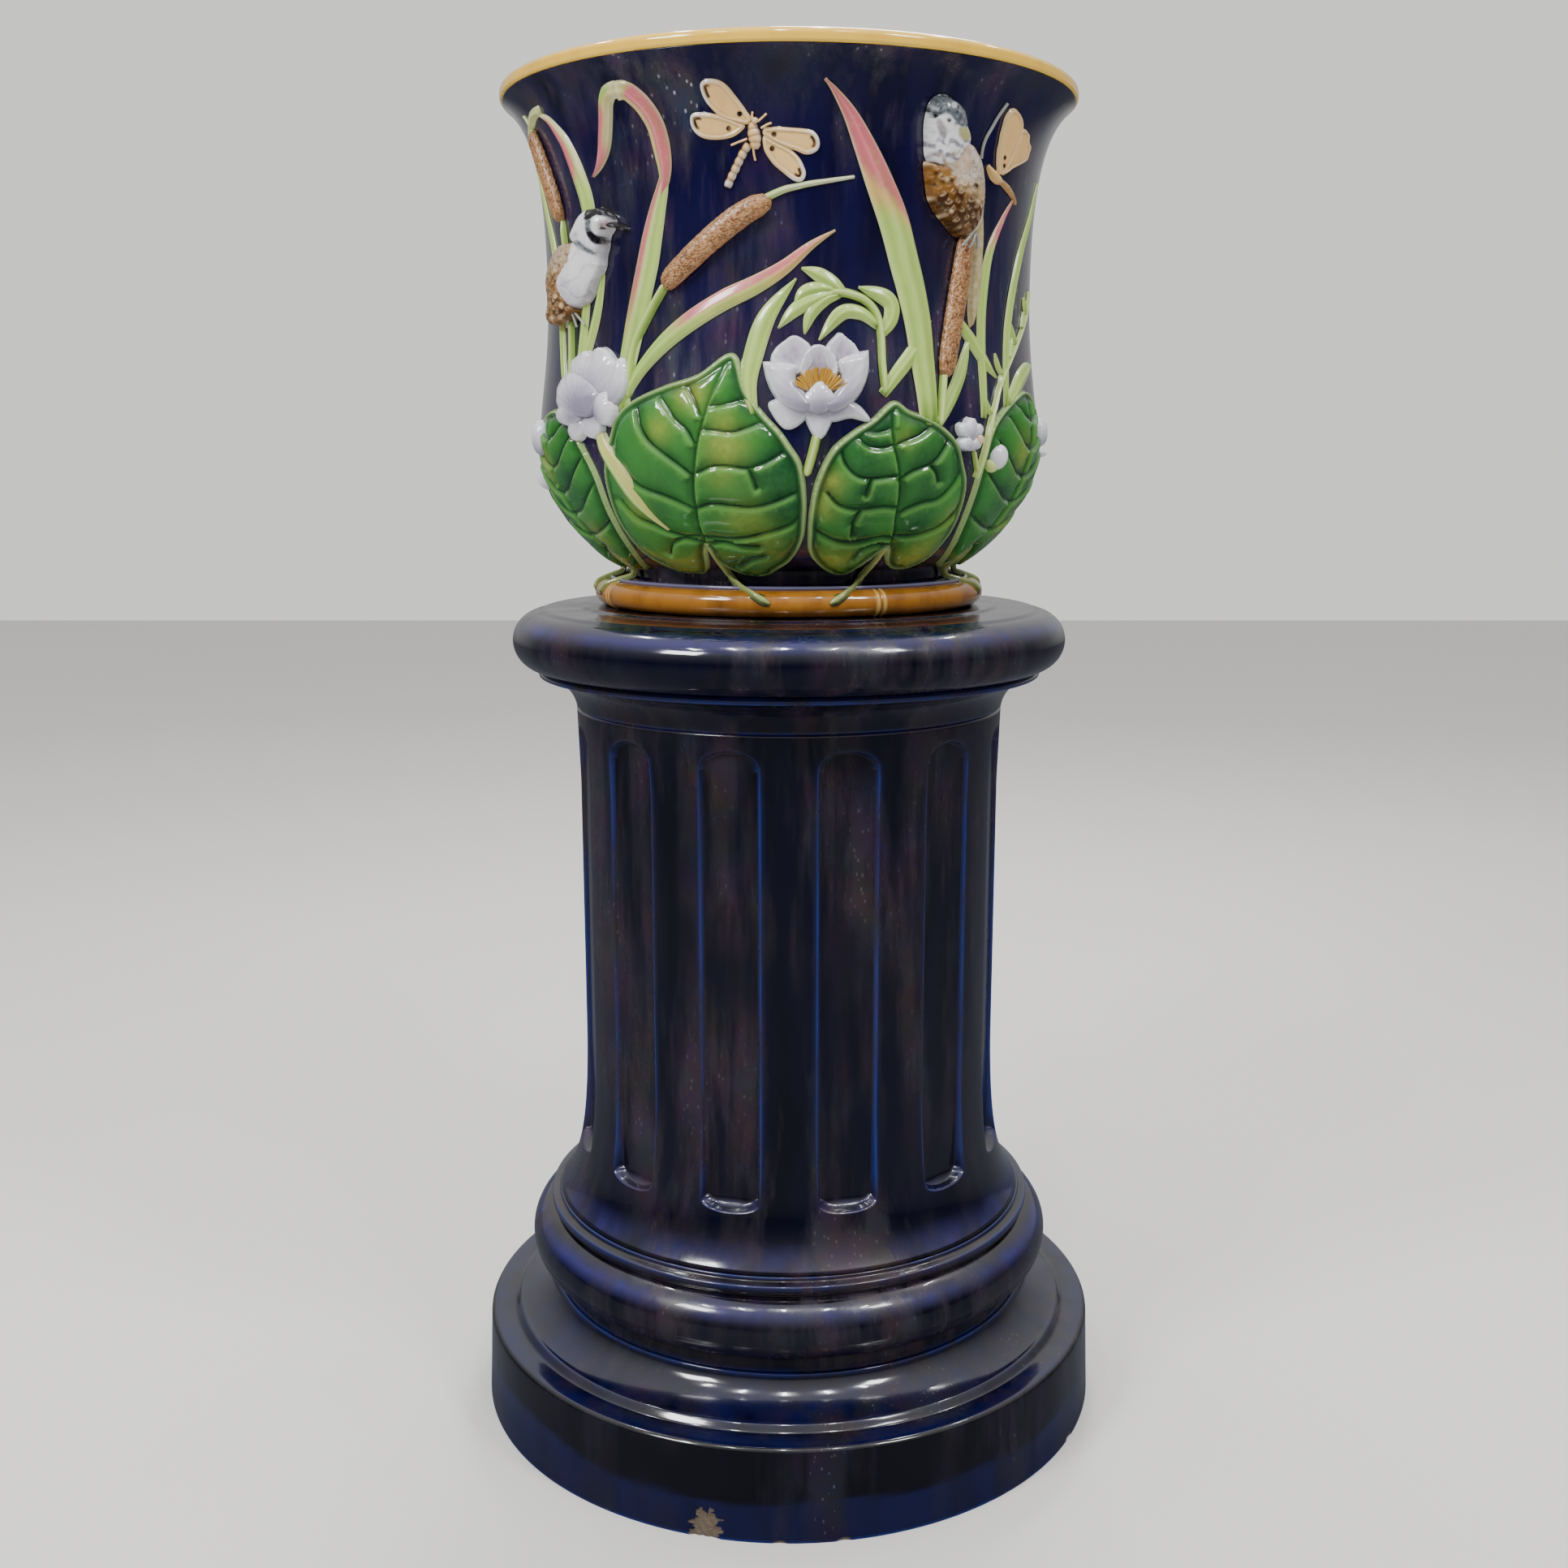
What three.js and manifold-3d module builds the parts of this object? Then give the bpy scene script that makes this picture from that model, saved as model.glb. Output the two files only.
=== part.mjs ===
// A glazed earthenware jardiniere on its fluted column stand. The pot is a hollow body with a
// cane foot and a rolled lip, dressed with pond-life sprigs; it lifts straight off the stand.
// Millimetres, +Z up. The origin is on the floor at the axis, and the front faces -Y.
import * as THREE from 'three';
import { mergeVertices } from 'three/addons/utils/BufferGeometryUtils.js';
import Module from 'manifold-3d';

const wasm = await Module();
wasm.setup();

// ---- Driving dimensions: the stand ----
const plinthRadius = 263.5;
const plinthDraft = 3;
const plinthHeight = 75;
const plinthArris = 4.5;
const ledgeWidth = 19;
const stepWidth = 5;
const stepRise = 5.5;
const scotiaRise = 22.5;
const scotiaShelf = 3;
const scotiaBase = 2;
const scotiaUpright = 4;
const throatRadius = 202;
const baseRollThroat = 13.6;
const baseRollRadius = 26;
const baseRollProud = 20.5;
const filletProud = 4;
const filletHeight = 5;
const filletThroat = 3.6;
const baseCollarHeight = 4.7;
const collarProud = 1;
const shaftRadius = 173;
const shaftHeight = 415;
const shaftFootSpread = 25;
const shaftFootRise = 129;
const fluteCount = 12;
const fluteWidth = 46.5;
const fluteDepth = 2.5;
const fluteArch = 15;
const fluteFootGap = 41;
const fluteHeadGap = 13;
const headFlare = 2;
const headFlareRise = 60;
const cavettoRise = 25;
const cavettoSpread = 25;
const capFilletProud = 5;
const capFilletHeight = 7;
const capArris = 3;
const topRollRadius = 23;
const topRollProud = 20;
const topRollCrown = 2;
const seatRadius = 168;
const seatRise = 3;
const standWall = 12;
const deckThickness = 14;
const lutingGap = 0.3;
const seatGap = 0.3;

// ---- Driving dimensions: the pot ----
const footRadius = 157.5;
const footHeight = 20;
const footRollRadius = 10;
const footBore = 118;
const neckRadius = 131;
const neckHeight = 13;
const bellyRadius = 198;
const bellyRise = 100;
const waistRadius = 189.5;
const waistRise = 108;
const lipRadius = 222.4;
const flareRise = 140;
const lipHeight = 10;
const lipWidth = 12.6;
const lipProud = 1.4;
const lipArris = 3;
const lipInnerDrop = 4;
const potWall = 9.5;
const potFloor = 13;
const bowlFloorInset = 25;

// ---- Driving dimensions: the sprigs ----
const sprigGap = 0.3;
const sprigSink = 3;
const barLift = 0.5;
const wayNudge = 0.01;
const coreGap = 0.3;
const padRim = 3.4;
const padCrown = 5.2;
const wingRim = 2;
const wingCrown = 2.6;
const stalkRadius = 2.8;
const thinStalkRadius = 2.4;
const reedProud = 3.2;
const bladeShoulder = 0.55;
const bladeTip = 0.08;
const cattailWidth = 15;
const cattailProud = 9;
const drawnBand = 361;

const turnSteps = 32;
const arcSteps = 5;
const glaze = (colour) => new THREE.MeshStandardMaterial({ color: colour, roughness: 0.12, metalness: 0 });
const NAVY = 0x14143c;
const LEAF = 0x3f7a36;
const REED = 0xb9cf86;
const CANE = 0xb37a32;
const LIP = 0xd5b35e;
const PETAL = 0xe9e6f0;
const CATTAIL = 0x9a6a42;
const WING = 0xd9b88a;
const PLUMAGE = 0xa98c66;

// ---- Solids, joins and cuts ----
function solid(geometry) {
  const bare = geometry.clone();
  bare.deleteAttribute('normal');
  bare.deleteAttribute('uv');
  const welded = mergeVertices(bare, 1e-4);
  const vertProperties = new Float32Array(welded.attributes.position.array);
  const triVerts = new Uint32Array(welded.index.array);
  return new wasm.Manifold(new wasm.Mesh({ numProp: 3, vertProperties, triVerts }));
}

function joined(solids) {
  return solids.reduce((whole, next) => whole.add(next));
}

// The largest closed body of a solid: a cut can leave loose crumbs beyond a neighbour.
function largestBody(body) {
  const mesh = body.getMesh();
  const points = mesh.vertProperties;
  const corners = mesh.triVerts;
  const owner = Array.from({ length: points.length / 3 }, (_, i) => i);
  const root = (i) => {
    while (owner[i] !== i) i = owner[i];
    return i;
  };
  for (let t = 0; t < corners.length; t += 3) {
    const first = root(corners[t]);
    owner[root(corners[t + 1])] = first;
    owner[root(corners[t + 2])] = first;
  }
  const volumes = new Map();
  const point = (i) => new THREE.Vector3(points[3 * i], points[3 * i + 1], points[3 * i + 2]);
  for (let t = 0; t < corners.length; t += 3) {
    const [a, b, c] = [0, 1, 2].map((k) => point(corners[t + k]));
    const key = root(corners[t]);
    volumes.set(key, (volumes.get(key) ?? 0) + a.dot(b.cross(c)));
  }
  const keep = [...volumes].sort((p, q) => q[1] - p[1])[0][0];
  const kept = [];
  for (let t = 0; t < corners.length; t += 3) {
    if (root(corners[t]) === keep) kept.push(corners[t], corners[t + 1], corners[t + 2]);
  }
  const geometry = new THREE.BufferGeometry();
  geometry.setAttribute('position', new THREE.BufferAttribute(new Float32Array(points), 3));
  geometry.setIndex(kept);
  return geometry;
}

const jardiniereOnStand = new THREE.Group();

function addPiece(name, colour, geometry) {
  const mesh = new THREE.Mesh(geometry, glaze(colour));
  mesh.name = name;
  jardiniereOnStand.add(mesh);
}

// ---- Turned pieces: an outline of [radius, height] points, spun about the axis ----
function spun(outline) {
  const points = outline.map(([radius, height]) => new THREE.Vector2(radius, height));
  const closed = points[0].x === 0 ? points : [...points, points[0].clone()];
  return new THREE.LatheGeometry(closed, turnSteps).rotateX(Math.PI / 2);
}

function arc(centreRadius, centreHeight, radius, fromDegrees, toDegrees, steps = arcSteps) {
  return Array.from({ length: steps + 1 }, (_, i) => {
    const angle = THREE.MathUtils.degToRad(fromDegrees + ((toDegrees - fromDegrees) * i) / steps);
    return [centreRadius + radius * Math.cos(angle), centreHeight + radius * Math.sin(angle)];
  });
}

function sweepCurve(start, pullStart, pullEnd, end, steps = arcSteps) {
  const curve = new THREE.CubicBezierCurve(...[start, pullStart, pullEnd, end]
    .map(([radius, height]) => new THREE.Vector2(radius, height)));
  return curve.getPoints(steps).map((point) => [point.x, point.y]);
}

// ---- The stand, from the floor up ----
const plinthTop = plinthHeight + stepRise + scotiaRise;
const ledgeRadius = plinthRadius - plinthArris - ledgeWidth;
const stepRadius = ledgeRadius - stepWidth;
const plinthShoulder = plinthRadius - plinthDraft - plinthArris;
const scotiaInner = throatRadius + scotiaBase;

addPiece('stand_plinth', NAVY, spun([
  [plinthRadius, 0],
  ...arc(plinthShoulder, plinthHeight - plinthArris, plinthArris, 0, 90, 2),
  [ledgeRadius, plinthHeight],
  [stepRadius, plinthHeight + stepRise],
  ...sweepCurve(
    [stepRadius - scotiaShelf, plinthHeight + stepRise],
    [stepRadius - 4 * scotiaShelf, plinthHeight + stepRise + 0.09 * scotiaRise],
    [scotiaInner + 0.22 * scotiaRise, plinthTop - 0.58 * scotiaRise],
    [scotiaInner, plinthTop - scotiaUpright],
    4,
  ),
  [scotiaInner, plinthTop],
  [throatRadius - standWall, plinthTop],
  [throatRadius - standWall, plinthTop - standWall],
  [plinthShoulder - standWall, plinthHeight - standWall],
  [plinthRadius - standWall, 0],
]));

const baseRollFoot = plinthTop + lutingGap;
const baseRollCentre = throatRadius + baseRollProud - baseRollRadius;
const rollReach = Math.sqrt(baseRollRadius ** 2 - (throatRadius - baseRollCentre) ** 2);
const rollTilt = THREE.MathUtils.radToDeg(Math.atan2(rollReach, throatRadius - baseRollCentre));
const baseRollLevel = plinthTop + baseRollThroat + rollReach;
const baseFilletLevel = baseRollLevel + rollReach + filletThroat;
const baseRollTop = baseFilletLevel + filletHeight + baseCollarHeight;
const collarRadius = shaftRadius + shaftFootSpread + collarProud;
const weathering = 1.5;

addPiece('stand_base_roll', NAVY, spun([
  [throatRadius, baseRollFoot],
  ...arc(baseRollCentre, baseRollLevel, baseRollRadius, -rollTilt, rollTilt, 6),
  [throatRadius + filletProud, baseFilletLevel],
  [throatRadius + filletProud, baseFilletLevel + filletHeight],
  [collarRadius, baseFilletLevel + filletHeight + weathering],
  [collarRadius, baseRollTop],
  [collarRadius - standWall, baseRollTop],
  [throatRadius - standWall, baseRollFoot],
]));

const shaftFoot = baseRollTop + lutingGap;
const shaftTop = baseRollTop + shaftHeight;
const shaftBore = shaftRadius - standWall;
const shaftHeadRadius = shaftRadius + headFlare;

const shaftBlank = solid(spun([
  ...sweepCurve(
    [shaftRadius + shaftFootSpread, shaftFoot],
    [shaftRadius + 0.45 * shaftFootSpread, shaftFoot + 0.12 * shaftFootRise],
    [shaftRadius + 0.05 * shaftFootSpread, shaftFoot + 0.3 * shaftFootRise],
    [shaftRadius, shaftFoot + shaftFootRise],
  ),
  [shaftRadius, shaftTop - headFlareRise],
  [shaftHeadRadius, shaftTop],
  [shaftBore, shaftTop],
  [shaftBore, shaftFoot + 0.3 * shaftFootRise],
  [shaftRadius + shaftFootSpread - standWall, shaftFoot],
]));

// One flute is a flat-floored panel with an arched head and a scooped foot, cut from outside.
function fluteCutter(turn) {
  const half = fluteWidth / 2;
  const foot = shaftFoot + fluteFootGap;
  const head = shaftTop - fluteHeadGap;
  const shape = new THREE.Shape();
  shape.moveTo(-half, foot + fluteArch / 2);
  shape.quadraticCurveTo(-half, foot, 0, foot);
  shape.quadraticCurveTo(half, foot, half, foot + fluteArch / 2);
  shape.lineTo(half, head - fluteArch);
  shape.absellipse(0, head - fluteArch, half, fluteArch, 0, Math.PI);
  const reach = shaftFootSpread + fluteDepth + standWall;
  const cutter = new THREE.ExtrudeGeometry(shape, { depth: reach, bevelEnabled: false, curveSegments: 3 });
  const halfTurn = Math.asin(half / shaftRadius);
  cutter.rotateX(Math.PI / 2);
  cutter.translate(0, -(shaftRadius * Math.cos(halfTurn) - fluteDepth), 0);
  return solid(cutter.rotateZ(turn));
}
let shaft = shaftBlank;
for (let flute = 0; flute < fluteCount; flute += 1) {
  shaft = shaft.subtract(fluteCutter(((flute + 0.5) / fluteCount) * 2 * Math.PI));
}
addPiece('stand_shaft', NAVY, largestBody(shaft));

const capFoot = shaftTop + lutingGap;
const cavettoRadius = shaftHeadRadius + cavettoSpread;
const capFilletRadius = cavettoRadius + capFilletProud;
const capTop = shaftTop + cavettoRise + capFilletHeight;

addPiece('stand_capital', NAVY, spun([
  ...sweepCurve(
    [shaftHeadRadius, capFoot],
    [shaftHeadRadius + 0.08 * cavettoSpread, capFoot + 0.55 * cavettoRise],
    [cavettoRadius - 0.5 * cavettoSpread, shaftTop + 0.96 * cavettoRise],
    [cavettoRadius, shaftTop + cavettoRise],
    4,
  ),
  [capFilletRadius, shaftTop + cavettoRise + weathering],
  [capFilletRadius, capTop - capArris],
  [capFilletRadius - capArris, capTop],
  [capFilletRadius - capFilletProud - standWall, capTop],
  [shaftHeadRadius - standWall, capFoot],
]));

const topFoot = capTop + lutingGap;
const topRollCentre = capFilletRadius + topRollProud - topRollRadius;
const topRollLevel = capTop + topRollRadius;
const rollCrown = topRollLevel + topRollRadius + topRollCrown;
const seatLevel = rollCrown + seatRise;
const deckUnderside = seatLevel - deckThickness;

addPiece('stand_top', NAVY, spun([
  [0, deckUnderside],
  [topRollCentre - 1.5 * standWall, deckUnderside],
  [topRollCentre - standWall, topFoot],
  [topRollCentre, topFoot],
  ...arc(topRollCentre, topRollLevel, topRollRadius, -80, 82, 6),
  [topRollCentre - topRollCrown, rollCrown],
  [seatRadius + seatRise, rollCrown + 1],
  [seatRadius, seatLevel],
  [0, seatLevel],
]));

// ---- The pot: cane foot, body and lip ----
const footFloor = seatLevel + seatGap;
const footTop = footFloor + footHeight;
const footRollCentre = footRadius - footRollRadius;
const bodyFoot = footTop + lutingGap;
const neckTop = footTop + neckHeight;
const bellyLevel = neckTop + bellyRise;
const waistLevel = bellyLevel + waistRise;
const lipFoot = waistLevel + flareRise;
const lipTop = lipFoot + lipHeight;
const flareRadius = lipRadius - lipProud;
const mouthRadius = flareRadius - lipWidth;
const bellySweep = bellyRadius - neckRadius;

addPiece('cane_foot', CANE, spun([
  [footBore, footFloor],
  [footRollCentre, footFloor],
  ...arc(footRollCentre, footFloor + footHeight / 2, footRollRadius, -78, 78, 5),
  [footRollCentre, footTop],
  [footBore, footTop],
]));

// The outside of the body, from the neck to the flare, and the bowl inside it.
const bellySide = sweepCurve(
  [neckRadius, neckTop],
  [neckRadius + 0.28 * bellySweep, neckTop + 0.04 * bellyRise],
  [bellyRadius, bellyLevel - 0.47 * bellyRise],
  [bellyRadius, bellyLevel],
  5,
);
const waistSide = sweepCurve(
  [bellyRadius, bellyLevel],
  [bellyRadius, bellyLevel + 0.22 * waistRise],
  [waistRadius, bellyLevel + 0.54 * waistRise],
  [waistRadius, waistLevel],
  2,
);
const flareSide = sweepCurve(
  [waistRadius, waistLevel],
  [waistRadius, waistLevel + 0.57 * flareRise],
  [waistRadius + 0.24 * (flareRadius - waistRadius), waistLevel + 0.87 * flareRise],
  [flareRadius, lipFoot],
  5,
);
const potSide = [[neckRadius, bodyFoot], ...bellySide, ...waistSide.slice(1), ...flareSide.slice(1)];
const bowlSide = [
  [mouthRadius, lipFoot],
  ...sweepCurve(
    [mouthRadius - 1, lipFoot - lipInnerDrop],
    [waistRadius - 0.6 * potWall, waistLevel + 0.85 * flareRise],
    [waistRadius - potWall, waistLevel + 0.55 * flareRise],
    [waistRadius - potWall, waistLevel],
    3,
  ),
  ...sweepCurve(
    [bellyRadius - potWall, bellyLevel],
    [bellyRadius - potWall, bellyLevel - 0.47 * bellyRise],
    [neckRadius + 0.28 * bellySweep, neckTop + 1.2 * potWall],
    [neckRadius - 0.85 * potWall, neckTop + potWall],
    4,
  ),
];
addPiece('pot_body', NAVY, spun([
  [0, bodyFoot],
  ...potSide,
  ...bowlSide,
  [neckRadius - bowlFloorInset, footTop + potFloor],
  [0, footTop + potFloor],
]));

addPiece('pot_lip', LIP, spun([
  [flareRadius, lipFoot + lutingGap],
  [lipRadius, lipFoot + lipProud],
  [lipRadius, lipTop - lipArris],
  [lipRadius - lipArris, lipTop],
  [mouthRadius + lipArris, lipTop],
  [mouthRadius, lipTop - lipInnerDrop],
  [mouthRadius, lipFoot + lutingGap],
]));

// ---- Sprigs: places on the pot are [degrees round from the front, drawn height] ----
// Heights are drawn on a band that runs from the foot to the lip.
function levelOf(drawn) {
  return footTop + (drawn / drawnBand) * (lipFoot - footTop);
}

function sideRadius(level) {
  const above = potSide.findIndex(([, height]) => height >= level);
  const [upRadius, upLevel] = potSide[Math.max(above, 1)];
  const [lowRadius, lowLevel] = potSide[Math.max(above, 1) - 1];
  return lowRadius + ((upRadius - lowRadius) * (level - lowLevel)) / (upLevel - lowLevel);
}

function aroundAxis(degrees, radius, level) {
  const angle = THREE.MathUtils.degToRad(degrees);
  return new THREE.Vector3(radius * Math.sin(angle), -radius * Math.cos(angle), level);
}

function onSide([degrees, drawn], proud = 0) {
  const level = levelOf(drawn);
  const slope = (sideRadius(level + 2) - sideRadius(level - 2)) / 4;
  const lean = Math.atan(slope);
  return aroundAxis(degrees, sideRadius(level) + proud * Math.cos(lean), level - proud * Math.sin(lean));
}

// Everything inside the pot's outside face and the foot's, grown by the gap that a sprig keeps.
const potCore = solid(spun([
  [0, footFloor],
  [footRollCentre, footFloor],
  ...arc(footRollCentre, footFloor + footHeight / 2, footRollRadius + coreGap, -78, 78, 5),
  [neckRadius + coreGap, footTop + coreGap],
  ...potSide.slice(1).map(([radius, level]) => [radius + coreGap, level]),
  [0, lipFoot],
]));
const lipKeepOff = solid(spun([
  [mouthRadius, lipFoot - sprigGap],
  [2 * lipRadius, lipFoot - sprigGap],
  [2 * lipRadius, lipTop],
  [mouthRadius, lipTop],
]));

function closedGeometry(points, faces) {
  const coordinates = points.flatMap((point) => [point.x, point.y, point.z]);
  const geometry = new THREE.BufferGeometry();
  geometry.setAttribute('position', new THREE.Float32BufferAttribute(coordinates, 3));
  geometry.setIndex(faces.flat());
  return geometry;
}

// A grown copy stands off by the gap and reaches down into the pot, so a cut leaves no film.
function grownOutline(outline, grow) {
  if (grow === 0) return outline;
  const grown = outline.map(([side, proud]) => [side + Math.sign(side) * grow, proud + grow]);
  const [left, right, ...crown] = grown;
  return [[left[0], -sprigSink], [right[0], -sprigSink], right, ...crown, left];
}

// A way over the pot's side through the given places: the point at a share of its length.
function alongSide(places) {
  const spline = new THREE.SplineCurve(places.map(([degrees, drawn]) => new THREE.Vector2(degrees, drawn)));
  return (share, proud) => {
    const at = spline.getPoint(share);
    return onSide([at.x, at.y], proud);
  };
}

// A bar laid along a way. section(share) lists its [across, proud] corners, anticlockwise,
// with the two that lie on the pot first.
function laidBar(spot, section, steps, grow) {
  const points = [];
  let corners = 0;
  for (let step = 0; step <= steps; step += 1) {
    const share = step / steps;
    const here = spot(share, 0);
    const normal = spot(share, 1).sub(here).normalize();
    const before = spot(Math.max(share - wayNudge, 0), 0);
    const ahead = spot(Math.min(share + wayNudge, 1), 0).sub(before).normalize();
    const across = new THREE.Vector3().crossVectors(normal, ahead).normalize();
    const end = step === 0 ? -grow : step === steps ? grow : 0;
    const outline = grownOutline(section(share), grow);
    corners = outline.length;
    for (const [side, proud] of outline) {
      points.push(here.clone()
        .addScaledVector(across, side)
        .addScaledVector(normal, proud)
        .addScaledVector(ahead, end));
    }
  }
  const faces = [];
  for (let step = 0; step < steps; step += 1) {
    for (let k = 0; k < corners; k += 1) {
      const next = (k + 1) % corners;
      const [a, b] = [step * corners + k, step * corners + next];
      faces.push([a, b, b + corners], [a, b + corners, a + corners]);
    }
  }
  const last = steps * corners;
  for (let k = 1; k < corners - 1; k += 1) {
    faces.push([0, k + 1, k], [last, last + k, last + k + 1]);
  }
  return solid(closedGeometry(points, faces));
}

// A flat blade with a raised middle. It swells from its foot to its full width, and from
// bladeShoulder of its length on it is drawn out to a point.
function blade(places, width, grow, proud = reedProud, steps = 7, footWidth = 0.45) {
  const section = (share) => {
    const swell = footWidth + (1 - footWidth) * Math.sin(Math.PI * Math.min(share / 0.9, 0.5));
    const past = Math.max(share - bladeShoulder, 0) / (1 - bladeShoulder);
    const taper = Math.max(1 - past ** 1.6, bladeTip);
    const half = (width / 2) * swell * taper;
    const top = proud * (0.4 + 0.6 * taper);
    return [[-half, barLift], [half, barLift], [0.4 * half, top], [-0.4 * half, top]];
  };
  return laidBar(alongSide(places), section, steps, grow);
}

// A round stalk, flattened where it lies on the side.
function stalk(spot, radius, grow, steps = 5) {
  const section = () => [
    [-radius, barLift],
    [radius, barLift],
    [0.6 * radius, 1.8 * radius],
    [-0.6 * radius, 1.8 * radius],
  ];
  return laidBar(spot, section, steps, grow);
}

// A rounded body laid on the side, such as a flower spike or a bird: [share, width, proud] stations.
function plumpBody(places, stations, steps, grow) {
  const measure = (share, column) => {
    const next = Math.max(stations.findIndex((station) => station[0] >= share), 1);
    const [low, high] = [stations[next - 1], stations[next]];
    const mix = (share - low[0]) / (high[0] - low[0]);
    return THREE.MathUtils.lerp(low[column], high[column], THREE.MathUtils.clamp(mix, 0, 1));
  };
  const section = (share) => {
    const half = measure(share, 1) / 2;
    const top = measure(share, 2);
    return [
      [-0.8 * half, barLift],
      [0.8 * half, barLift],
      [half, 0.4 * top],
      [0.6 * half, 0.86 * top],
      [-0.6 * half, 0.86 * top],
      [-half, 0.4 * top],
    ];
  };
  return laidBar(alongSide(places), section, steps, grow);
}

// A pressed pad: a closed outline with a rim and a crowned middle.
function pressedPad(outline, centre, count, rim, crown, grow, inset = 0.45) {
  const drawn = outline.map(([x, y]) => new THREE.Vector2(x, y));
  if (THREE.ShapeUtils.isClockWise(drawn)) drawn.reverse();
  const around = new THREE.SplineCurve([...drawn, drawn[0]]);
  const places = [];
  for (let k = 0; k < count; k += 1) {
    const at = around.getPoint(k / count);
    places.push([at.x, at.y]);
  }
  const degreesPerMm = 180 / (Math.PI * bellyRadius);
  const grown = places.map(([x, y]) => {
    const away = Math.hypot((x - centre[0]) / degreesPerMm, y - centre[1]);
    const factor = 1 + (1.3 * grow) / away;
    return [centre[0] + (x - centre[0]) * factor, centre[1] + (y - centre[1]) * factor];
  });
  const inner = places.map(([x, y]) => [x + (centre[0] - x) * inset, y + (centre[1] - y) * inset]);
  const points = [
    ...grown.map((place) => onSide(place, -sprigSink)),
    ...grown.map((place) => onSide(place, rim + grow)),
    ...inner.map((place) => onSide(place, crown + grow)),
    onSide(centre, -sprigSink),
    onSide(centre, crown + grow),
  ];
  const faces = [];
  const [backMiddle, topMiddle] = [3 * count, 3 * count + 1];
  for (let k = 0; k < count; k += 1) {
    const next = (k + 1) % count;
    for (const ring of [0, count]) {
      const [low, lowNext] = [ring + k, ring + next];
      faces.push([low, lowNext, lowNext + count], [low, lowNext + count, low + count]);
    }
    faces.push([backMiddle, next, k], [topMiddle, 2 * count + k, 2 * count + next]);
  }
  return solid(closedGeometry(points, faces));
}

const padBroad = [
  [-11.5, 166], [-26, 146], [-38.5, 124], [-44, 89], [-46, 50], [-38, 16], [-29, 11],
  [-21.5, 34], [-15, 13], [-8, 10], [1, 24], [4, 60], [0, 106], [-7, 134],
];
const padSmall = [
  [21.6, 134], [13, 113], [5.5, 81], [5, 40], [10, 18], [17, 11], [26.5, 32], [31, 18],
  [39, 16], [44.5, 36], [43, 72], [38, 104], [31, 121],
];
const padLeft = [
  [-63, 131], [-73, 118], [-79, 90], [-80, 55], [-75, 20], [-67, 12], [-62, 28], [-57, 12],
  [-50, 24], [-47, 60], [-47, 90], [-54, 121],
];
const padRight = [
  [65.5, 145], [55.5, 136], [48, 118], [45.5, 92], [46.5, 60], [50, 34], [56, 15], [62, 30],
  [68, 14], [76, 22], [81, 55], [80, 95], [74, 125],
];
const padEdge = [
  [90, 112], [84.5, 95], [82, 65], [83, 35], [87, 17], [90, 28], [94, 17], [98, 35], [99, 65], [95.5, 95],
];

// The stalk of a pad runs down from its notch, through the neck and out over the cane foot.
function rootStalk(fromDegrees, toDegrees, notch, grow) {
  const steps = 7;
  const ways = [
    [sideRadius(levelOf(notch)), levelOf(notch)],
    [neckRadius, neckTop - 0.15 * neckHeight],
    [neckRadius + stalkRadius, footTop + stalkRadius],
    [footRollCentre, footTop + barLift],
    [footRadius - barLift, footTop - 0.35 * footHeight],
  ];
  const curve = new THREE.SplineCurve(ways.map(([radius, level]) => new THREE.Vector2(radius, level)));
  const spot = (share, proud) => {
    const at = curve.getPoint(share);
    const along = curve.getTangent(share);
    const degrees = THREE.MathUtils.lerp(fromDegrees, toDegrees, share ** 1.4);
    return aroundAxis(degrees, at.x + proud * -along.y, at.y + proud * along.x);
  };
  return stalk(spot, stalkRadius, grow, steps);
}

function averagePlace(places) {
  const total = places.reduce(([x, y], [px, py]) => [x + px, y + py], [0, 0]);
  return total.map((sum) => sum / places.length);
}

const sides = [{ name: 'front', turn: 0 }, { name: 'back', turn: 180 }];
const laidOnPot = [];

// Lays one sprig on each half of the pot, cut back from the pot and from the sprigs below it.
function addSprig(name, colour, build) {
  const drawn = build(0).subtract(potCore).subtract(lipKeepOff);
  const cut = laidOnPot.reduce((body, below) => body.subtract(below), drawn);
  laidOnPot.push(build(sprigGap));
  for (const side of sides) {
    const geometry = largestBody(cut).rotateZ(THREE.MathUtils.degToRad(side.turn));
    addPiece(`${side.name}_${name}`, colour, geometry);
  }
}

function addPad(name, outline, centre, notch, stalkTo, count) {
  addSprig(name, LEAF, (grow) => joined([
    pressedPad(outline, centre, count, padRim, padCrown, grow),
    rootStalk(notch[0], stalkTo, notch[1], grow),
  ]));
}

addPad('lily_pad_broad', padBroad, [-20, 75], [-21.5, 36], -5, 20);
addPad('lily_pad_small', padSmall, [25, 66], [26.5, 34], 11, 18);
addPad('lily_pad_left', padLeft, [-63, 68], [-62, 30], -71, 16);
addPad('lily_pad_right', padRight, [63.5, 75], [62, 32], 74, 16);
addPad('lily_pad_edge', padEdge, [90.5, 62], [90, 29], 96, 11);

addSprig('reeds_middle', REED, (grow) => joined([
  blade([[-36.2, 136], [-36, 165], [-33, 218], [-28, 265], [-27.5, 308], [-33.5, 341]], 17, grow, 3.4, 8, 0.6),
  blade([[-33, 340], [-39, 330], [-41.5, 312], [-46.5, 291]], 11, grow, 4.2, 4, 0.8),
  blade([[-36.4, 134], [-31.4, 161], [-20.9, 189], [-7, 213], [9.6, 248]], 12, grow),
  stalk(alongSide([[-35.4, 140], [-34.2, 174], [-30, 200], [-26.5, 214]]), stalkRadius, grow),
]));

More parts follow.
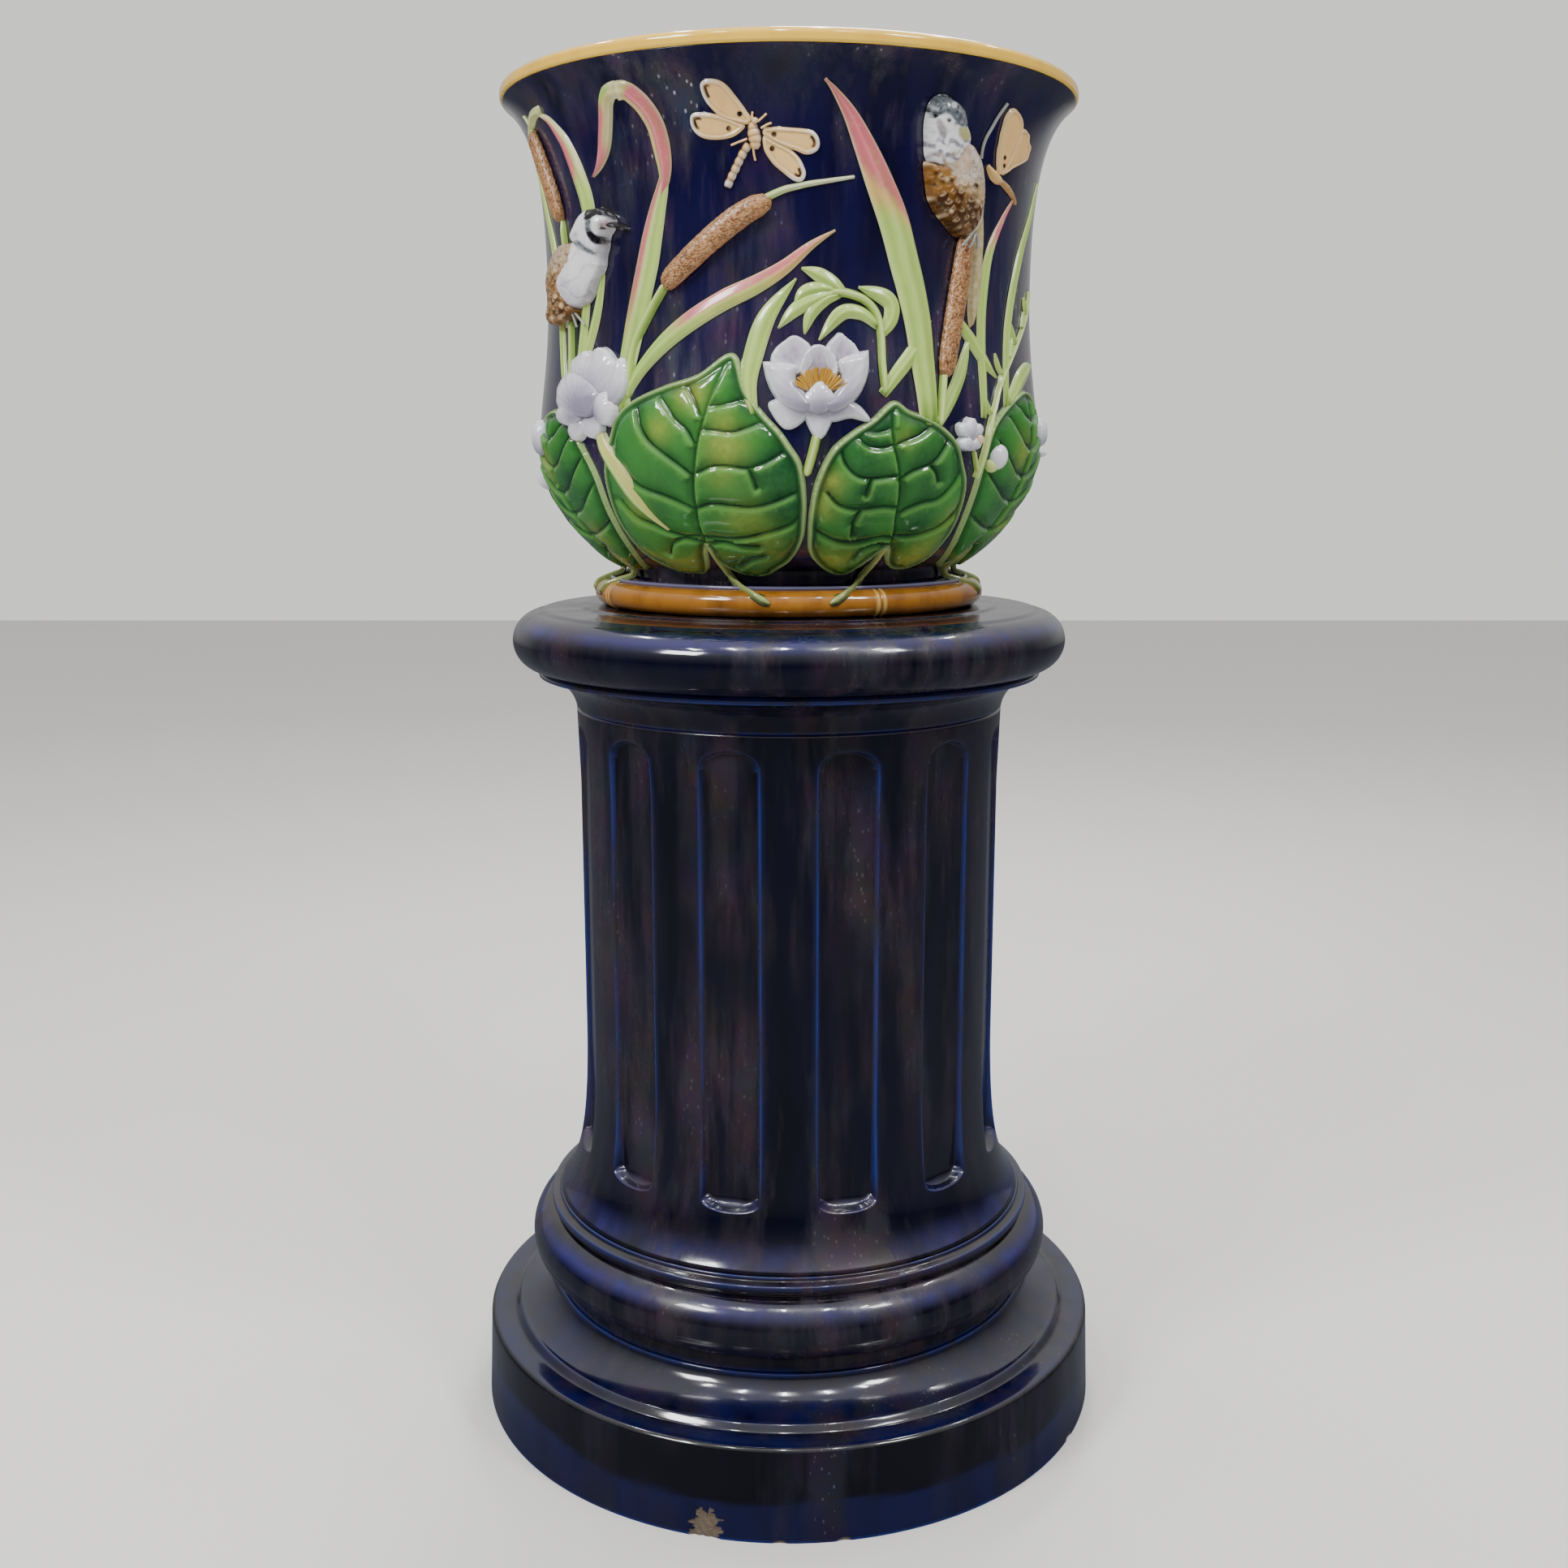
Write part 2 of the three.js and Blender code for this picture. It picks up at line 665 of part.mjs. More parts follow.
addSprig('reeds_right', REED, (grow) => joined([
  blade([[30, 122], [29, 165], [24.8, 230], [18.5, 282], [6.7, 342]], 21, grow, 3.8, 7, 0.75),
  blade([[20.4, 141], [26.6, 166], [31.5, 190]], 9, grow, 3, 3, 0.8),
  blade([[33, 122], [39, 156], [42.4, 182]], 9, grow, 3, 3, 0.8),
  blade([[40.4, 182], [45, 170], [51.2, 153]], 9, grow, 3.4, 3, 0.9),
  blade([[46, 124], [46.3, 180], [48, 230], [58.8, 282]], 9, grow, 3, 5, 0.8),
  stalk(alongSide([[33, 122], [34.2, 152]]), stalkRadius, grow, 2),
]));

addSprig('reeds_far_right', REED, (grow) => joined([
  blade([[54, 132], [57.6, 190], [64, 240], [71.4, 275], [75.4, 300]], 9, grow, 3, 5, 0.8),
  blade([[54.4, 134], [62.1, 152], [73.9, 166]], 12, grow, 4, 4, 0.7),
]));

addSprig('reeds_left', REED, (grow) => joined([
  blade([[-54, 131], [-50, 170], [-46, 200], [-43.7, 232]], 7, grow, 3, 5, 0.9),
  blade([[-54, 131], [-55, 175], [-50, 225], [-47, 265], [-53, 308], [-65.7, 342]], 9, grow, 3, 8, 0.9),
  blade([[-54, 131], [-59.5, 160], [-66, 240], [-72, 280], [-77, 310]], 8, grow, 3, 6, 0.9),
  stalk(alongSide([[-54, 131], [-57, 200], [-60, 268]]), stalkRadius, grow, 5),
]));

addSprig('short_blade', REED, (grow) => (
  blade([[-7.2, 126], [-7.6, 160], [-4.5, 191], [1.5, 216]], 12, grow, 3.4, 6, 0.8)
));

addSprig('curled_blade', REED, (grow) => (
  blade([[-41.5, 108], [-38, 88], [-34.2, 66], [-29.7, 49]], 13, grow, 8.6, 5, 0.7)
));

addSprig('arrow_frond', REED, (grow) => joined([
  stalk(
    alongSide([[20.4, 144], [19.7, 165], [17.5, 186], [12.2, 201], [7, 201]]),
    thinStalkRadius,
    grow,
  ),
  ...[
    [[12.8, 200], [9, 212], [3.5, 222]],
    [[10, 201], [6, 208], [2, 198]],
    [[9, 200], [3.5, 195], [-2.5, 181]],
    [[8, 199], [4.8, 186], [3, 178]],
    [[18.6, 178], [12.5, 184], [6, 174]],
    [[19, 176], [22.3, 190], [14.5, 207]],
  ].map((leaflet) => blade(leaflet, 7, grow, 3.2, 2, 0.9)),
]));

addSprig('cattail_middle', CATTAIL, (grow) => joined([
  plumpBody([[-27, 213], [-15.4, 244], [-3.4, 268]], [
    [0, 0.5 * cattailWidth, 0.6 * cattailProud],
    [0.1, cattailWidth, cattailProud],
    [0.88, cattailWidth, cattailProud],
    [1, 0.45 * cattailWidth, 0.6 * cattailProud],
  ], 6, grow),
  blade([[-4.5, 267], [2, 277], [13.1, 283]], 4, grow, 2.6, 3, 0.9),
]));

addSprig('cattail_right', CATTAIL, (grow) => (
  plumpBody([[34.2, 152], [37.4, 200], [40.8, 252]], [
    [0, 0.5 * cattailWidth, 0.6 * cattailProud],
    [0.1, cattailWidth, cattailProud],
    [1, cattailWidth, cattailProud],
  ], 6, grow)
));

addSprig('cattail_left', CATTAIL, (grow) => (
  plumpBody([[-60, 269], [-64.6, 300], [-68.6, 332]], [
    [0, 0.5 * cattailWidth, 0.6 * cattailProud],
    [0.12, 0.9 * cattailWidth, cattailProud],
    [0.85, 0.9 * cattailWidth, cattailProud],
    [1, 0.3 * cattailWidth, 0.5 * cattailProud],
  ], 5, grow)
));

addSprig('water_lily_open', PETAL, (grow) => joined([
  pressedPad([
    [6, 181], [0, 178], [-5, 165], [-5.5, 140], [-3, 122], [0, 112], [6, 107], [12, 112],
    [15.5, 122], [17.5, 140], [17, 165], [11, 178],
  ], [6, 146], 18, 7, 11, grow, 0.35),
  stalk(alongSide([[4.6, 90], [5.8, 110]]), stalkRadius, grow, 2),
]));

addSprig('water_lily_half', PETAL, (grow) => (
  pressedPad([
    [-46.5, 175], [-52, 172], [-57.5, 158], [-60.5, 138], [-57, 118], [-50, 104], [-44, 106],
    [-39, 122], [-36.8, 145], [-38.5, 165],
  ], [-48.5, 141], 16, 8, 14, grow, 0.4)
));

addSprig('flower_vine', REED, (grow) => joined([
  plumpBody([[44.6, 84], [47, 118], [52.8, 151], [62, 180], [74.3, 221]], [
    [0, 5, 8],
    [0.4, 4.5, 8],
    [1, 3, 5],
  ], 8, grow),
  plumpBody([[45, 88], [42.6, 103]], [[0, 4.5, 8], [1, 4.5, 8]], 2, grow),
  plumpBody([[42.6, 98], [41.6, 112], [41.2, 124]], [[0, 6, 8], [0.4, 14, 10], [1, 12, 9]], 3, grow),
  plumpBody([[45.2, 88], [49.6, 96], [51.4, 108]], [
    [0, 5, 9],
    [0.5, 19, 14],
    [0.8, 17, 13],
    [1, 7, 8],
  ], 4, grow),
]));

addSprig('bird_left', PLUMAGE, (grow) => joined([
  plumpBody([[-65.5, 190], [-63, 215], [-56, 238], [-49.5, 252], [-45, 263]], [
    [0, 8, 5],
    [0.25, 14, 9],
    [0.5, 26, 14],
    [0.72, 22, 13],
    [0.88, 20, 15],
    [1, 11, 8],
  ], 8, grow),
  blade([[-45.5, 256], [-40, 257], [-36.3, 252]], 7, grow, 7, 2, 1),
]));

addSprig('bird_right', PLUMAGE, (grow) => joined([
  plumpBody([[41, 250], [38.5, 272], [35.6, 305], [31.8, 340]], [
    [0, 9, 12],
    [0.2, 22, 15],
    [0.5, 32, 19],
    [0.72, 26, 16],
    [0.88, 24, 17],
    [1, 12, 9],
  ], 8, grow),
  blade([[41.6, 258], [44.6, 222], [45.2, 190]], 9, grow, 4, 4, 1),
]));

addSprig('dragonfly', WING, (grow) => joined([
  plumpBody([[-12.6, 277], [-8.5, 300], [-5.4, 318]], [
    [0, 3, 3],
    [0.55, 4, 4],
    [0.75, 8, 6],
    [1, 6, 5],
  ], 5, grow),
  ...[
    [[-7, 309], [-11.5, 326], [-17.2, 339], [-18.2, 331], [-14, 315]],
    [[-7, 306], [-14, 314.5], [-20.2, 317], [-20.8, 311], [-14, 303]],
    [[-7, 308], [0, 309.5], [6.3, 307], [6.6, 300], [0, 297]],
    [[-7, 303], [0.5, 297], [4, 284], [1.5, 279], [-3.5, 289]],
  ].map((wing) => pressedPad(wing, averagePlace(wing), 8, wingRim, wingCrown, grow)),
]));

addSprig('butterfly', WING, (grow) => joined([
  plumpBody([[46.6, 300], [50, 292], [55.5, 283]], [[0, 3, 3], [0.4, 6, 5], [1, 3, 3]], 3, grow),
  ...[
    [[48.6, 294], [48.4, 316], [51, 336], [54.5, 334], [55, 316], [53, 297]],
    [[51, 293], [53.5, 318], [58.5, 326], [61.5, 316], [59, 301]],
  ].map((wing) => pressedPad(wing, averagePlace(wing), 9, wingRim, wingCrown, grow)),
]));

export default jardiniereOnStand;
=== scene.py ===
# A majolica jardiniere on its fluted column stand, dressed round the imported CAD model.
# Sizes are in millimetres and turned to metres as each mesh is made. +Z is up and the front
# faces -Y. Places on the pot are (degrees round from the front, height above the cane foot).
import math
from functools import partial

import bpy
import numpy as np
from mathutils.geometry import delaunay_2d_cdt
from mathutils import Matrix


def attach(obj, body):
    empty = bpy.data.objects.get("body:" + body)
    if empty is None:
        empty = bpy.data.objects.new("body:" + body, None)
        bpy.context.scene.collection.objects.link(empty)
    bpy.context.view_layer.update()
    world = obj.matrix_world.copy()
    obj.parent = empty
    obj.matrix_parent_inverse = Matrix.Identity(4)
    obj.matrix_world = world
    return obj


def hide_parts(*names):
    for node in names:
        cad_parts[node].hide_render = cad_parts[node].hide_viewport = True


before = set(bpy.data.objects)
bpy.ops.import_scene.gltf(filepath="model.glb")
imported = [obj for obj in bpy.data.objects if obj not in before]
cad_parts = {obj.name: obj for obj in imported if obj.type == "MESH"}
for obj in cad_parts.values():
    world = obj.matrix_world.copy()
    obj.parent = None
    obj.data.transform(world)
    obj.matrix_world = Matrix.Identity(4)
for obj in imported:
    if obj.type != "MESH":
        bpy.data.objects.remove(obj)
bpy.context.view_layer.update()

# ---- The camera, at the photograph's viewing angle ----
# It stands 1.38 m in front of the axis, a little above the stand's top, and looks 11 degrees
# down.
camera_data = bpy.data.cameras.new("camera")
camera_data.lens = 38.38
camera_data.sensor_width = 36.0
camera_data.shift_x = -0.0031
camera = bpy.data.objects.new("camera", camera_data)
camera.location = (0.0, -1.3786, 0.7938)
camera.rotation_euler = (math.radians(79.0), 0.0, 0.0)
bpy.context.scene.collection.objects.link(camera)
bpy.context.scene.camera = camera


# ---- The floor and the soft studio light ----
# A plain pale floor, a pale surround, and large soft boxes above and in front of the pot.
def in_scene(name, data):
    """A new object in the scene."""
    thing = bpy.data.objects.new(name, data)
    bpy.context.scene.collection.objects.link(thing)
    return thing


def add_node(tree, kind, values=None, **settings):
    node = tree.nodes.new(kind)
    for setting, value in settings.items():
        setattr(node, setting, value)
    for socket, value in (values or {}).items():
        if isinstance(value, bpy.types.NodeSocket):
            tree.links.new(value, node.inputs[socket])
        else:
            node.inputs[socket].default_value = value
    return node


def blended(tree, share, low, high):
    return add_node(tree, "ShaderNodeMix", {0: share, 6: low, 7: high}, data_type="RGBA").outputs[2]


def worked(tree, operation, *values, clamp=False):
    values = dict(enumerate(values))
    return add_node(tree, "ShaderNodeMath", values, operation=operation, use_clamp=clamp).outputs[0]


def sloped(tree, value, gain, shift):
    """A value stretched and shifted, and held between 0 and 1."""
    return worked(tree, "MULTIPLY_ADD", value, gain, shift, clamp=True)


def noise(tree, scale, detail, **more):
    values = {"Scale": scale, "Detail": detail, **{title.title(): value for title, value in more.items()}}
    return add_node(tree, "ShaderNodeTexNoise", values).outputs[0]


def tools_for(tree):
    """The four ways of adding nodes, for one tree."""
    return [partial(tool, tree) for tool in (add_node, worked, blended, sloped)]


def new_material(name):
    """A new material, its node tree and its shader's sockets."""
    material = bpy.data.materials.new(name)
    material.use_nodes = True
    return material, material.node_tree, material.node_tree.nodes["Principled BSDF"].inputs


FLOOR_REACH = 7.0
floor_corners = [(-1, -1), (1, -1), (1, 1), (-1, 1)]
floor_mesh = bpy.data.meshes.new("studio_floor")
floor_mesh.from_pydata([(FLOOR_REACH * x, FLOOR_REACH * y, 0) for x, y in floor_corners], [],
    [(0, 1, 2, 3)])
floor = in_scene("studio_floor", floor_mesh)
floor_paint, floor_tree, floor_shader = new_material("floor_paint")
floor_shader["Roughness"].default_value = 0.75
floor_colour = blended(floor_tree, noise(floor_tree, 5.0, 3.0), (0.70, 0.69, 0.67, 1),
    (0.76, 0.75, 0.73, 1))
in_a_gloss = add_node(floor_tree, "ShaderNodeLightPath").outputs["Is Glossy Ray"]
floor_colour = blended(floor_tree, in_a_gloss, floor_colour, (0.045, 0.05, 0.065, 1))
floor_tree.links.new(floor_colour, floor_shader["Base Color"])
floor_mesh.materials.append(floor_paint)

studio = bpy.data.worlds.new("studio")
bpy.context.scene.world = studio
studio.use_nodes = True
surround = studio.node_tree.nodes["Background"].inputs
node, work, blend, slope = tools_for(studio.node_tree)
everywhere = node("ShaderNodeTexCoord").outputs["Generated"]
towards = node("ShaderNodeSeparateXYZ", {"Vector": everywhere}).outputs
ceiling = work("POWER", work("MAXIMUM", towards["Z"], 0.0), 1.5)
pale_wall = work("MULTIPLY", slope(towards["Y"], 1.6, -0.55), slope(towards["Z"], 5.0, 0.8))
room_light = blend(pale_wall, (0.045, 0.045, 0.055, 1), (0.42, 0.42, 0.42, 1))
room_light = blend(ceiling, room_light, (1.3, 1.29, 1.27, 1))
seen_directly = node("ShaderNodeLightPath").outputs["Is Camera Ray"]
room_light = blend(seen_directly, room_light, (0.98, 0.97, 0.95, 1))
studio.node_tree.links.new(room_light, surround["Color"])
surround["Strength"].default_value = 1.0

SOFT_BOXES = [
    # name, place, aimed at, width, height, watts
    ("soft_box_left", (-1.7, -1.6, 2.4), (0, 0, 0.8), 0.7, 0.5, 46),
    ("soft_box_right", (1.5, -1.3, 2.6), (0, 0, 0.9), 0.4, 0.4, 20),
    ("soft_box_behind", (0.3, 1.9, 2.5), (0, 0, 0.7), 0.7, 0.5, 30)
]
for tube in range(5):
    for row, across, away, watts in (("ceiling", -1.3, -1.15, 7), ("far", -1.1, 0.75, 5)):
        x = across + 0.62 * tube
        SOFT_BOXES.append((f"{row}_tube_{tube}", (x, away, 2.7), (x, away, 0), 0.30, 0.06, watts))
for name, place, target, width, height, watts in SOFT_BOXES:
    light = bpy.data.lights.new(name, "AREA")
    light.shape = "RECTANGLE"
    light.size = width
    light.size_y = height
    light.energy = watts
    lamp = in_scene(name, light)
    lamp.location = place
    aim = np.subtract(target, place)
    tilt = math.atan2(math.hypot(aim[0], aim[1]), -aim[2])
    lamp.rotation_euler = (tilt, 0.0, math.atan2(aim[1], aim[0]) - math.pi / 2)


# ---- The glaze that every piece is dipped in ----
# A lead glaze runs while it melts: it thins over each sharp edge, pools dark in each hollow,
# and dries with a faint ripple, streaks and pinholes.
def new_group(name, kind, takes, gives):
    """A node group with these sockets, its inner ends of them, and the tools for its tree."""
    group = bpy.data.node_groups.new(name, kind)
    for direction, sockets in (("INPUT", takes), ("OUTPUT", gives)):
        for title, sort in sockets.items():
            group.interface.new_socket(title, in_out=direction, socket_type="NodeSocket" + sort)
    given, made = group.nodes.new("NodeGroupInput"), group.nodes.new("NodeGroupOutput")
    return group, given.outputs, made.inputs, tools_for(group)


def of_sort(sort, *titles):
    return dict.fromkeys(titles, sort)


glaze_flow, wanted, made, (node, work, blend, slope) = new_group("glaze_flow", "ShaderNodeTree",
    {**of_sort("Color", "Body", "Thin", "Pooled"), **of_sort("Float", "Thinness", "Pooling", "Grain",
    "Streaks", "Pinholes")}, {"Color": "Color", "Roughness": "Float", "Height": "Float"})
spot = node("ShaderNodeTexCoord").outputs["Object"]
mottle = noise(glaze_flow, wanted["Grain"], 5.0, vector=spot, roughness=0.6)
down_the_side = node("ShaderNodeMapping", {"Vector": spot, "Scale": (38.0, 38.0, 5.0)}).outputs[0]
streak = noise(glaze_flow, 1.0, 4.0, vector=down_the_side)
thinned = work("MULTIPLY", wanted["Thinness"], work("MULTIPLY_ADD", mottle, 0.9, 0.55), clamp=True)
run = work("MULTIPLY", work("SUBTRACT", streak, 0.45), work("MULTIPLY", wanted["Streaks"], 3.0))
spots = work("MULTIPLY", work("SUBTRACT", mottle, 0.5), work("MULTIPLY", wanted["Streaks"], 1.6))
pooled = work("ADD", work("ADD", wanted["Pooling"], run), spots, clamp=True)
dipped = blend(pooled, wanted["Body"], wanted["Pooled"])
worn = blend(thinned, dipped, wanted["Thin"])
pinhole_cells = node("ShaderNodeTexVoronoi", {"Vector": spot, "Scale": 260.0}).outputs["Distance"]
pinhole = work("MULTIPLY", work("LESS_THAN", pinhole_cells, 0.09), wanted["Pinholes"])
ripple = work("MULTIPLY_ADD", mottle, 0.25, noise(glaze_flow, 26.0, 2.0, vector=spot))
for socket, value in (("Color", blend(pinhole, worn, wanted["Thin"])), ("Roughness",
    work("MULTIPLY_ADD", mottle, 0.12, 0.06)), ("Height", work("SUBTRACT", ripple,
    work("MULTIPLY", pinhole, 0.8)))):
    glaze_flow.links.new(value, made[socket])

# Where the cobalt glaze has run it carries a lilac film and clusters of pale specks. The
# film's tint turns from violet to brown and green, as a thin layer does.
kiln_haze, wanted, made, (node, work, blend, slope) = new_group("kiln_haze", "ShaderNodeTree",
    {"Color": "Color", "Film": "Color", "Haze": "Float", "Speckle": "Float"},
    {"Color": "Color", "Dulled": "Float"})
spot = node("ShaderNodeTexCoord").outputs["Object"]
drawn_out = node("ShaderNodeMapping", {"Vector": spot, "Scale": (30.0, 30.0, 4.0)}).outputs[0]
drips = noise(kiln_haze, 1.0, 6.0, vector=drawn_out, roughness=0.65)
broad = noise(kiln_haze, 6.5, 2.0, vector=spot)
patch = work("MULTIPLY", slope(drips, 6.0, -2.55), slope(broad, 4.5, -1.55))
drawn_out = node("ShaderNodeMapping", {"Vector": spot, "Scale": (1.0, 1.0, 0.55)}).outputs[0]
specks = node("ShaderNodeTexVoronoi", {"Vector": drawn_out, "Scale": 210.0}).outputs["Distance"]
clusters = work("MULTIPLY", slope(drips, 9.0, -4.5), slope(broad, 6.0, -2.7))
speck = work("MULTIPLY", slope(specks, -9.0, 2.0), clusters)
oily = node("ShaderNodeTexNoise", {"Vector": spot, "Scale": 34.0, "Detail": 3.0}).outputs["Color"]
film = node("ShaderNodeVectorMath", {0: oily, 1: wanted["Film"]}, operation="MULTIPLY").outputs[0]
film = node("ShaderNodeVectorMath", {0: film, "Scale": 2.0}, operation="SCALE").outputs[0]
filmed = blend(work("MULTIPLY", patch, wanted["Haze"]), wanted["Color"], film)
hazed = blend(work("MULTIPLY", speck, wanted["Speckle"]), filmed, (0.42, 0.36, 0.50, 1))
kiln_haze.links.new(hazed, made["Color"])
kiln_haze.links.new(work("MULTIPLY", patch, work("MULTIPLY", wanted["Haze"], 0.25)), made["Dulled"])


def hazed_over(material, flow, film, haze, speckle):
    """Lays the lilac film and specks over a glaze."""
    tree = material.node_tree
    shader = tree.nodes["Principled BSDF"].inputs
    values = {"Color": flow.outputs["Color"], "Film": (*film, 1), "Haze": haze, "Speckle": speckle}
    over = add_node(tree, "ShaderNodeGroup", values, node_tree=kiln_haze).outputs
    tree.links.new(over["Color"], shader["Base Color"])
    tree.links.new(worked(tree, "ADD", flow.outputs["Roughness"], over["Dulled"]), shader["Roughness"])
    return over


def mark(tree, name):
    """The value that a mesh carries under this name, for a material's nodes."""
    return add_node(tree, "ShaderNodeAttribute", attribute_name=name).outputs["Fac"]


def lapped_and_shaded(tree, colour):
    """The navy glaze laps up round each moulding's edge in a thin dark line, which is also painted shade
    round the piece.
    """
    return blended(tree, sloped(tree, mark(tree, "lap"), 3.0, -1.4), colour, (0.0006, 0.0005, 0.0030, 1))


def glazed(name, body, thin, pooled, grain=60.0, streaks=0.3, pinholes=0.2, relief=0.25):
    """A glossy glaze over clay; thin and pooled places come from the mesh's own marks."""
    material, tree, shader = new_material(name)
    values = {"Body": (*body, 1), "Thin": (*thin, 1), "Pooled": (*pooled, 1), "Grain": grain,
        "Thinness": mark(tree, "thin"), "Pooling": mark(tree, "pool"), "Streaks": streaks,
        "Pinholes": pinholes}
    flow = add_node(tree, "ShaderNodeGroup", values, node_tree=glaze_flow)
    bump = {"Strength": relief, "Distance": 0.002, "Height": flow.outputs["Height"]}
    tree.links.new(lapped_and_shaded(tree, flow.outputs["Color"]), shader["Base Color"])
    tree.links.new(flow.outputs["Roughness"], shader["Roughness"])
    tree.links.new(add_node(tree, "ShaderNodeBump", bump).outputs["Normal"], shader["Normal"])
    shader["Coat Weight"].default_value = 0.6
    shader["Coat Roughness"].default_value = 0.03
    return material, flow


def less_glossy(material, flow, coat, duller):
    """A glaze with less of a coat, and rougher by this much."""
    tree = material.node_tree
    shader = tree.nodes["Principled BSDF"].inputs
    shader["Coat Weight"].default_value = coat
    tree.links.new(worked(tree, "ADD", flow.outputs["Roughness"], duller), shader["Roughness"])

# ---- The plinth ----
# A drum, slightly wider at the foot, with a raised ledge, a step and a hollow that rises to
# the throat. It is turned in one piece; the foot has lost a chip and a few nicks of glaze.
PLINTH_RADIUS = 263.5
PLINTH_DRAFT = 3.0
PLINTH_HEIGHT = 75.0
PLINTH_ARRIS = 4.5
LEDGE_RADIUS = 240.0
STEP_RADIUS = 235.0
STEP_LEVEL = 80.5
THROAT_RADIUS = 202.0
PLINTH_TOP = 103.0
STAND_WALL = 12.0
TURN_STEPS = 240


def swept(*pulls, steps=16):
    """A cubic sweep from the first (radius, height) to the last."""
    start, near, far, end = (np.array(pull, float) for pull in pulls)
    t = np.linspace(0, 1, steps + 1)[:, None]
    curve = (1 - t) ** 3 * start + 3 * (1 - t) ** 2 * t * near + 3 * (1 - t) * t**2 * far + t**3 * end
    return [tuple(point) for point in curve]


def rolled(centre, level, radius, low, high, steps=24):
    """Part of a round moulding, from one angle to another."""
    angles = np.radians(np.linspace(low, high, steps + 1))
    return [(centre + radius * math.cos(a), level + radius * math.sin(a)) for a in angles]


def eased(outline, ease=1.6, step=4.0, closed=True):
    """Softens every sharp corner of an outline as thick glaze does, and spaces it evenly."""
    places = [np.array(place, float) for place in outline]
    count = len(places)
    soft = []
    for k, here in enumerate(places):
        if not closed and k in (0, count - 1):
            soft.append(here)
            continue
        before, after = places[k - 1], places[(k + 1) % count]
        into, out = here - before, after - here
        into_length, out_length = np.linalg.norm(into), np.linalg.norm(out)
        turn = math.acos(np.clip(np.dot(into, out) / (into_length * out_length), -1, 1))
        if turn < math.radians(14):
            soft.append(here)
            continue
        cut = min(ease, 0.45 * into_length, 0.45 * out_length)
        start, end = here - into / into_length * cut, here + out / out_length * cut
        for t in np.linspace(0, 1, 5):
            soft.append((1 - t) ** 2 * start + 2 * t * (1 - t) * here + t * t * end)
    spaced = []
    limit = len(soft) if closed else len(soft) - 1
    for k in range(limit):
        start, end = soft[k], soft[(k + 1) % len(soft)]
        pieces = max(1, math.ceil(np.linalg.norm(end - start) / step))
        spaced.extend(start + (end - start) * j / pieces for j in range(pieces))
    return np.array(spaced if closed else [*spaced, soft[-1]])


def edge_marks(outline, closed=True):
    """Where the glaze thins over an outline's edges, and where it pools in its hollows."""
    ahead = np.roll(outline, -1, 0) - outline
    behind = outline - np.roll(outline, 1, 0)
    lengths = np.hypot(*ahead.T)
    crossed = behind[:, 0] * ahead[:, 1] - behind[:, 1] * ahead[:, 0]
    turn = np.arctan2(crossed, (behind * ahead).sum(1))
    if not closed:
        turn[[0, -1]] = 0
    spacing = (lengths + np.roll(lengths, 1)) / 2
    walk = np.concatenate([[0], np.cumsum(lengths)[:-1]])
    gap = np.abs(walk[:, None] - walk[None, :])
    gap = np.minimum(gap, lengths.sum() - gap)
    near = np.exp(-((gap / 2.0) ** 2)) * spacing[None, :]
    wide = np.exp(-((gap / 7.0) ** 2)) * spacing[None, :]
    curl = turn / spacing
    thin = (near * np.clip(curl, 0, None)[None, :]).sum(1) / near.sum(1)
    pool = (wide * np.clip(-curl, 0, None)[None, :]).sum(1) / wide.sum(1)
    return np.clip(thin * 3.2 - 0.5, 0, 1), np.clip(pool * 9.0, 0, 0.8)


def hand_turned(radii, angles, levels):
    """A thrower's hand never leaves a true circle: the radius strays by a fraction of a mm."""
    stray = 0.0007 * np.sin(2 * angles + 0.6) + 0.0005 * np.sin(3 * angles - 1.1 + levels / 70)
    stray = stray + 0.0004 * np.sin(7 * angles + levels / 23)
    return radii * (1 + stray)


def meshed(name, points, faces, marks):
    """A smooth mesh in metres, from points in millimetres, that carries its marks."""
    mesh = bpy.data.meshes.new(name)
    mesh.from_pydata((np.asarray(points) * 0.001).tolist(), [], faces)
    mesh.polygons.foreach_set("use_smooth", [True] * len(mesh.polygons))
    for title, values in marks.items():
        layer = mesh.attributes.new(title, "FLOAT", "POINT")
        layer.data.foreach_set("value", np.asarray(values, np.float32))
    return mesh


def finished(name, points, faces, body, node, materials, marks, face_slots=None):
    """A finished piece, riding on its body and standing for its node."""
    mesh = meshed(name, points, faces, marks)
    for material in materials:
        mesh.materials.append(material)
    if face_slots is not None:
        mesh.polygons.foreach_set("material_index", face_slots)
    piece = in_scene(name, mesh)
    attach(piece, body)
    if node:
        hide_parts(node)
    return piece


def band(low, high, count):
    """The faces between two rings of points, which start at these two."""
    return [(low + k, low + (k + 1) % count, high + (k + 1) % count, high + k) for k in range(count)]


def end_fans(foot, top, low, high, count):
    """The faces from a pole to the first ring of points, and from the other pole to the last."""
    faces = []
    for k in range(count):
        beside = (k + 1) % count
        faces += [(foot, low + beside, low + k), (top, high + k, high + beside)]
    return faces


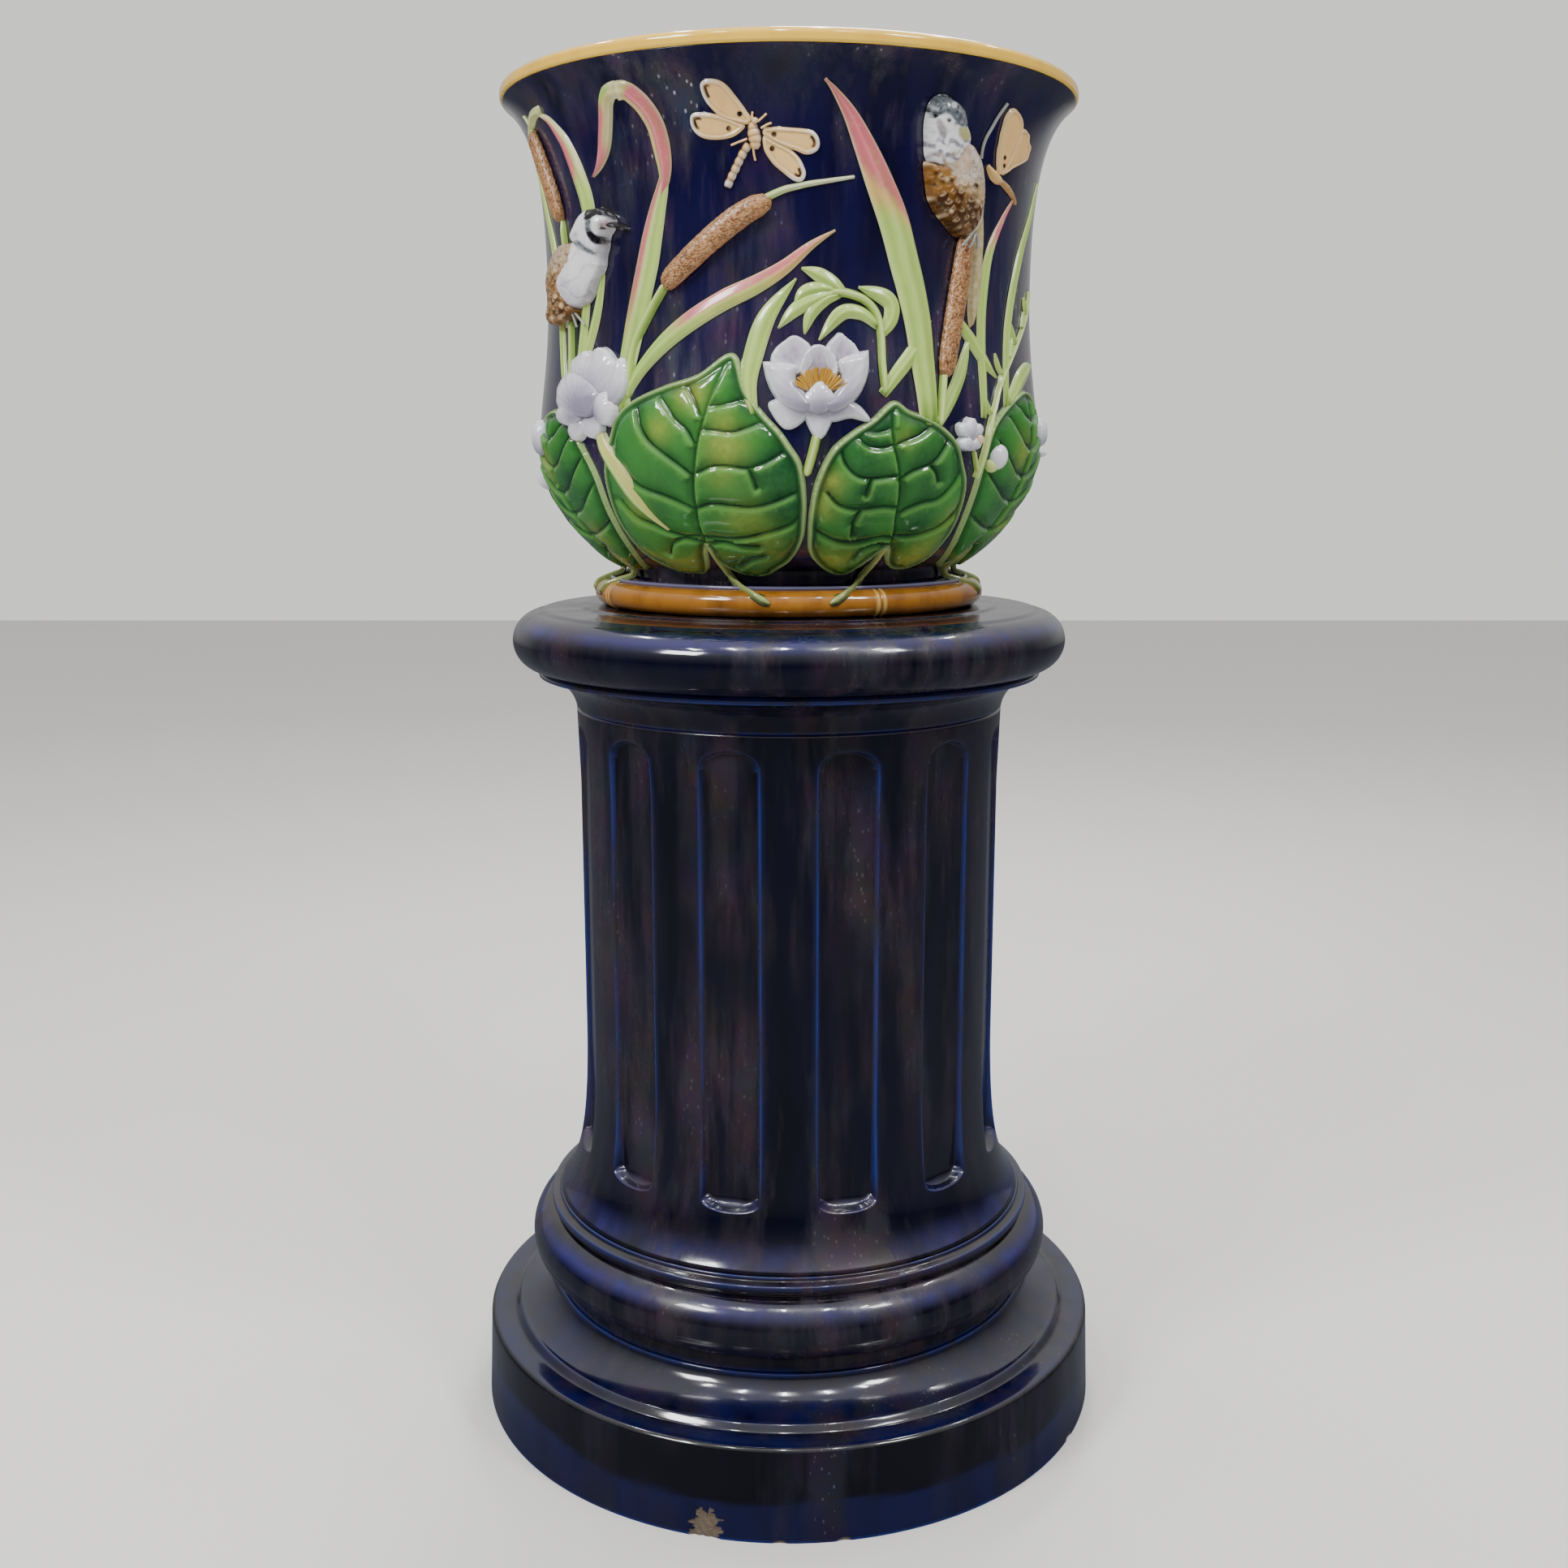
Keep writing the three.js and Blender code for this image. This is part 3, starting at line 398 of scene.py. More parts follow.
def turned_rings(outline, closed=True, angles=None):
    """Points and faces of an outline spun about the axis, at even angles or at the given ones."""
    if angles is None:
        angles = np.linspace(0, 2 * math.pi, TURN_STEPS, endpoint=False)
    steps, rows = len(angles), len(outline)
    radii = hand_turned(outline[:, :1], angles[None, :], outline[:, 1:])
    levels = np.repeat(outline[:, 1:], steps, 1)
    points = np.stack([radii * np.cos(angles), radii * np.sin(angles), levels], -1).reshape(-1, 3)
    faces = []
    for row in range(rows if closed else rows - 1):
        faces += band(row * steps, ((row + 1) % rows) * steps, steps)
    if not closed:
        faces += end_fans(len(points), len(points) + 1, 0, (rows - 1) * steps, steps)
        points = np.vstack([points, [0, 0, outline[0, 1]], [0, 0, outline[-1, 1]]])
    return points, faces


def ring_marks(line, closed=True):
    """The thin and pooled marks of every point of a turned piece, poles and all."""
    poles = [] if closed else [0, 0]
    marks = zip(("thin", "pool"), edge_marks(line, closed))
    return {title: np.append(np.repeat(values, TURN_STEPS), poles) for title, values in marks}


def turned(name, outline, body, node, material, ease=1.6, closed=True):
    """A turned piece: closed rings, or from pole to pole where the outline meets the axis."""
    line = eased(outline, ease, closed=closed)
    points, faces = turned_rings(line, closed)
    return finished(name, points, faces, body, node, [material], ring_marks(line, closed))


navy_glaze, navy_flow = glazed("navy_glaze", body=(0.0016, 0.0017, 0.0125), thin=(0.016, 0.030, 0.165),
    pooled=(0.0003, 0.0003, 0.0012), grain=16.0, streaks=0.75, pinholes=0.02, relief=0.22)
hazed_over(navy_glaze, navy_flow, (0.024, 0.016, 0.026), 1.0, 0.12)
# The glaze runs off the upper side of each roll, and is thinner and bluer there. The blue band
# on the upper slopes is also a painted sheen of the light from above.
node, work, blend, slope = tools_for(navy_glaze.node_tree)
leaning = node("ShaderNodeSeparateXYZ", {"Vector": node("ShaderNodeNewGeometry").outputs["Normal"]})
upper = slope(work("ABSOLUTE", work("SUBTRACT", leaning.outputs["Z"], 0.66)), -3.2, 1.0)
bluer = blend(upper, (0.0014, 0.0014, 0.0100, 1), (0.016, 0.016, 0.115, 1))
navy_glaze.node_tree.links.new(bluer, navy_flow.inputs["Body"])

plinth_shoulder = PLINTH_RADIUS - PLINTH_DRAFT - PLINTH_ARRIS
CHIP_LEVEL = 24.0
CHIP_TURN = -13.7
plinth_line = eased([*((PLINTH_RADIUS - PLINTH_DRAFT * level / 70, level)
    for level in np.arange(0, 29, 1.3)), *rolled(plinth_shoulder, PLINTH_HEIGHT - PLINTH_ARRIS,
    PLINTH_ARRIS, 0, 90, 6), (LEDGE_RADIUS, PLINTH_HEIGHT), (STEP_RADIUS, STEP_LEVEL),
    *swept((232, STEP_LEVEL), (223, 82.5), (209, 90), (204, 99)), (204, PLINTH_TOP),
    (THROAT_RADIUS - STAND_WALL, PLINTH_TOP), (THROAT_RADIUS - STAND_WALL, PLINTH_TOP - STAND_WALL),
    (plinth_shoulder - STAND_WALL, PLINTH_HEIGHT - STAND_WALL), (PLINTH_RADIUS - STAND_WALL, 0)])
about_the_chip = np.arange(-5, 5.01, 0.25) + CHIP_TURN - 90
plinth_angles = np.concatenate([np.linspace(-180, 180, 240, endpoint=False), about_the_chip])
plinth_angles = np.unique(np.round(plinth_angles, 2))
plinth_points, plinth_faces = turned_rings(plinth_line, True, np.radians(plinth_angles))
plinth_thin, plinth_pool = (np.repeat(marks, len(plinth_angles)) for marks in edge_marks(plinth_line))
turns, levels = np.tile(plinth_angles + 90, len(plinth_line)), plinth_points[:, 2]
outside = np.hypot(plinth_points[:, 0], plinth_points[:, 1]) > PLINTH_RADIUS - 6
# The upper coat ran down in a wavy edge.
around = np.radians(turns)
wave = 37 + 7 * np.sin(2 * around + 4.4) + 3 * np.sin(5 * around + 0.5) + 1.6 * np.sin(13 * around)
overrun = outside * np.clip((levels - wave) / 2.4 + 0.5, 0, 1)
chip_side = (turns - CHIP_TURN + 0.5 * np.sin(levels * 0.7) + 0.3 * np.sin(levels * 1.9)) / 2.7
chip_rise = (levels + 2.6 * np.sin(turns * 3.1) + 1.3 * np.sin(turns * 8.3)) / CHIP_LEVEL
chip = outside * np.clip((1 - chip_side**2 - np.clip(chip_rise, 0, 2) ** 3) * 2.2, 0, 1)
for nick_turn, nick_size in ((-2.1, 0.35), (9.2, 0.25), (148.0, 0.8), (-97.0, 0.5), (61.0, 0.4)):
    nick_gap = np.hypot((turns - nick_turn) * 4.6, levels - 0.5) / (9 * nick_size)
    chip = np.maximum(chip, outside * np.clip((1.15 - nick_gap) * 3, 0, 1))
rough = np.sin(turns * 9.7) * np.sin(levels * 1.1) + np.sin(turns * 4.3 + levels * 0.6)
plinth_points[:, :2] *= 1 - (chip * (1.5 + 0.35 * rough) / PLINTH_RADIUS)[:, None]

plinth_glaze, plinth_flow = glazed("plinth_navy_glaze", body=(0.0016, 0.0017, 0.0125),
    thin=(0.010, 0.028, 0.20), pooled=(0.0003, 0.0003, 0.0012), grain=14.0, streaks=0.6, pinholes=0.03,
    relief=0.14)
plinth_haze = hazed_over(plinth_glaze, plinth_flow, (0.016, 0.012, 0.022), 0.8, 0.12)
plinth_tree = plinth_glaze.node_tree
node, work, blend, slope = tools_for(plinth_tree)
plinth_shader = plinth_tree.nodes["Principled BSDF"].inputs
bare_clay = blend(noise(plinth_tree, 210.0, 4.0), (0.020, 0.014, 0.010, 1), (0.24, 0.185, 0.13, 1))
overrun_colour = blend(mark(plinth_tree, "overrun"), (0.0035, 0.0050, 0.0420, 1),
    (0.0006, 0.0006, 0.0035, 1))
chipped = slope(mark(plinth_tree, "chip"), 3.0, -0.6)
for value, socket in ((overrun_colour, plinth_flow.inputs["Body"]),
    (blend(chipped, plinth_haze["Color"], bare_clay), plinth_shader["Base Color"]),
    (work("MULTIPLY_ADD", chipped, 0.7, 0.12), plinth_shader["Roughness"]),
    (work("MULTIPLY_ADD", chipped, -0.6, 0.6), plinth_shader["Coat Weight"])):
    plinth_tree.links.new(value, socket)
plinth_marks = {"thin": plinth_thin * (1 - overrun) * (1 - chip), "pool": plinth_pool, "overrun": overrun,
    "chip": chip}
finished("plinth_drum", plinth_points, plinth_faces, "stand", "stand_plinth", [plinth_glaze],
    plinth_marks)

# ---- The base roll ----
# A fat round moulding between two throats, with a fillet and the collar that the shaft
# stands on. The joint to the plinth is luted and glazed over.
BASE_ROLL_CENTRE = 196.5
BASE_ROLL_LEVEL = 142.0
BASE_ROLL_RADIUS = 26.0
BASE_ROLL_TOP = 180.7
FILLET_RADIUS = 206.0
COLLAR_RADIUS = 199.0
LUTING = 0.3

throat_tilt = math.degrees(math.acos((THROAT_RADIUS - BASE_ROLL_CENTRE) / BASE_ROLL_RADIUS))
turned("base_roll", [(THROAT_RADIUS, PLINTH_TOP + LUTING), *rolled(BASE_ROLL_CENTRE, BASE_ROLL_LEVEL,
    BASE_ROLL_RADIUS, -throat_tilt, throat_tilt), (FILLET_RADIUS, 171.0), (FILLET_RADIUS, 176.0),
    (COLLAR_RADIUS, 177.5), (COLLAR_RADIUS, BASE_ROLL_TOP), (COLLAR_RADIUS - STAND_WALL, BASE_ROLL_TOP),
    (THROAT_RADIUS - STAND_WALL, PLINTH_TOP + LUTING)], "stand", "stand_base_roll",
    navy_glaze)

# ---- The fluted shaft ----
# A hollow column, pressed in a mould, with twelve flat-floored flutes. Each has an arched
# head and a scooped foot where the shaft spreads to meet the base roll.
SHAFT_RADIUS = 173.0
SHAFT_FOOT = BASE_ROLL_TOP + LUTING
SHAFT_TOP = 595.7
FOOT_SPREAD = 25.0
FOOT_RISE = 129.0
FLUTES = 12
FLUTE_WIDTH = 46.5
FLUTE_DEPTH = 2.5
FLUTE_ARCH = 15.0
FLUTE_FOOT = SHAFT_FOOT + 41.0
FLUTE_HEAD = SHAFT_TOP - 13.0
FLUTE_SCOOP = 11.0

spread = ((1, 0), (0.45, 0.12), (0.05, 0.3), (0, 1))
foot_pulls = [(SHAFT_RADIUS + out * FOOT_SPREAD, SHAFT_FOOT + up * FOOT_RISE) for out, up in spread]
foot_curve = swept(*foot_pulls, steps=60) + [(SHAFT_RADIUS, SHAFT_TOP - 60.0),
    (SHAFT_RADIUS + 2.0, SHAFT_TOP)]
foot_curve = np.array(foot_curve)
half_flute = FLUTE_WIDTH / 2
across = [np.linspace(-45.3, -25.2, 7), np.linspace(-24.6, -20.4, 9), np.linspace(-19.4, 0, 13)]
across = np.concatenate(across)
across = np.concatenate([across, -across[-2::-1]])
level_runs = ((SHAFT_FOOT, FLUTE_FOOT - 3, 14), (FLUTE_FOOT - 2, FLUTE_FOOT + 22, 28),
    (FLUTE_FOOT + 26, FLUTE_HEAD - 22, 44), (FLUTE_HEAD - 18, FLUTE_HEAD + 2.5, 26),
    (FLUTE_HEAD + 4, SHAFT_TOP, 4))
levels = np.concatenate([np.linspace(*run) for run in level_runs])
panel_angle, panel_level = np.meshgrid(across / SHAFT_RADIUS, levels, indexing="xy")
panel_angle = panel_angle * (math.pi / FLUTES) / panel_angle.max()
wall = np.interp(panel_level, foot_curve[:, 1], foot_curve[:, 0])
side = wall * np.sin(panel_angle)
# How far each place is inside the flute's edge, in millimetres.
over_head = np.clip(panel_level - FLUTE_HEAD + FLUTE_ARCH, 0, None) / FLUTE_ARCH
under_foot = np.clip(FLUTE_FOOT + 8 - panel_level, 0, None) / 8
inside = (1 - np.hypot(side / half_flute, over_head)) * FLUTE_ARCH
inside = np.minimum(inside, (1 - np.hypot(side / half_flute, under_foot)) * 8)
inside = np.minimum(inside, half_flute - np.abs(side))
straight = (panel_level < FLUTE_HEAD - FLUTE_ARCH) & (panel_level > FLUTE_FOOT + 8)
inside = np.where(straight, half_flute - np.abs(side), inside)
flat_floor = SHAFT_RADIUS * math.cos(math.asin(half_flute / SHAFT_RADIUS)) - FLUTE_DEPTH
scoop = np.clip((panel_level - FLUTE_FOOT) / FLUTE_SCOOP, 0, 1)
flute_cut = np.clip(wall - flat_floor / np.cos(panel_angle), 0, None) * np.sqrt(1 - (1 - scoop) ** 2)
edge = np.clip((inside + 0.6) / 2.4, 0, 1)
outer = wall - flute_cut * edge * edge * (3 - 2 * edge)
bore_levels = np.linspace(SHAFT_TOP, SHAFT_FOOT, 30)
bore = np.interp(bore_levels, [SHAFT_FOOT, SHAFT_FOOT + 0.3 * FOOT_RISE, SHAFT_TOP],
    np.array([SHAFT_RADIUS + FOOT_SPREAD, SHAFT_RADIUS, SHAFT_RADIUS]) - STAND_WALL)
columns = len(across)
panel_radii = np.vstack([outer, np.repeat(bore[:, None], columns, 1)])
panel_levels = np.vstack([panel_level, np.repeat(bore_levels[:, None], columns, 1)])
rows = len(panel_radii)
turn = np.repeat(panel_angle[:1], rows, 0) - math.pi / 2
panel_points = np.stack([panel_radii * np.cos(turn), panel_radii * np.sin(turn), panel_levels], -1)
panel_faces = []
for row in range(rows):
    low, high = row * columns, ((row + 1) % rows) * columns
    panel_faces.extend((low + k, low + k + 1, high + k + 1, high + k) for k in range(columns - 1))
upright = np.clip((panel_level - FLUTE_FOOT) / 25, 0, 1) * np.clip((FLUTE_HEAD - 6 - panel_level) / 14,
    0.25, 1)
arris = 0.95 * np.exp(-(((inside + 0.1) / 1.35) ** 2)) * (flute_cut > 0.5) * upright
pooling = 0.55 * np.exp(-(((inside - 3.4) / 2.0) ** 2)) * (flute_cut > 0.5)
pooling = np.clip(pooling + 0.5 * np.exp(-(((panel_level - SHAFT_FOOT) / 9) ** 2)), 0, 1)
hidden = np.zeros((len(bore_levels), columns))
panel_marks = {"thin": np.vstack([arris, hidden]).ravel(), "pool": np.vstack([pooling, hidden]).ravel()}
flute_panel = in_scene("flute_panel", meshed("fluted_shaft", panel_points.reshape(-1, 3), panel_faces,
    panel_marks))

# One flute's panel of the wall is set round the axis twelve times and joined up.
round_the_axis, given, made, (node, work, blend, slope) = new_group("round_the_axis", "GeometryNodeTree",
    {"Pattern": "Geometry", "Count": "Int", "First turn": "Float", "Glaze": "Material"},
    {"Ring": "Geometry"})
places = node("GeometryNodeMeshLine", {"Count": given["Count"], "Offset": (0, 0, 0)}).outputs[0]
step_turn = work("DIVIDE", 2 * math.pi, given["Count"])
own_turn = work("MULTIPLY_ADD", node("GeometryNodeInputIndex").outputs[0], step_turn, given["First turn"])
facing = node("ShaderNodeCombineXYZ", {"Z": own_turn}).outputs[0]
copies = {"Points": places, "Instance": given["Pattern"], "Rotation": facing}
copies = node("GeometryNodeInstanceOnPoints", copies).outputs[0]
copies = node("GeometryNodeRealizeInstances", {"Geometry": copies}).outputs[0]
joined = node("GeometryNodeMergeByDistance", {"Geometry": copies, "Distance": 0.00002}).outputs[0]
joined = node("GeometryNodeSetMaterial", {"Geometry": joined, "Material": given["Glaze"]}).outputs[0]
round_the_axis.links.new(joined, made[0])


def made_by(group, pattern, name, settings):
    """What a Geometry Nodes group makes of a pattern, as a plain mesh object of its own."""
    modifier = pattern.modifiers.new(group.name, "NODES")
    modifier.node_group = group
    for title, value in settings.items():
        modifier[group.interface.items_tree[title].identifier] = value
    evaluated = pattern.evaluated_get(bpy.context.evaluated_depsgraph_get())
    mesh = bpy.data.meshes.new_from_object(evaluated)
    mesh.name = name
    mesh.polygons.foreach_set("use_smooth", [True] * len(mesh.polygons))
    pattern.modifiers.remove(modifier)
    bpy.data.objects.remove(pattern)
    return in_scene(name, mesh)


set_round = {"Count": FLUTES, "First turn": math.pi / FLUTES, "Glaze": navy_glaze}
shaft = made_by(round_the_axis, flute_panel, "fluted_shaft", set_round)
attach(shaft, "stand")
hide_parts("stand_shaft")

# ---- The capital ----
# A hollow moulding that spreads from the shaft's head to a square-edged fillet.
CAPITAL_TOP = 627.7
CAPITAL_RISE = 25.0
CAVETTO_RADIUS = 200.0
CAP_FILLET_RADIUS = 205.0

turned("capital", [*swept((SHAFT_RADIUS + 2, SHAFT_TOP + LUTING), (SHAFT_RADIUS + 4, SHAFT_TOP + LUTING
    + 0.55 * CAPITAL_RISE), (CAVETTO_RADIUS - 12.5, SHAFT_TOP + 0.96 * CAPITAL_RISE),
    (CAVETTO_RADIUS, SHAFT_TOP + CAPITAL_RISE)), (CAP_FILLET_RADIUS, SHAFT_TOP + CAPITAL_RISE + 1.5),
    (CAP_FILLET_RADIUS, CAPITAL_TOP - 3), (CAP_FILLET_RADIUS - 3, CAPITAL_TOP),
    (CAP_FILLET_RADIUS - 17, CAPITAL_TOP), (SHAFT_RADIUS + 2 - STAND_WALL, SHAFT_TOP + LUTING)], "stand",
    "stand_capital", navy_glaze, ease=1.2)

# ---- The stand's top ----
# A heavy roll round a closed deck. A low seat on it carries the pot's cane foot.
TOP_ROLL_CENTRE = 202.0
TOP_ROLL_LEVEL = 650.7
TOP_ROLL_RADIUS = 23.0
SEAT_LEVEL = 678.7
SEAT_RADIUS = 168.0
SEAT_RISE = 3.0
DECK_UNDERSIDE = 664.7

turned("stand_top", [(4, DECK_UNDERSIDE), (TOP_ROLL_CENTRE - 18, DECK_UNDERSIDE), (TOP_ROLL_CENTRE
    - STAND_WALL, CAPITAL_TOP + LUTING), (TOP_ROLL_CENTRE, CAPITAL_TOP + LUTING), *rolled(TOP_ROLL_CENTRE,
    TOP_ROLL_LEVEL, TOP_ROLL_RADIUS, -80, 84), (TOP_ROLL_CENTRE - 2, SEAT_LEVEL - SEAT_RISE),
    (SEAT_RADIUS + SEAT_RISE, SEAT_LEVEL - SEAT_RISE + 1), (SEAT_RADIUS, SEAT_LEVEL), (4, SEAT_LEVEL)],
    "stand", "stand_top", navy_glaze, closed=False)

# ---- The cane foot ----
# The pot stands on a ring moulded as a bent cane, with a double raised joint at each quarter
# of the way round, in an amber glaze over brown. A thin lilac bead lies along its top.
FOOT_FLOOR = 679.0
FOOT_TOP = 699.0
CANE_CENTRE = 147.5
CANE_LEVEL = 689.0
CANE_RADIUS = 10.0
FOOT_BORE = 118.0
CANE_JOINTS = 4
FIRST_JOINT = math.radians(26)
BEAD_RADIUS = 144.2

cane_glaze, _ = glazed("cane_amber_glaze", body=(0.46, 0.185, 0.023), thin=(0.72, 0.44, 0.120),
    pooled=(0.085, 0.022, 0.004), grain=70.0, streaks=0.7, pinholes=0.25, relief=0.2)
turned("cane_foot", [(FOOT_BORE, FOOT_FLOOR), (CANE_CENTRE, FOOT_FLOOR), *rolled(CANE_CENTRE, CANE_LEVEL,
    CANE_RADIUS, -78, 78, 20), (CANE_CENTRE, FOOT_TOP), (FOOT_BORE, FOOT_TOP)], "jardiniere", "cane_foot",
    cane_glaze, ease=1.0)


def tube_faces(rows, columns):
    """Faces of a tube whose rows are closed loops, with both its ends filled."""
    faces = []
    for row in range(rows - 1):
        faces += band(row * columns, (row + 1) * columns, columns)
    return faces + [tuple(reversed(range(columns))), tuple(range((rows - 1) * columns, rows * columns))]


joint_degrees = np.linspace(-3.0, 3.0, 25)
joint_swell = 1.1 * np.exp(-((joint_degrees - 1.0) / 0.55) ** 2)
joint_swell = joint_swell + 1.1 * np.exp(-((joint_degrees + 1.0) / 0.55) ** 2)
section = np.radians(np.linspace(-84, 84, 19))
joint_reach = (CANE_RADIUS - 0.15 + joint_swell)[:, None]
# Each row is one section of the cane's skin, closed through the cane's middle.
joint_radii = CANE_CENTRE + np.hstack([joint_reach * np.cos(section), 0 * joint_reach])
joint_levels = CANE_LEVEL + np.hstack([joint_reach * np.sin(section) * 0.97, 0 * joint_reach])
turn = np.radians(joint_degrees)[:, None] - math.pi / 2
joint_points = np.stack([joint_radii * np.cos(turn), joint_radii * np.sin(turn), joint_levels], -1)
joint_faces = [tuple(reversed(face)) for face in tube_faces(*joint_radii.shape)]
joint_pool = np.clip(1 - 6 * joint_swell, 0, 1) * (np.abs(joint_degrees) < 1.6)
joint_marks = {"thin": np.clip(joint_swell, 0, 1), "pool": joint_pool}
joint_marks = {title: np.repeat(values, len(section) + 1) for title, values in joint_marks.items()}
cane_joint = in_scene("cane_joint", meshed("cane_joint", joint_points.reshape(-1, 3), joint_faces,
    joint_marks))
set_round = {"Count": CANE_JOINTS, "First turn": FIRST_JOINT, "Glaze": cane_glaze}
cane_joints = made_by(round_the_axis, cane_joint, "cane_joints", set_round)
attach(cane_joints, "jardiniere")

bead_glaze, _ = glazed("bead_lilac_glaze", body=(0.050, 0.050, 0.135), thin=(0.17, 0.17, 0.30),
    pooled=(0.006, 0.006, 0.03), streaks=0.7)
bead_line = rolled(BEAD_RADIUS, FOOT_TOP + 1.2, 1.5, 0, 345, 23)
turned("neck_bead", bead_line, "jardiniere", None, bead_glaze)

# ---- The pot's body ----
# A thrown bowl with a round belly, a slight waist and a flared mouth. Outside it has the
# stand's navy glaze with a violet haze; inside it is a pale turquoise.
NECK_RADIUS = 131.0
NECK_TOP = 712.0
BELLY_RADIUS = 198.0
BELLY_LEVEL = 812.0
WAIST_RADIUS = 189.5
WAIST_LEVEL = 920.0
LIP_RADIUS = 222.4
FLARE_RADIUS = 221.0
LIP_FOOT = 1060.0
LIP_TOP = 1070.0
MOUTH_RADIUS = 208.4

BOWL_FLOOR = 712.0

pot_navy, pot_flow = glazed("pot_navy_glaze", body=(0.0062, 0.0045, 0.050), thin=(0.012, 0.012, 0.10),
    pooled=(0.0008, 0.0006, 0.0045), grain=20.0, streaks=0.8, pinholes=0.05, relief=0.2)
inner_glaze, _ = glazed("inner_turquoise_glaze", body=(0.22, 0.50, 0.47), thin=(0.50, 0.66, 0.60),
    pooled=(0.08, 0.33, 0.33), grain=30.0)

hazed_over(pot_navy, pot_flow, (0.050, 0.038, 0.062), 0.9, 1.0)
# Under the lip the glaze greys towards charcoal in a ragged band: a painted reflection.
pot_tree = pot_navy.node_tree
node, work, blend, slope = tools_for(pot_tree)
everywhere = node("ShaderNodeTexCoord").outputs["Object"]
pot_height = node("ShaderNodeSeparateXYZ", {"Vector": everywhere}).outputs["Z"]
upward = work("MULTIPLY_ADD", pot_height, 14.0, -15.2)
painted_reflection_band = work("MULTIPLY_ADD", noise(pot_tree, 14.0, 3.0), 1.4, upward, clamp=True)
greyed = blend(painted_reflection_band, (0.0048, 0.0036, 0.040, 1), (0.0150, 0.0125, 0.026, 1))
pot_tree.links.new(greyed, pot_flow.inputs["Body"])

pot_side = (swept((NECK_RADIUS, NECK_TOP), (149.8, 716), (BELLY_RADIUS, 765), (BELLY_RADIUS, BELLY_LEVEL),
    steps=40) + swept((BELLY_RADIUS, BELLY_LEVEL), (BELLY_RADIUS, 835.8), (WAIST_RADIUS, 870.3),
    (WAIST_RADIUS, WAIST_LEVEL), steps=24)[1:] + swept((WAIST_RADIUS, WAIST_LEVEL), (WAIST_RADIUS, 999.8),
    (197.1, 1041.8), (FLARE_RADIUS, LIP_FOOT), steps=40)[1:])
bowl_side = ([(MOUTH_RADIUS, LIP_FOOT)] + swept((MOUTH_RADIUS - 1, 1056), (183.8, 1039), (180, 997),
    (180, WAIST_LEVEL), steps=24) + swept((188.5, BELLY_LEVEL), (188.5, 765), (149.8, 723.4), (123, 721.5),
    steps=24))
pot_outline = [(4, FOOT_TOP + LUTING), (NECK_RADIUS, FOOT_TOP + LUTING)]
pot_outline += pot_side + bowl_side + [(NECK_RADIUS - 25, BOWL_FLOOR), (4, BOWL_FLOOR)]
pot_line = eased(pot_outline, 1.2, closed=False)
pot_points, pot_faces = turned_rings(pot_line, closed=False)
pot_marks = ring_marks(pot_line, closed=False)
pot_marks["thin"] *= pot_points[:, 2] < LIP_FOOT - 12
mouth_row = int(np.argmax(pot_line[:, 1] + 0.01 * pot_line[:, 0]))
inner_faces = [int(row // TURN_STEPS > mouth_row) for row in range(len(pot_faces) - 2 * TURN_STEPS)]
inner_faces += [end % 2 for end in range(2 * TURN_STEPS)]
finished("pot_body", pot_points, pot_faces, "jardiniere", "pot_body", [pot_navy, inner_glaze],
    pot_marks, inner_faces)

# ---- The pot's lip ----
# A rounded band of ochre yellow glaze that ends in a slightly wavy line inside the mouth.
lip_glaze, _ = glazed("lip_yellow_glaze", body=(0.90, 0.54, 0.050), thin=(0.90, 0.63, 0.14),
    pooled=(0.50, 0.19, 0.008), grain=55.0, pinholes=0.15, relief=0.2)
turned("pot_lip", [(FLARE_RADIUS, LIP_FOOT + LUTING), (LIP_RADIUS, LIP_FOOT + 1.6),
    (LIP_RADIUS, LIP_TOP - 3), (LIP_RADIUS - 3, LIP_TOP), (MOUTH_RADIUS + 3, LIP_TOP),
    (MOUTH_RADIUS, LIP_TOP - 4), (MOUTH_RADIUS, LIP_FOOT + LUTING)], "jardiniere", "pot_lip",
    lip_glaze, ease=2.6)

# ---- The lily pads ----
# Five pads a side, each pressed in a mould and stuck on with slip. A pad has a pale rolled
# rim, sunk veins with swelling cells between them, and a root stalk that runs over the foot.
MM_PER_DEGREE = 3.35
side_curve = np.array([(NECK_RADIUS, FOOT_TOP), *pot_side])
side_walk = np.append(0, np.cumsum(np.hypot(*np.diff(side_curve, axis=0).T)))


def side_radius(level):
    return np.interp(level, side_curve[:, 1], side_curve[:, 0])


def laid_on_side(degrees, drawn, proud=0.0):
    """Places on the pot's side, standing proud of it along its normal."""
    level = FOOT_TOP + np.asarray(drawn, float)
    lean = np.arctan((side_radius(level + 2) - side_radius(level - 2)) / 4)
    radius = side_radius(level) + proud * np.cos(lean)
    angle = np.radians(degrees)
    return np.stack([radius * np.sin(angle), -radius * np.cos(angle), level - proud * np.sin(lean)], -1)


def flattened(places):
    """Places as millimetres across and along the pot's side, peeled off and laid flat."""
    places = np.asarray(places, float)
    walk = np.interp(places[:, 1] + FOOT_TOP, side_curve[:, 1], side_walk)
    return np.stack([places[:, 0] * MM_PER_DEGREE, walk], -1)


def as_seen(places, proud):
    """Places sighted from the front on a part that stands proud, moved to lie under it."""
    places = np.asarray(places, float)
    radius = side_radius(places[:, 1] + FOOT_TOP)
    shown = np.sin(np.radians(places[:, 0])) * radius / (radius + proud)
    return np.stack([np.degrees(np.arcsin(shown)), places[:, 1]], -1)


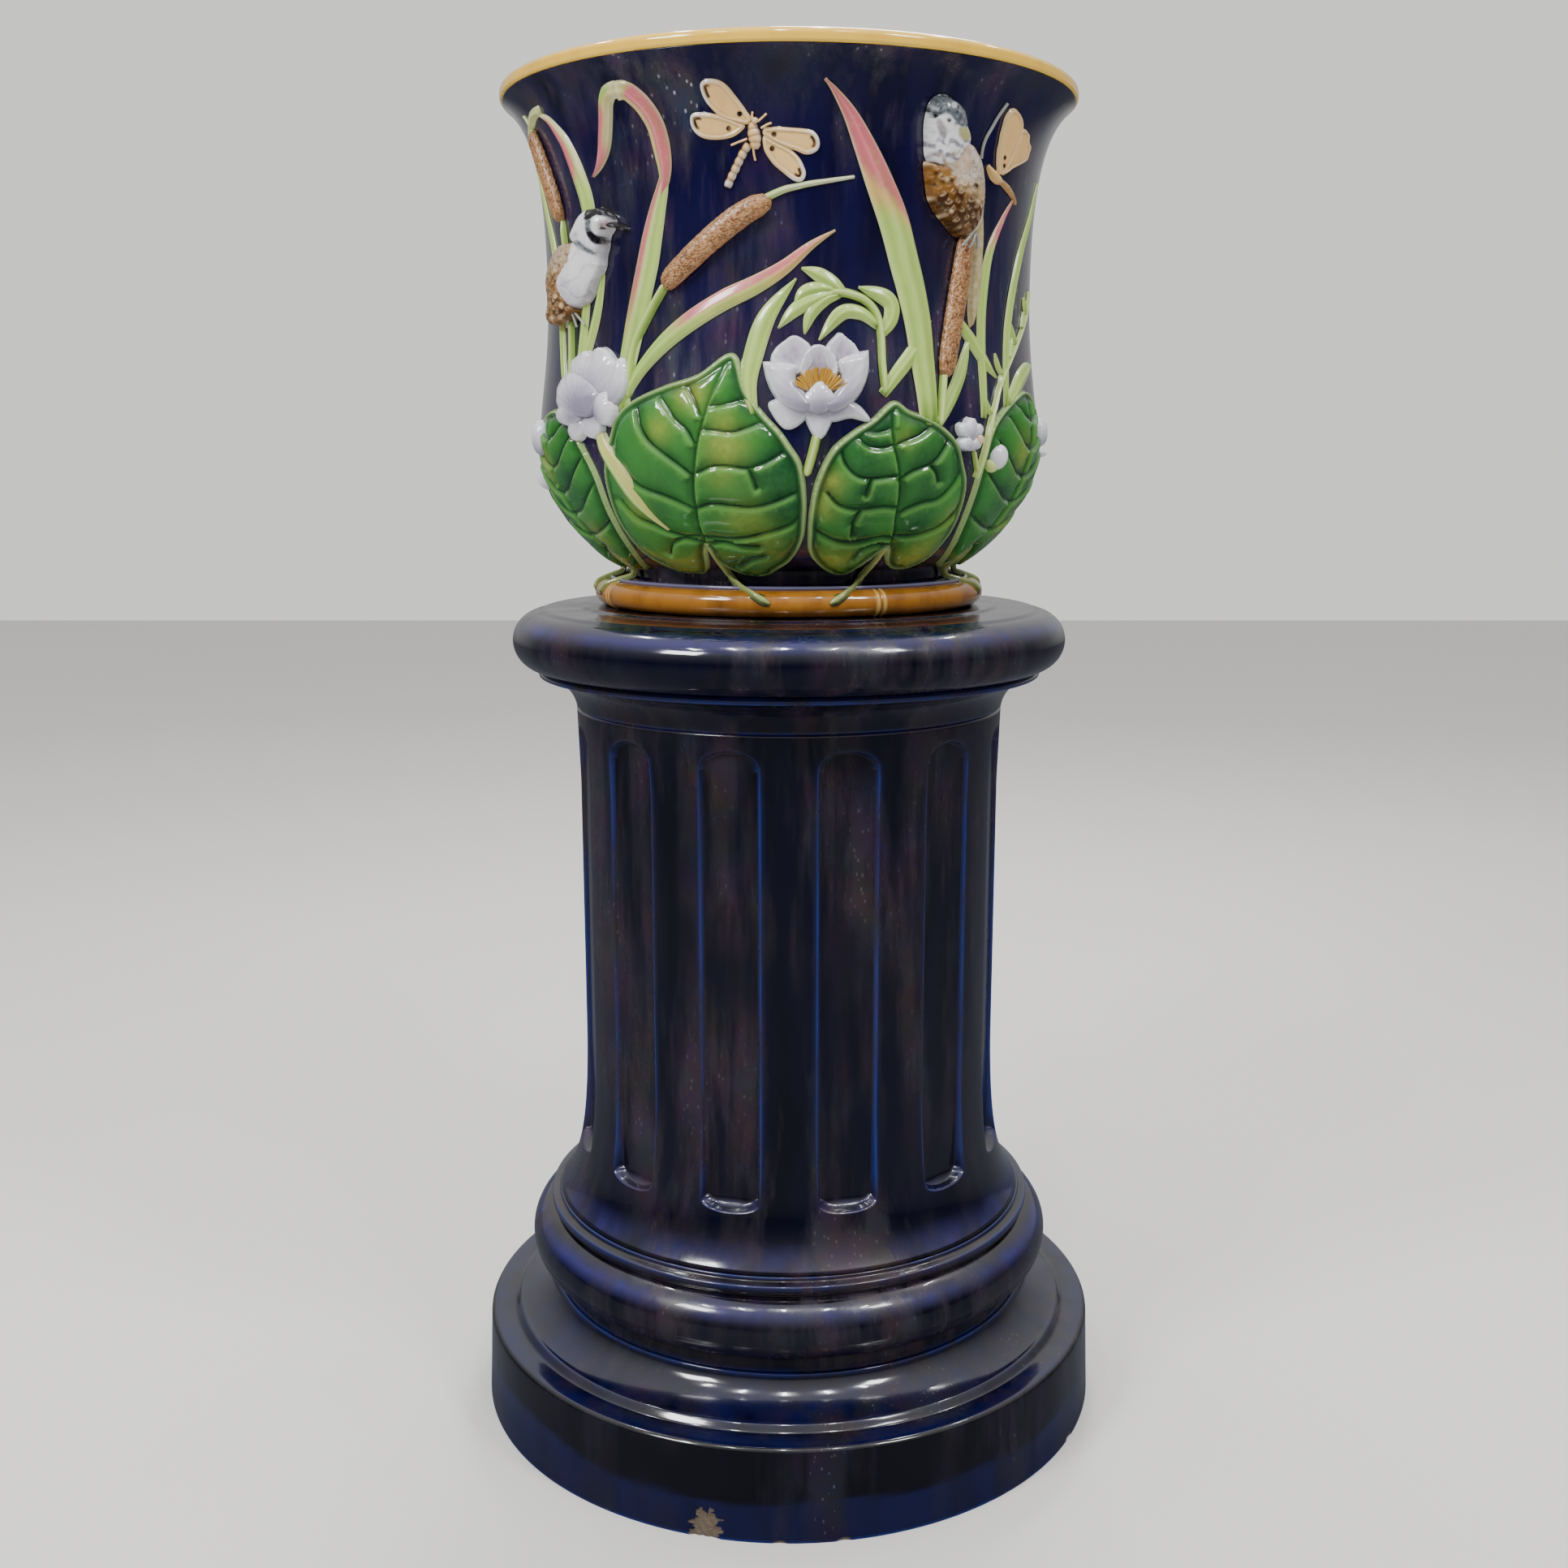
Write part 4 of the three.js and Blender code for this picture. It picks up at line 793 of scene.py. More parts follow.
def laid_back(flat, proud):
    """Flat places wrapped on the pot's side again."""
    drawn = np.interp(flat[:, 1], side_walk, side_curve[:, 1]) - FOOT_TOP
    return laid_on_side(flat[:, 0] / MM_PER_DEGREE, drawn, proud)


def way(places, spacing=1.8, closed=False):
    """A smooth line through the places, with even steps of about the spacing."""
    knots = np.asarray(places, float)
    around = np.vstack([knots[-1], knots, knots[:2]]) if closed else np.vstack([knots[0], knots, knots[-1]])
    spans = len(knots) if closed else len(knots) - 1
    t = np.linspace(0, 1, 17)[:-1, None]
    pieces = []
    for k in range(spans):
        before, start, end, after = around[k : k + 4]
        into, out = (end - before) / 2, (after - start) / 2
        pieces.append((2 * start - 2 * end + into + out) * t**3
            + (3 * end - 3 * start - 2 * into - out) * t**2 + into * t + start)
    line = np.vstack(pieces + [around[spans + 1 : spans + 2]])
    lengths = np.hypot(*np.diff(flattened(line), axis=0).T)
    walk = np.append(0, np.cumsum(lengths))
    count = max(3, math.ceil(walk[-1] / spacing))
    even = np.linspace(0, walk[-1], count + 1)
    if closed:
        even = even[:-1]
    return np.stack([np.interp(even, walk, line[:, 0]), np.interp(even, walk, line[:, 1])], -1)


def reach_and_side(points, line):
    """How far each point is from a line, in flat mm, and whether it is above it, towards the tip."""
    starts, along = line[:-1], np.diff(line, axis=0)
    offset = points[:, None] - starts
    share = np.clip((offset * along).sum(-1) / np.maximum((along**2).sum(-1), 1e-9), 0, 1)
    away = offset - share[..., None] * along
    gap = np.sqrt((away**2).sum(-1))
    pick = gap.argmin(1)
    rows = np.arange(len(points))
    return gap[rows, pick], away[rows, pick, 1] > 0


def reach(points, line):
    return reach_and_side(points, line)[0]


def loop(ring):
    """A ring with its first place again at its end."""
    return np.vstack([ring, ring[:1]])


def within(points, ring):
    """Which points lie inside a closed ring."""
    x, y = points[:, :1], points[:, 1:]
    start, end = ring, np.roll(ring, -1, 0)
    crosses = (start[:, 1] > y) != (end[:, 1] > y)
    rise = np.where(np.abs(end[:, 1] - start[:, 1]) < 1e-9, 1e-9, end[:, 1] - start[:, 1])
    cut = start[:, 0] + (y - start[:, 1]) * (end[:, 0] - start[:, 0]) / rise
    return (crosses & (x < cut)).sum(1) % 2 == 1


def soft_step(value, low, high):
    share = np.clip((value - low) / (high - low), 0, 1)
    return share * share * (3 - 2 * share)


def bump_at(value, centre, width):
    return np.exp(-(((value - centre) / width) ** 2))


def spotted(flat, spots):
    """The sum of soft round spots: (degrees, drawn height, radius in mm, strength)."""
    total = np.zeros(len(flat))
    for degrees, drawn, radius, strength in spots:
        spot = flattened([(degrees, drawn)])[0]
        total += strength * np.exp(-((flat - spot) ** 2).sum(1) / radius**2)
    return np.clip(total, 0, 1)


def lattice(ring, spacing, margin):
    """A honeycomb of points inside a ring, no nearer to it than the margin."""
    low, high = ring.min(0), ring.max(0)
    rows = np.arange(low[1], high[1], spacing * 0.866)
    points = []
    for row, y in enumerate(rows):
        x = np.arange(low[0] + (row % 2) * spacing / 2, high[0], spacing)
        points.append(np.stack([x, np.full(len(x), y)], -1))
    points = np.vstack(points)
    points = points[within(points, ring)]
    return points[reach(points, loop(ring)) > margin]


def triangulated(ring, inner):
    """Triangles that fill a ring and run through the inner points, anticlockwise."""
    flat = [tuple(place) for place in np.vstack([ring, inner])]
    border = list(range(len(ring)))
    points, _, faces, sources, _, _ = delaunay_2d_cdt(flat, [], [border], 1, 1e-5)
    names = [origin[0] if origin else None for origin in sources]
    kept = []
    for face in faces:
        corners = [names[corner] for corner in face]
        if None not in corners and len(set(corners)) == 3:
            kept.append(tuple(corners))
    return kept


LAP_WIDTH = 1.1
LAP_LEVEL = 0.15


def pressed_sheet(outline, form, fine=1.5, wide=3.2, lines=(), glaze=0, sunk=-1.2):
    """A closed relief: form(flat, edge) gives its heights over the pot and its marks."""
    ring = flattened(way(outline, fine * 1.15, closed=True))
    x, y = ring.T
    if (x * np.roll(y, -1) - y * np.roll(x, -1)).sum() < 0:
        ring = ring[::-1]
    border = loop(ring)
    inner = lattice(ring, fine, fine * 0.6)
    if wide > fine:
        busy = reach(inner, border) < 2.5 * fine + 3
        for line in lines:
            busy |= reach(inner, line) < 4.2
        rest = lattice(ring, wide, fine * 1.6)
        quiet = reach(rest, border) > 2.5 * fine + 3 + 0.6 * wide
        for line in lines:
            quiet &= reach(rest, line) > 4.2 + 0.5 * wide
        inner = np.vstack([inner[busy], rest[quiet]])
    flat = np.vstack([ring, inner])
    edge = np.append(np.zeros(len(ring)), reach(inner, border))
    heights, marks = form(flat, edge)
    faces = triangulated(ring, inner)
    under = lattice(ring, 16.0, 5.0) if len(ring) > 20 else np.zeros((0, 2))
    top_count = len(flat)
    back = [tuple(top_count + corner for corner in reversed(face)) for face in triangulated(ring, under)]
    count = len(ring)
    ahead = np.roll(ring, -1, 0) - np.roll(ring, 1, 0)
    outward = np.stack([ahead[:, 1], -ahead[:, 0]], -1) / np.linalg.norm(ahead, axis=1)[:, None]
    back_flat = np.vstack([ring, under])
    foot = top_count + len(back_flat)
    lap = foot + count
    # From the sheet's edge down to its foot, out over the lap line and back under the surface.
    walls = []
    for low, high in ((foot, 0), (lap, foot), (top_count, lap)):
        walls += band(low, high, count)
    points = np.vstack([laid_back(flat, heights), laid_back(back_flat, np.full(len(back_flat), sunk)),
        laid_back(ring + 0.25 * outward, np.clip(0.8 * heights[:count], LAP_LEVEL + 0.05, 0.8)),
        laid_back(ring + LAP_WIDTH * outward, np.full(count, LAP_LEVEL))])
    unmarked = np.zeros(len(back_flat))
    marks = {title: np.concatenate([values, unmarked, values[:count], values[:count]]) for title,
        values in marks.items()}
    # The side walls and the outer ring darken: lapped glaze, and painted shade round and between the
    # pieces.
    marks["lap"] = np.concatenate([np.zeros(top_count), unmarked + 1, np.full(count, 0.3), np.ones(count)])
    return {"points": points, "faces": faces + walls + back, "marks": marks, "glaze": glaze}


def gathered(*parts):
    """Several closed parts as one."""
    titles = {title for part in parts for title in part["marks"]}
    start, faces, slots, points, marks = 0, [], [], [], {title: [] for title in titles}
    for part in parts:
        count = len(part["points"])
        points.append(part["points"])
        faces.extend(tuple(corner + start for corner in face) for face in part["faces"])
        slots.extend([part["glaze"]] * len(part["faces"]))
        for title in titles:
            marks[title].append(np.broadcast_to(part["marks"].get(title, 0.0), count))
        start += count
    marks = {title: np.concatenate(values) for title, values in marks.items()}
    return np.vstack(points), faces, marks, slots


SIDES = (("front", np.array((1, 1, 1))), ("back", np.array((-1, -1, 1))))


def on_both_sides(name, parts, materials):
    """The same sprig on the front and, turned half way round, on the back."""
    points, faces, marks, slots = gathered(*parts)
    for side, turned_over in SIDES:
        finished(f"{side}_{name}_relief", points * turned_over, faces, "jardiniere", f"{side}_{name}",
            materials, marks, slots)


def crosswise(here, normal):
    """The direction across a line that runs over the side, at each of its points."""
    ahead = np.gradient(here, axis=0)
    across = np.cross(normal, ahead / np.linalg.norm(ahead, axis=1)[:, None])
    return across / np.linalg.norm(across, axis=1)[:, None]


def bar_on(here, normal, half, top, shape, marks, glaze=0, sunk=-0.8):
    """A bar laid along a line of points: half its width, its height and its section's shape."""
    across = crosswise(here, normal)
    side = np.array([1.0, 0.97, 0.88, 0.74, 0.56, 0.37, 0.18, 0.0])
    side = np.concatenate([side, -side[-2::-1]])
    height = shape(side[None, :], np.linspace(0, 1, len(here))[:, None])
    side_rows = np.concatenate([side, [-1.0, -1.0, 1.0, 1.0]])
    lap_rows = np.concatenate([0 * side, [-LAP_WIDTH, 0, 0, LAP_WIDTH]])
    under = np.tile([LAP_LEVEL, sunk, sunk, LAP_LEVEL], (len(here), 1))
    rise = np.hstack([np.maximum(top[:, None] * height, LAP_LEVEL + 0.1), under])
    points = (here[:, None] + across[:, None] * (half[:, None] * side_rows + lap_rows)[..., None]
        + normal[:, None] * rise[..., None])
    along = np.repeat(np.linspace(0, 1, len(here))[:, None], len(side_rows), 1)
    sideways = np.repeat(side_rows[None, :], len(here), 0)
    laid = {title: values(along, sideways).ravel() for title, values in marks.items()}
    # Dark sides and outer rows: lapped glaze, and painted shade along the bar.
    lap = np.concatenate([0.3 * (np.abs(side) > 0.99), np.ones(4)])
    laid["lap"] = np.tile(lap, len(here))
    return {"points": points.reshape(-1, 3), "faces": tube_faces(len(here), len(side_rows)), "marks": laid,
        "glaze": glaze}


def round_shape(side, along):
    return np.sqrt(np.clip(1 - side * side, 0, 1)) + 0 * along


def line_on_side(places, spacing):
    """A line's points on the side, the normals there and the share of its length."""
    line = way(places, spacing).T
    here = laid_on_side(*line)
    return here, laid_on_side(*line, 1.0) - here, np.linspace(0, 1, len(here))


def laid_bar(places, half, top, shape=round_shape, marks=None, glaze=0, spacing=1.8):
    here, normal, share = line_on_side(places, spacing)
    return bar_on(here, normal, half(share), top(share), shape, marks or {}, glaze)


def root_stalk(start_degrees, end_degrees, notch):
    """From the pad's notch down its stalk, through the neck and out over the cane foot."""
    notch_level = FOOT_TOP + notch
    knots = np.array([(side_radius(notch_level) + 1.0, notch_level), (NECK_RADIUS + 1.5, 711.0),
        (NECK_RADIUS + 3.4, 702.6), (CANE_CENTRE - 2.0, FOOT_TOP + 0.2), (CANE_CENTRE + CANE_RADIUS * 0.72,
        CANE_LEVEL + CANE_RADIUS * 0.66), (CANE_CENTRE + CANE_RADIUS, CANE_LEVEL + 1.0)])
    t = np.linspace(0, len(knots) - 1, 49)
    line = np.stack([np.interp(t, range(len(knots)), knots[:, axis]) for axis in (0, 1)], -1)
    for _ in range(6):
        line[1:-1] = (line[:-2] + 2 * line[1:-1] + line[2:]) / 4
    ahead = np.gradient(line, axis=0)
    ahead /= np.hypot(*ahead.T)[:, None]
    share = np.linspace(0, 1, len(line))
    angle = np.radians(start_degrees + (end_degrees - start_degrees) * share**1.4)
    round_about = np.stack([np.sin(angle), -np.cos(angle), 0 * angle], -1)
    upward = np.array([0, 0, 1.0])
    here = round_about * line[:, :1] + upward * line[:, 1:]
    normal = round_about * -ahead[:, 1:] + upward * ahead[:, :1]
    half = np.interp(share, [0, 0.1, 0.75, 0.93, 1], [2.6, 2.2, 2.2, 3.0, 0.9])
    top = np.interp(share, [0, 0.1, 0.75, 0.93, 1], [2.6, 4.2, 3.8, 3.4, 0.8])
    return bar_on(here, normal, half, top, round_shape, {"straw": lambda along, across: 0.95 - 0.4
        * np.abs(across) ** 2, "rim": lambda along, across: 0.25 + 0 * along, "pool": lambda along,
        across: 0.4 * np.abs(across) ** 3 + 0.4 * soft_step(along, 0.6, 1.0) * np.abs(across)})


def smooth_noise(flat, seed, size):
    """A soft hand-made unevenness, from -1 to 1."""
    luck = np.random.default_rng(seed)
    total = np.zeros(len(flat))
    for _ in range(6):
        angle, phase = luck.uniform(0, 2 * math.pi, 2)
        stretch = luck.uniform(0.6, 1.6) * 2 * math.pi / size
        total += np.sin((flat[:, 0] * math.cos(angle) + flat[:, 1] * math.sin(angle)) * stretch + phase)
    return total / 3.2


def lily_pad(outline, midrib, veins, sunny, shady, seed):
    """One pad: pillowed cells between sunk veins, inside a rolled rim."""
    rib_line = flattened(way(midrib, 2.5))
    lines = [rib_line] + [flattened(way(vein, 2.5)) for vein in veins]

    def form(flat, edge):
        rib = reach(flat, rib_line)
        gaps, sides = zip(*(reach_and_side(flat, line) for line in lines))
        nearest = np.argmin(gaps, axis=0)
        vein = np.take_along_axis(np.array(gaps), nearest[None], 0)[0]
        above = np.take_along_axis(np.array(sides), nearest[None], 0)[0]
        away_from_rim = soft_step(edge, 3.5, 9)
        # A cell swells up steeply from the vein over it and sinks slowly to the one below.
        swell = np.where(above, 1 - np.exp(-((vein / 6.5) ** 1.6)), 1 - np.exp(-((vein / 2.3) ** 2)))
        steep = np.where(above, 0.0, 1.0)
        heights = 2.6 + 2.0 * soft_step(edge, 2, 26)
        heights += 2.5 * swell * away_from_rim + 0.55 * steep * bump_at(vein, 3.2, 2.0) * away_from_rim
        heights -= 0.6 * np.exp(-((vein / 1.0) ** 2)) * away_from_rim
        heights -= 0.6 * np.exp(-((rib / 1.3) ** 2)) * away_from_rim
        heights += 1.3 * bump_at(edge, 1.9, 1.4) - 0.8 * bump_at(edge, 5.0, 2.0)
        heights += 0.45 * smooth_noise(flat, seed, 55) * soft_step(edge, 2, 12)
        roll = np.clip(edge / 2.4, 0, 1)
        heights = heights * np.sqrt(1 - (1 - roll) ** 2) - 0.3 * (edge < 0.1)
        # Painted light and shade on the cells: a highlight along each steep crest below a vein, where the
        # glaze also thins, and shade on each cell's slow slope down to the vein below.
        crest = steep * bump_at(vein, 2.7, 1.1) * soft_step(edge, 5, 10) * (rib > 1.5)
        shade_under_cell = np.where(above, np.exp(-((vein / 5.0) ** 2)), 0.0) * soft_step(rib, 0.5, 4)
        marks = {"rim": np.clip(0.95 * bump_at(edge, 1.3, 1.35) + 0.5 * (edge < 0.1), 0, 1),
            "pool": np.clip(0.85 * np.exp(-((vein / 0.95) ** 2)) * soft_step(edge, 4, 9) + 0.42 * shade_under_cell
            * soft_step(edge, 4, 9) + 0.6 * bump_at(edge, 5.0, 2.3), 0, 1), "thin": np.clip(0.62 * crest
            + 0.12 * swell * soft_step(edge, 9, 16), 0, 1), "sunny": spotted(flat, sunny),
            "shady": spotted(flat, shady)}
        return heights, marks

    return pressed_sheet(outline, form, fine=1.35, wide=3.4, lines=lines)


def drawn_veins(outline, midrib, pairs):
    """Side veins for a pad seen edge-on: they leave the midrib in pairs and curve upward."""
    rib = way(midrib, 2.5)
    ring = way(outline, 2.5, closed=True)
    veins = []
    for share, spread, lift in pairs:
        start = rib[int(share * (len(rib) - 1))]
        for hand in (-1, 1):
            places = [start]
            for part in (0.33, 0.66, 1.0):
                place = start + np.array([hand * spread * part, lift * part**1.7])
                if not within(place[None, :], ring)[0]:
                    break
                places.append(place)
            if len(places) > 2:
                veins.append(places)
    return veins


# A brushed-on colour has an uneven edge, because each is dabbed on by hand before firing.
brush_edge, given, made, (node, work, blend, slope) = new_group("brush_edge", "ShaderNodeTree",
    {"Mark": "Float", "Grain": "Float"}, {"Share": "Float"})
everywhere = node("ShaderNodeTexCoord").outputs["Object"]
bristles = noise(brush_edge, given["Grain"], 3.0, vector=everywhere)
ragged = work("MULTIPLY", given["Mark"], work("MULTIPLY_ADD", bristles, 1.3, 0.4), clamp=True)
brush_edge.links.new(ragged, made[0])

leaf_glaze, leaf_flow = glazed("leaf_green_glaze", body=(0.040, 0.205, 0.038), thin=(0.135, 0.34, 0.070),
    pooled=(0.002, 0.026, 0.007), grain=65.0, pinholes=0.10, relief=0.16)


def brushed_coats(material, flow, **coats):
    """Further colours brushed over the first, each where the mesh carries its mark."""
    tree = material.node_tree
    colour = tuple(flow.inputs["Body"].default_value)
    for title, tint in coats.items():
        values = {"Mark": mark(tree, title), "Grain": 240.0}
        brushed = add_node(tree, "ShaderNodeGroup", values, node_tree=brush_edge)
        colour = blended(tree, brushed.outputs["Share"], colour, (*tint, 1))
    tree.links.new(colour, flow.inputs["Body"])


# On the pads the shady coat is painted shade and the sunny coat is painted light.
brushed_coats(leaf_glaze, leaf_flow,
    shady=(0.003, 0.070, 0.024),
    sunny=(0.33, 0.39, 0.058), straw=(0.50, 0.50, 0.17))
leaf_tree = leaf_glaze.node_tree
leaf_shader = leaf_tree.nodes["Principled BSDF"].inputs
rimmed = blended(leaf_tree, mark(leaf_tree, "rim"), leaf_flow.outputs["Color"], (0.40, 0.55, 0.22, 1))
leaf_tree.links.new(lapped_and_shaded(leaf_tree, rimmed), leaf_shader["Base Color"])
leaf_shader["Coat Weight"].default_value = 0.4

PAD_BROAD = [(-11.5, 166), (-18.9, 152), (-26.2, 145), (-34.2, 135), (-38.3, 124), (-40.5, 107),
    (-43.2, 89), (-44.5, 72), (-45.7, 48), (-44.1, 26), (-37.9, 15), (-30.4, 12), (-24.9, 17), (-21.6, 33),
    (-20.4, 22), (-14.3, 13), (-9.1, 10), (-4.1, 16), (0.7, 24), (3.3, 38), (3.8, 55), (3.5, 74), (2.4, 92),
    (0.2, 104), (-1.9, 114), (-5.2, 126), (-8.5, 141)]
PAD_SMALL = [(21.6, 134), (17, 122), (12.7, 113), (8.6, 101), (5.8, 81), (4.8, 62), (4.7, 45), (5.5, 29),
    (9, 19), (14.4, 13), (17.6, 12), (20.6, 17), (23.7, 25), (26.4, 32), (28.6, 23), (32.0, 17), (38.7, 16),
    (43.8, 23), (45, 36), (45, 48), (43.4, 69), (42.0, 81), (39.9, 92), (37.2, 107), (32.9, 118), (29, 124),
    (25.2, 128)]
PAD_LEFT = [(-63, 131), (-73, 118), (-79, 90), (-80, 55), (-75, 20), (-67, 12), (-62, 28), (-57, 12),
    (-50, 24), (-47, 60), (-47, 90), (-54, 121)]
PAD_RIGHT = [(65.5, 145), (55.5, 136), (48, 118), (45.5, 92), (46.5, 60), (50, 34), (56, 15), (62, 30),
    (68, 14), (76, 22), (81, 55), (80, 95), (74, 125)]
PAD_EDGE = [(90, 112), (84.5, 95), (82, 65), (83, 35), (87, 17), (90, 28), (94, 17), (98, 35), (99, 65),
    (95.5, 95)]
on_both_sides("lily_pad_broad", [
    lily_pad(PAD_BROAD, [(-12.5, 160), (-14, 150), (-15.9, 136), (-17.3, 120), (-18.5, 106), (-19.4, 92),
    (-20.4, 76), (-20.9, 61), (-21.3, 50), (-21.4, 38)], [[(-15.7, 130), (-13.5, 131), (-11, 133),
    (-9.3, 135)], [(-17.4, 115), (-14.2, 114), (-11.2, 113), (-8.1, 116), (-5.2, 120)], [(-18.9, 87),
    (-15.6, 91), (-11.8, 91), (-8.2, 90), (-4.4, 94), (-1.1, 100)], [(-8.2, 90), (-7.1, 82), (-6.7, 77)],
    [(-20.7, 63), (-17.1, 66), (-12.6, 65), (-8.2, 64), (-3.8, 67), (2.2, 74)], [(-21.6, 42), (-16.1, 42),
    (-10.1, 43), (-4.1, 47), (0.5, 52), (3.5, 59)], [(-19.6, 38), (-15.5, 39), (-11.6, 37), (-7.5, 36)],
    [(-13.8, 21), (-10.3, 27), (-6.4, 29)], [(-17.7, 124), (-19.1, 134), (-20.6, 142), (-21.4, 147)],
    [(-18.9, 106), (-20.6, 115), (-22.8, 121), (-25.2, 130), (-26.9, 137)], [(-19.8, 85), (-22.6, 92),
    (-26.2, 100), (-29.2, 108), (-31.2, 118), (-32.3, 129)], [(-20.6, 62), (-24, 67), (-28.1, 72),
    (-31, 75), (-33.9, 80), (-36.4, 90)], [(-22, 43), (-25.7, 43), (-29.6, 46), (-33.2, 51), (-37, 56),
    (-40.4, 67)], [(-21.8, 38), (-24.9, 41), (-27.5, 41), (-30.2, 38), (-33, 30)]],
    sunny=[(-20, 139, 11, 0.85), (-26.5, 115, 10, 0.55), (-12.5, 104, 13, 0.8), (-13, 122, 8, 0.4),
    (-10, 56, 16, 0.5), (-25, 20, 15, 0.6), (-5, 38, 15, 0.45), (-33, 24, 18, 0.4), (-36, 60, 12, 0.4),
    (-14, 84, 10, 0.3)],
    shady=[(-2.5, 90, 17, 0.9), (-2, 62, 15, 0.9), (-8, 134, 10, 0.6), (-1, 34, 17, 0.7),
    (-30, 60, 14, 0.55), (-38, 100, 12, 0.5), (-26, 86, 14, 0.3), (-14, 24, 14, 0.6)], seed=3),
    root_stalk(-21.5, -5, 36)], [leaf_glaze])
on_both_sides("lily_pad_small", [
    lily_pad(PAD_SMALL, [(21.4, 131), (21.1, 116), (21.5, 104), (22.6, 94), (23.7, 81), (24.5, 69),
    (25, 57), (26, 46), (27, 36)], [[(21.7, 105), (24.1, 108), (26.8, 111), (30.2, 118)], [(23.3, 82),
    (25.5, 87), (27.8, 90), (30.4, 93), (32.6, 100), (34.3, 108)], [(30.1, 92), (31.9, 87), (32.9, 81)],
    [(25.2, 59), (27.3, 63), (30.7, 67), (34, 69), (37.1, 77), (39, 87)], [(26.6, 43), (30, 43), (34.4, 45),
    (38.5, 49), (41.3, 56), (43.1, 64)], [(21.1, 116), (19.2, 114), (17.4, 113), (15.7, 114)], [(21.4, 105),
    (18.7, 103), (16.1, 104), (14.4, 108), (13.5, 113)], [(22.9, 85), (20.1, 84), (16.9, 83), (13.9, 85),
    (11.5, 92), (10.6, 100)], [(17.2, 83), (16.7, 77), (16.4, 72)], [(24.5, 63), (21.2, 64), (17.5, 63),
    (13.8, 63), (10.6, 66), (8.1, 73)], [(15.7, 61), (14.8, 53), (15, 44)], [(26.6, 41), (22.8, 42),
    (18.7, 40), (14.6, 39), (10.4, 41), (6.8, 46)], [(26.4, 35), (22.2, 36), (19, 33), (17.9, 27)]],
    sunny=[(8.5, 80, 9, 0.8), (7.5, 64, 10, 0.6), (12, 27, 15, 0.7), (34, 27, 14, 0.75), (41, 56, 12, 0.45),
    (24, 110, 8, 0.35), (38, 36, 14, 0.4)],
    shady=[(16, 98, 13, 0.8), (17, 70, 13, 0.85), (28, 100, 12, 0.6), (31, 78, 14, 0.7), (31, 52, 14, 0.9),
    (17, 42, 12, 0.9), (20, 120, 9, 0.6), (38, 90, 10, 0.5)], seed=5),
    root_stalk(26.5, 11, 34)], [leaf_glaze])
for name, outline, midrib, pairs, stalk_end, seed in (("lily_pad_left", PAD_LEFT, [(-63, 127), (-63.4, 100),
    (-63.5, 70), (-62.6, 46), (-62.2, 32)], [(0.18, 7, 14), (0.36, 10, 22), (0.54, 13, 24), (0.72, 15, 22),
    (0.9, 15, 12)], -71, 7), ("lily_pad_right", PAD_RIGHT, [(65.3, 140), (64.6, 110), (64, 78), (62.8, 50),
    (62.1, 34)], [(0.16, 7, 14), (0.32, 10, 22), (0.5, 14, 24), (0.68, 16, 22), (0.88, 15, 12)], 74, 9),
    ("lily_pad_edge", PAD_EDGE, [(90, 108), (90.2, 86), (90.3, 60), (90.1, 32)], [(0.25, 4, 10),
    (0.5, 6, 14), (0.75, 6.5, 12)], 96, 11)):
    middle = midrib[2]
    on_both_sides(name, [
        lily_pad(outline, midrib, drawn_veins(outline, midrib, pairs),
        sunny=[(middle[0] - 4, middle[1] + 22, 13, 0.6), (middle[0] + 6, middle[1] - 30, 14, 0.6)],
        shady=[(middle[0] + 6, middle[1] + 10, 17, 0.8), (middle[0] - 8, middle[1] - 8, 15, 0.7)],
        seed=seed),
        root_stalk(midrib[-1][0], stalk_end, midrib[-1][1] - 2)], [leaf_glaze])

# ---- The reeds, blades and stems ----
# Long strap leaves with a soft ridge or a fold, pale green at the root and blushed with pink
# towards the tip. Each was rolled out, laid on the damp pot and tooled down along its edges.
reed_glaze, reed_flow = glazed("reed_green_glaze", body=(0.475, 0.665, 0.155), thin=(0.70, 0.76, 0.38),
    pooled=(0.14, 0.27, 0.034), grain=75.0, streaks=0.25, pinholes=0.12, relief=0.16)
brushed_coats(reed_glaze, reed_flow,
    gold=(0.80, 0.48, 0.175),
    blush=(0.72, 0.120, 0.205),
    cream=(0.86, 0.75, 0.46), pale=(0.58, 0.62, 0.70))
less_glossy(reed_glaze, reed_flow, 0.3, 0.10)
BLADE_SHOULDER = 0.55


def past_shoulder(share):
    return np.clip(share - BLADE_SHOULDER, 0, 1) / (1 - BLADE_SHOULDER)


def blade_width(width, foot=0.45):
    """Half the width of a blade along its length: it swells from its foot, then tapers."""

    def half(share):
        swell = foot + (1 - foot) * np.sin(np.pi * np.minimum(share / 0.9, 0.5))
        return width / 2 * swell * np.maximum(1 - past_shoulder(share) ** 1.7, 0.04)

    return half


def ridged(fold=0.0, sharp=0.85, rise=0.42):
    """A blade's section: thin rounded edges that rise to a ridge at the fold."""

    def shape(side, along):
        slope = np.where(side > fold, (1 - side) / (1 - fold), (1 + side) / (1 + fold))
        wall = np.clip((1 - np.abs(side)) / 0.06, 0, 1) ** 0.5
        return wall * (rise + (1 - rise) * np.clip(slope, 0, 1) ** sharp) + 0 * along

    return shape


def nothing(along, across):
    return 0 * along


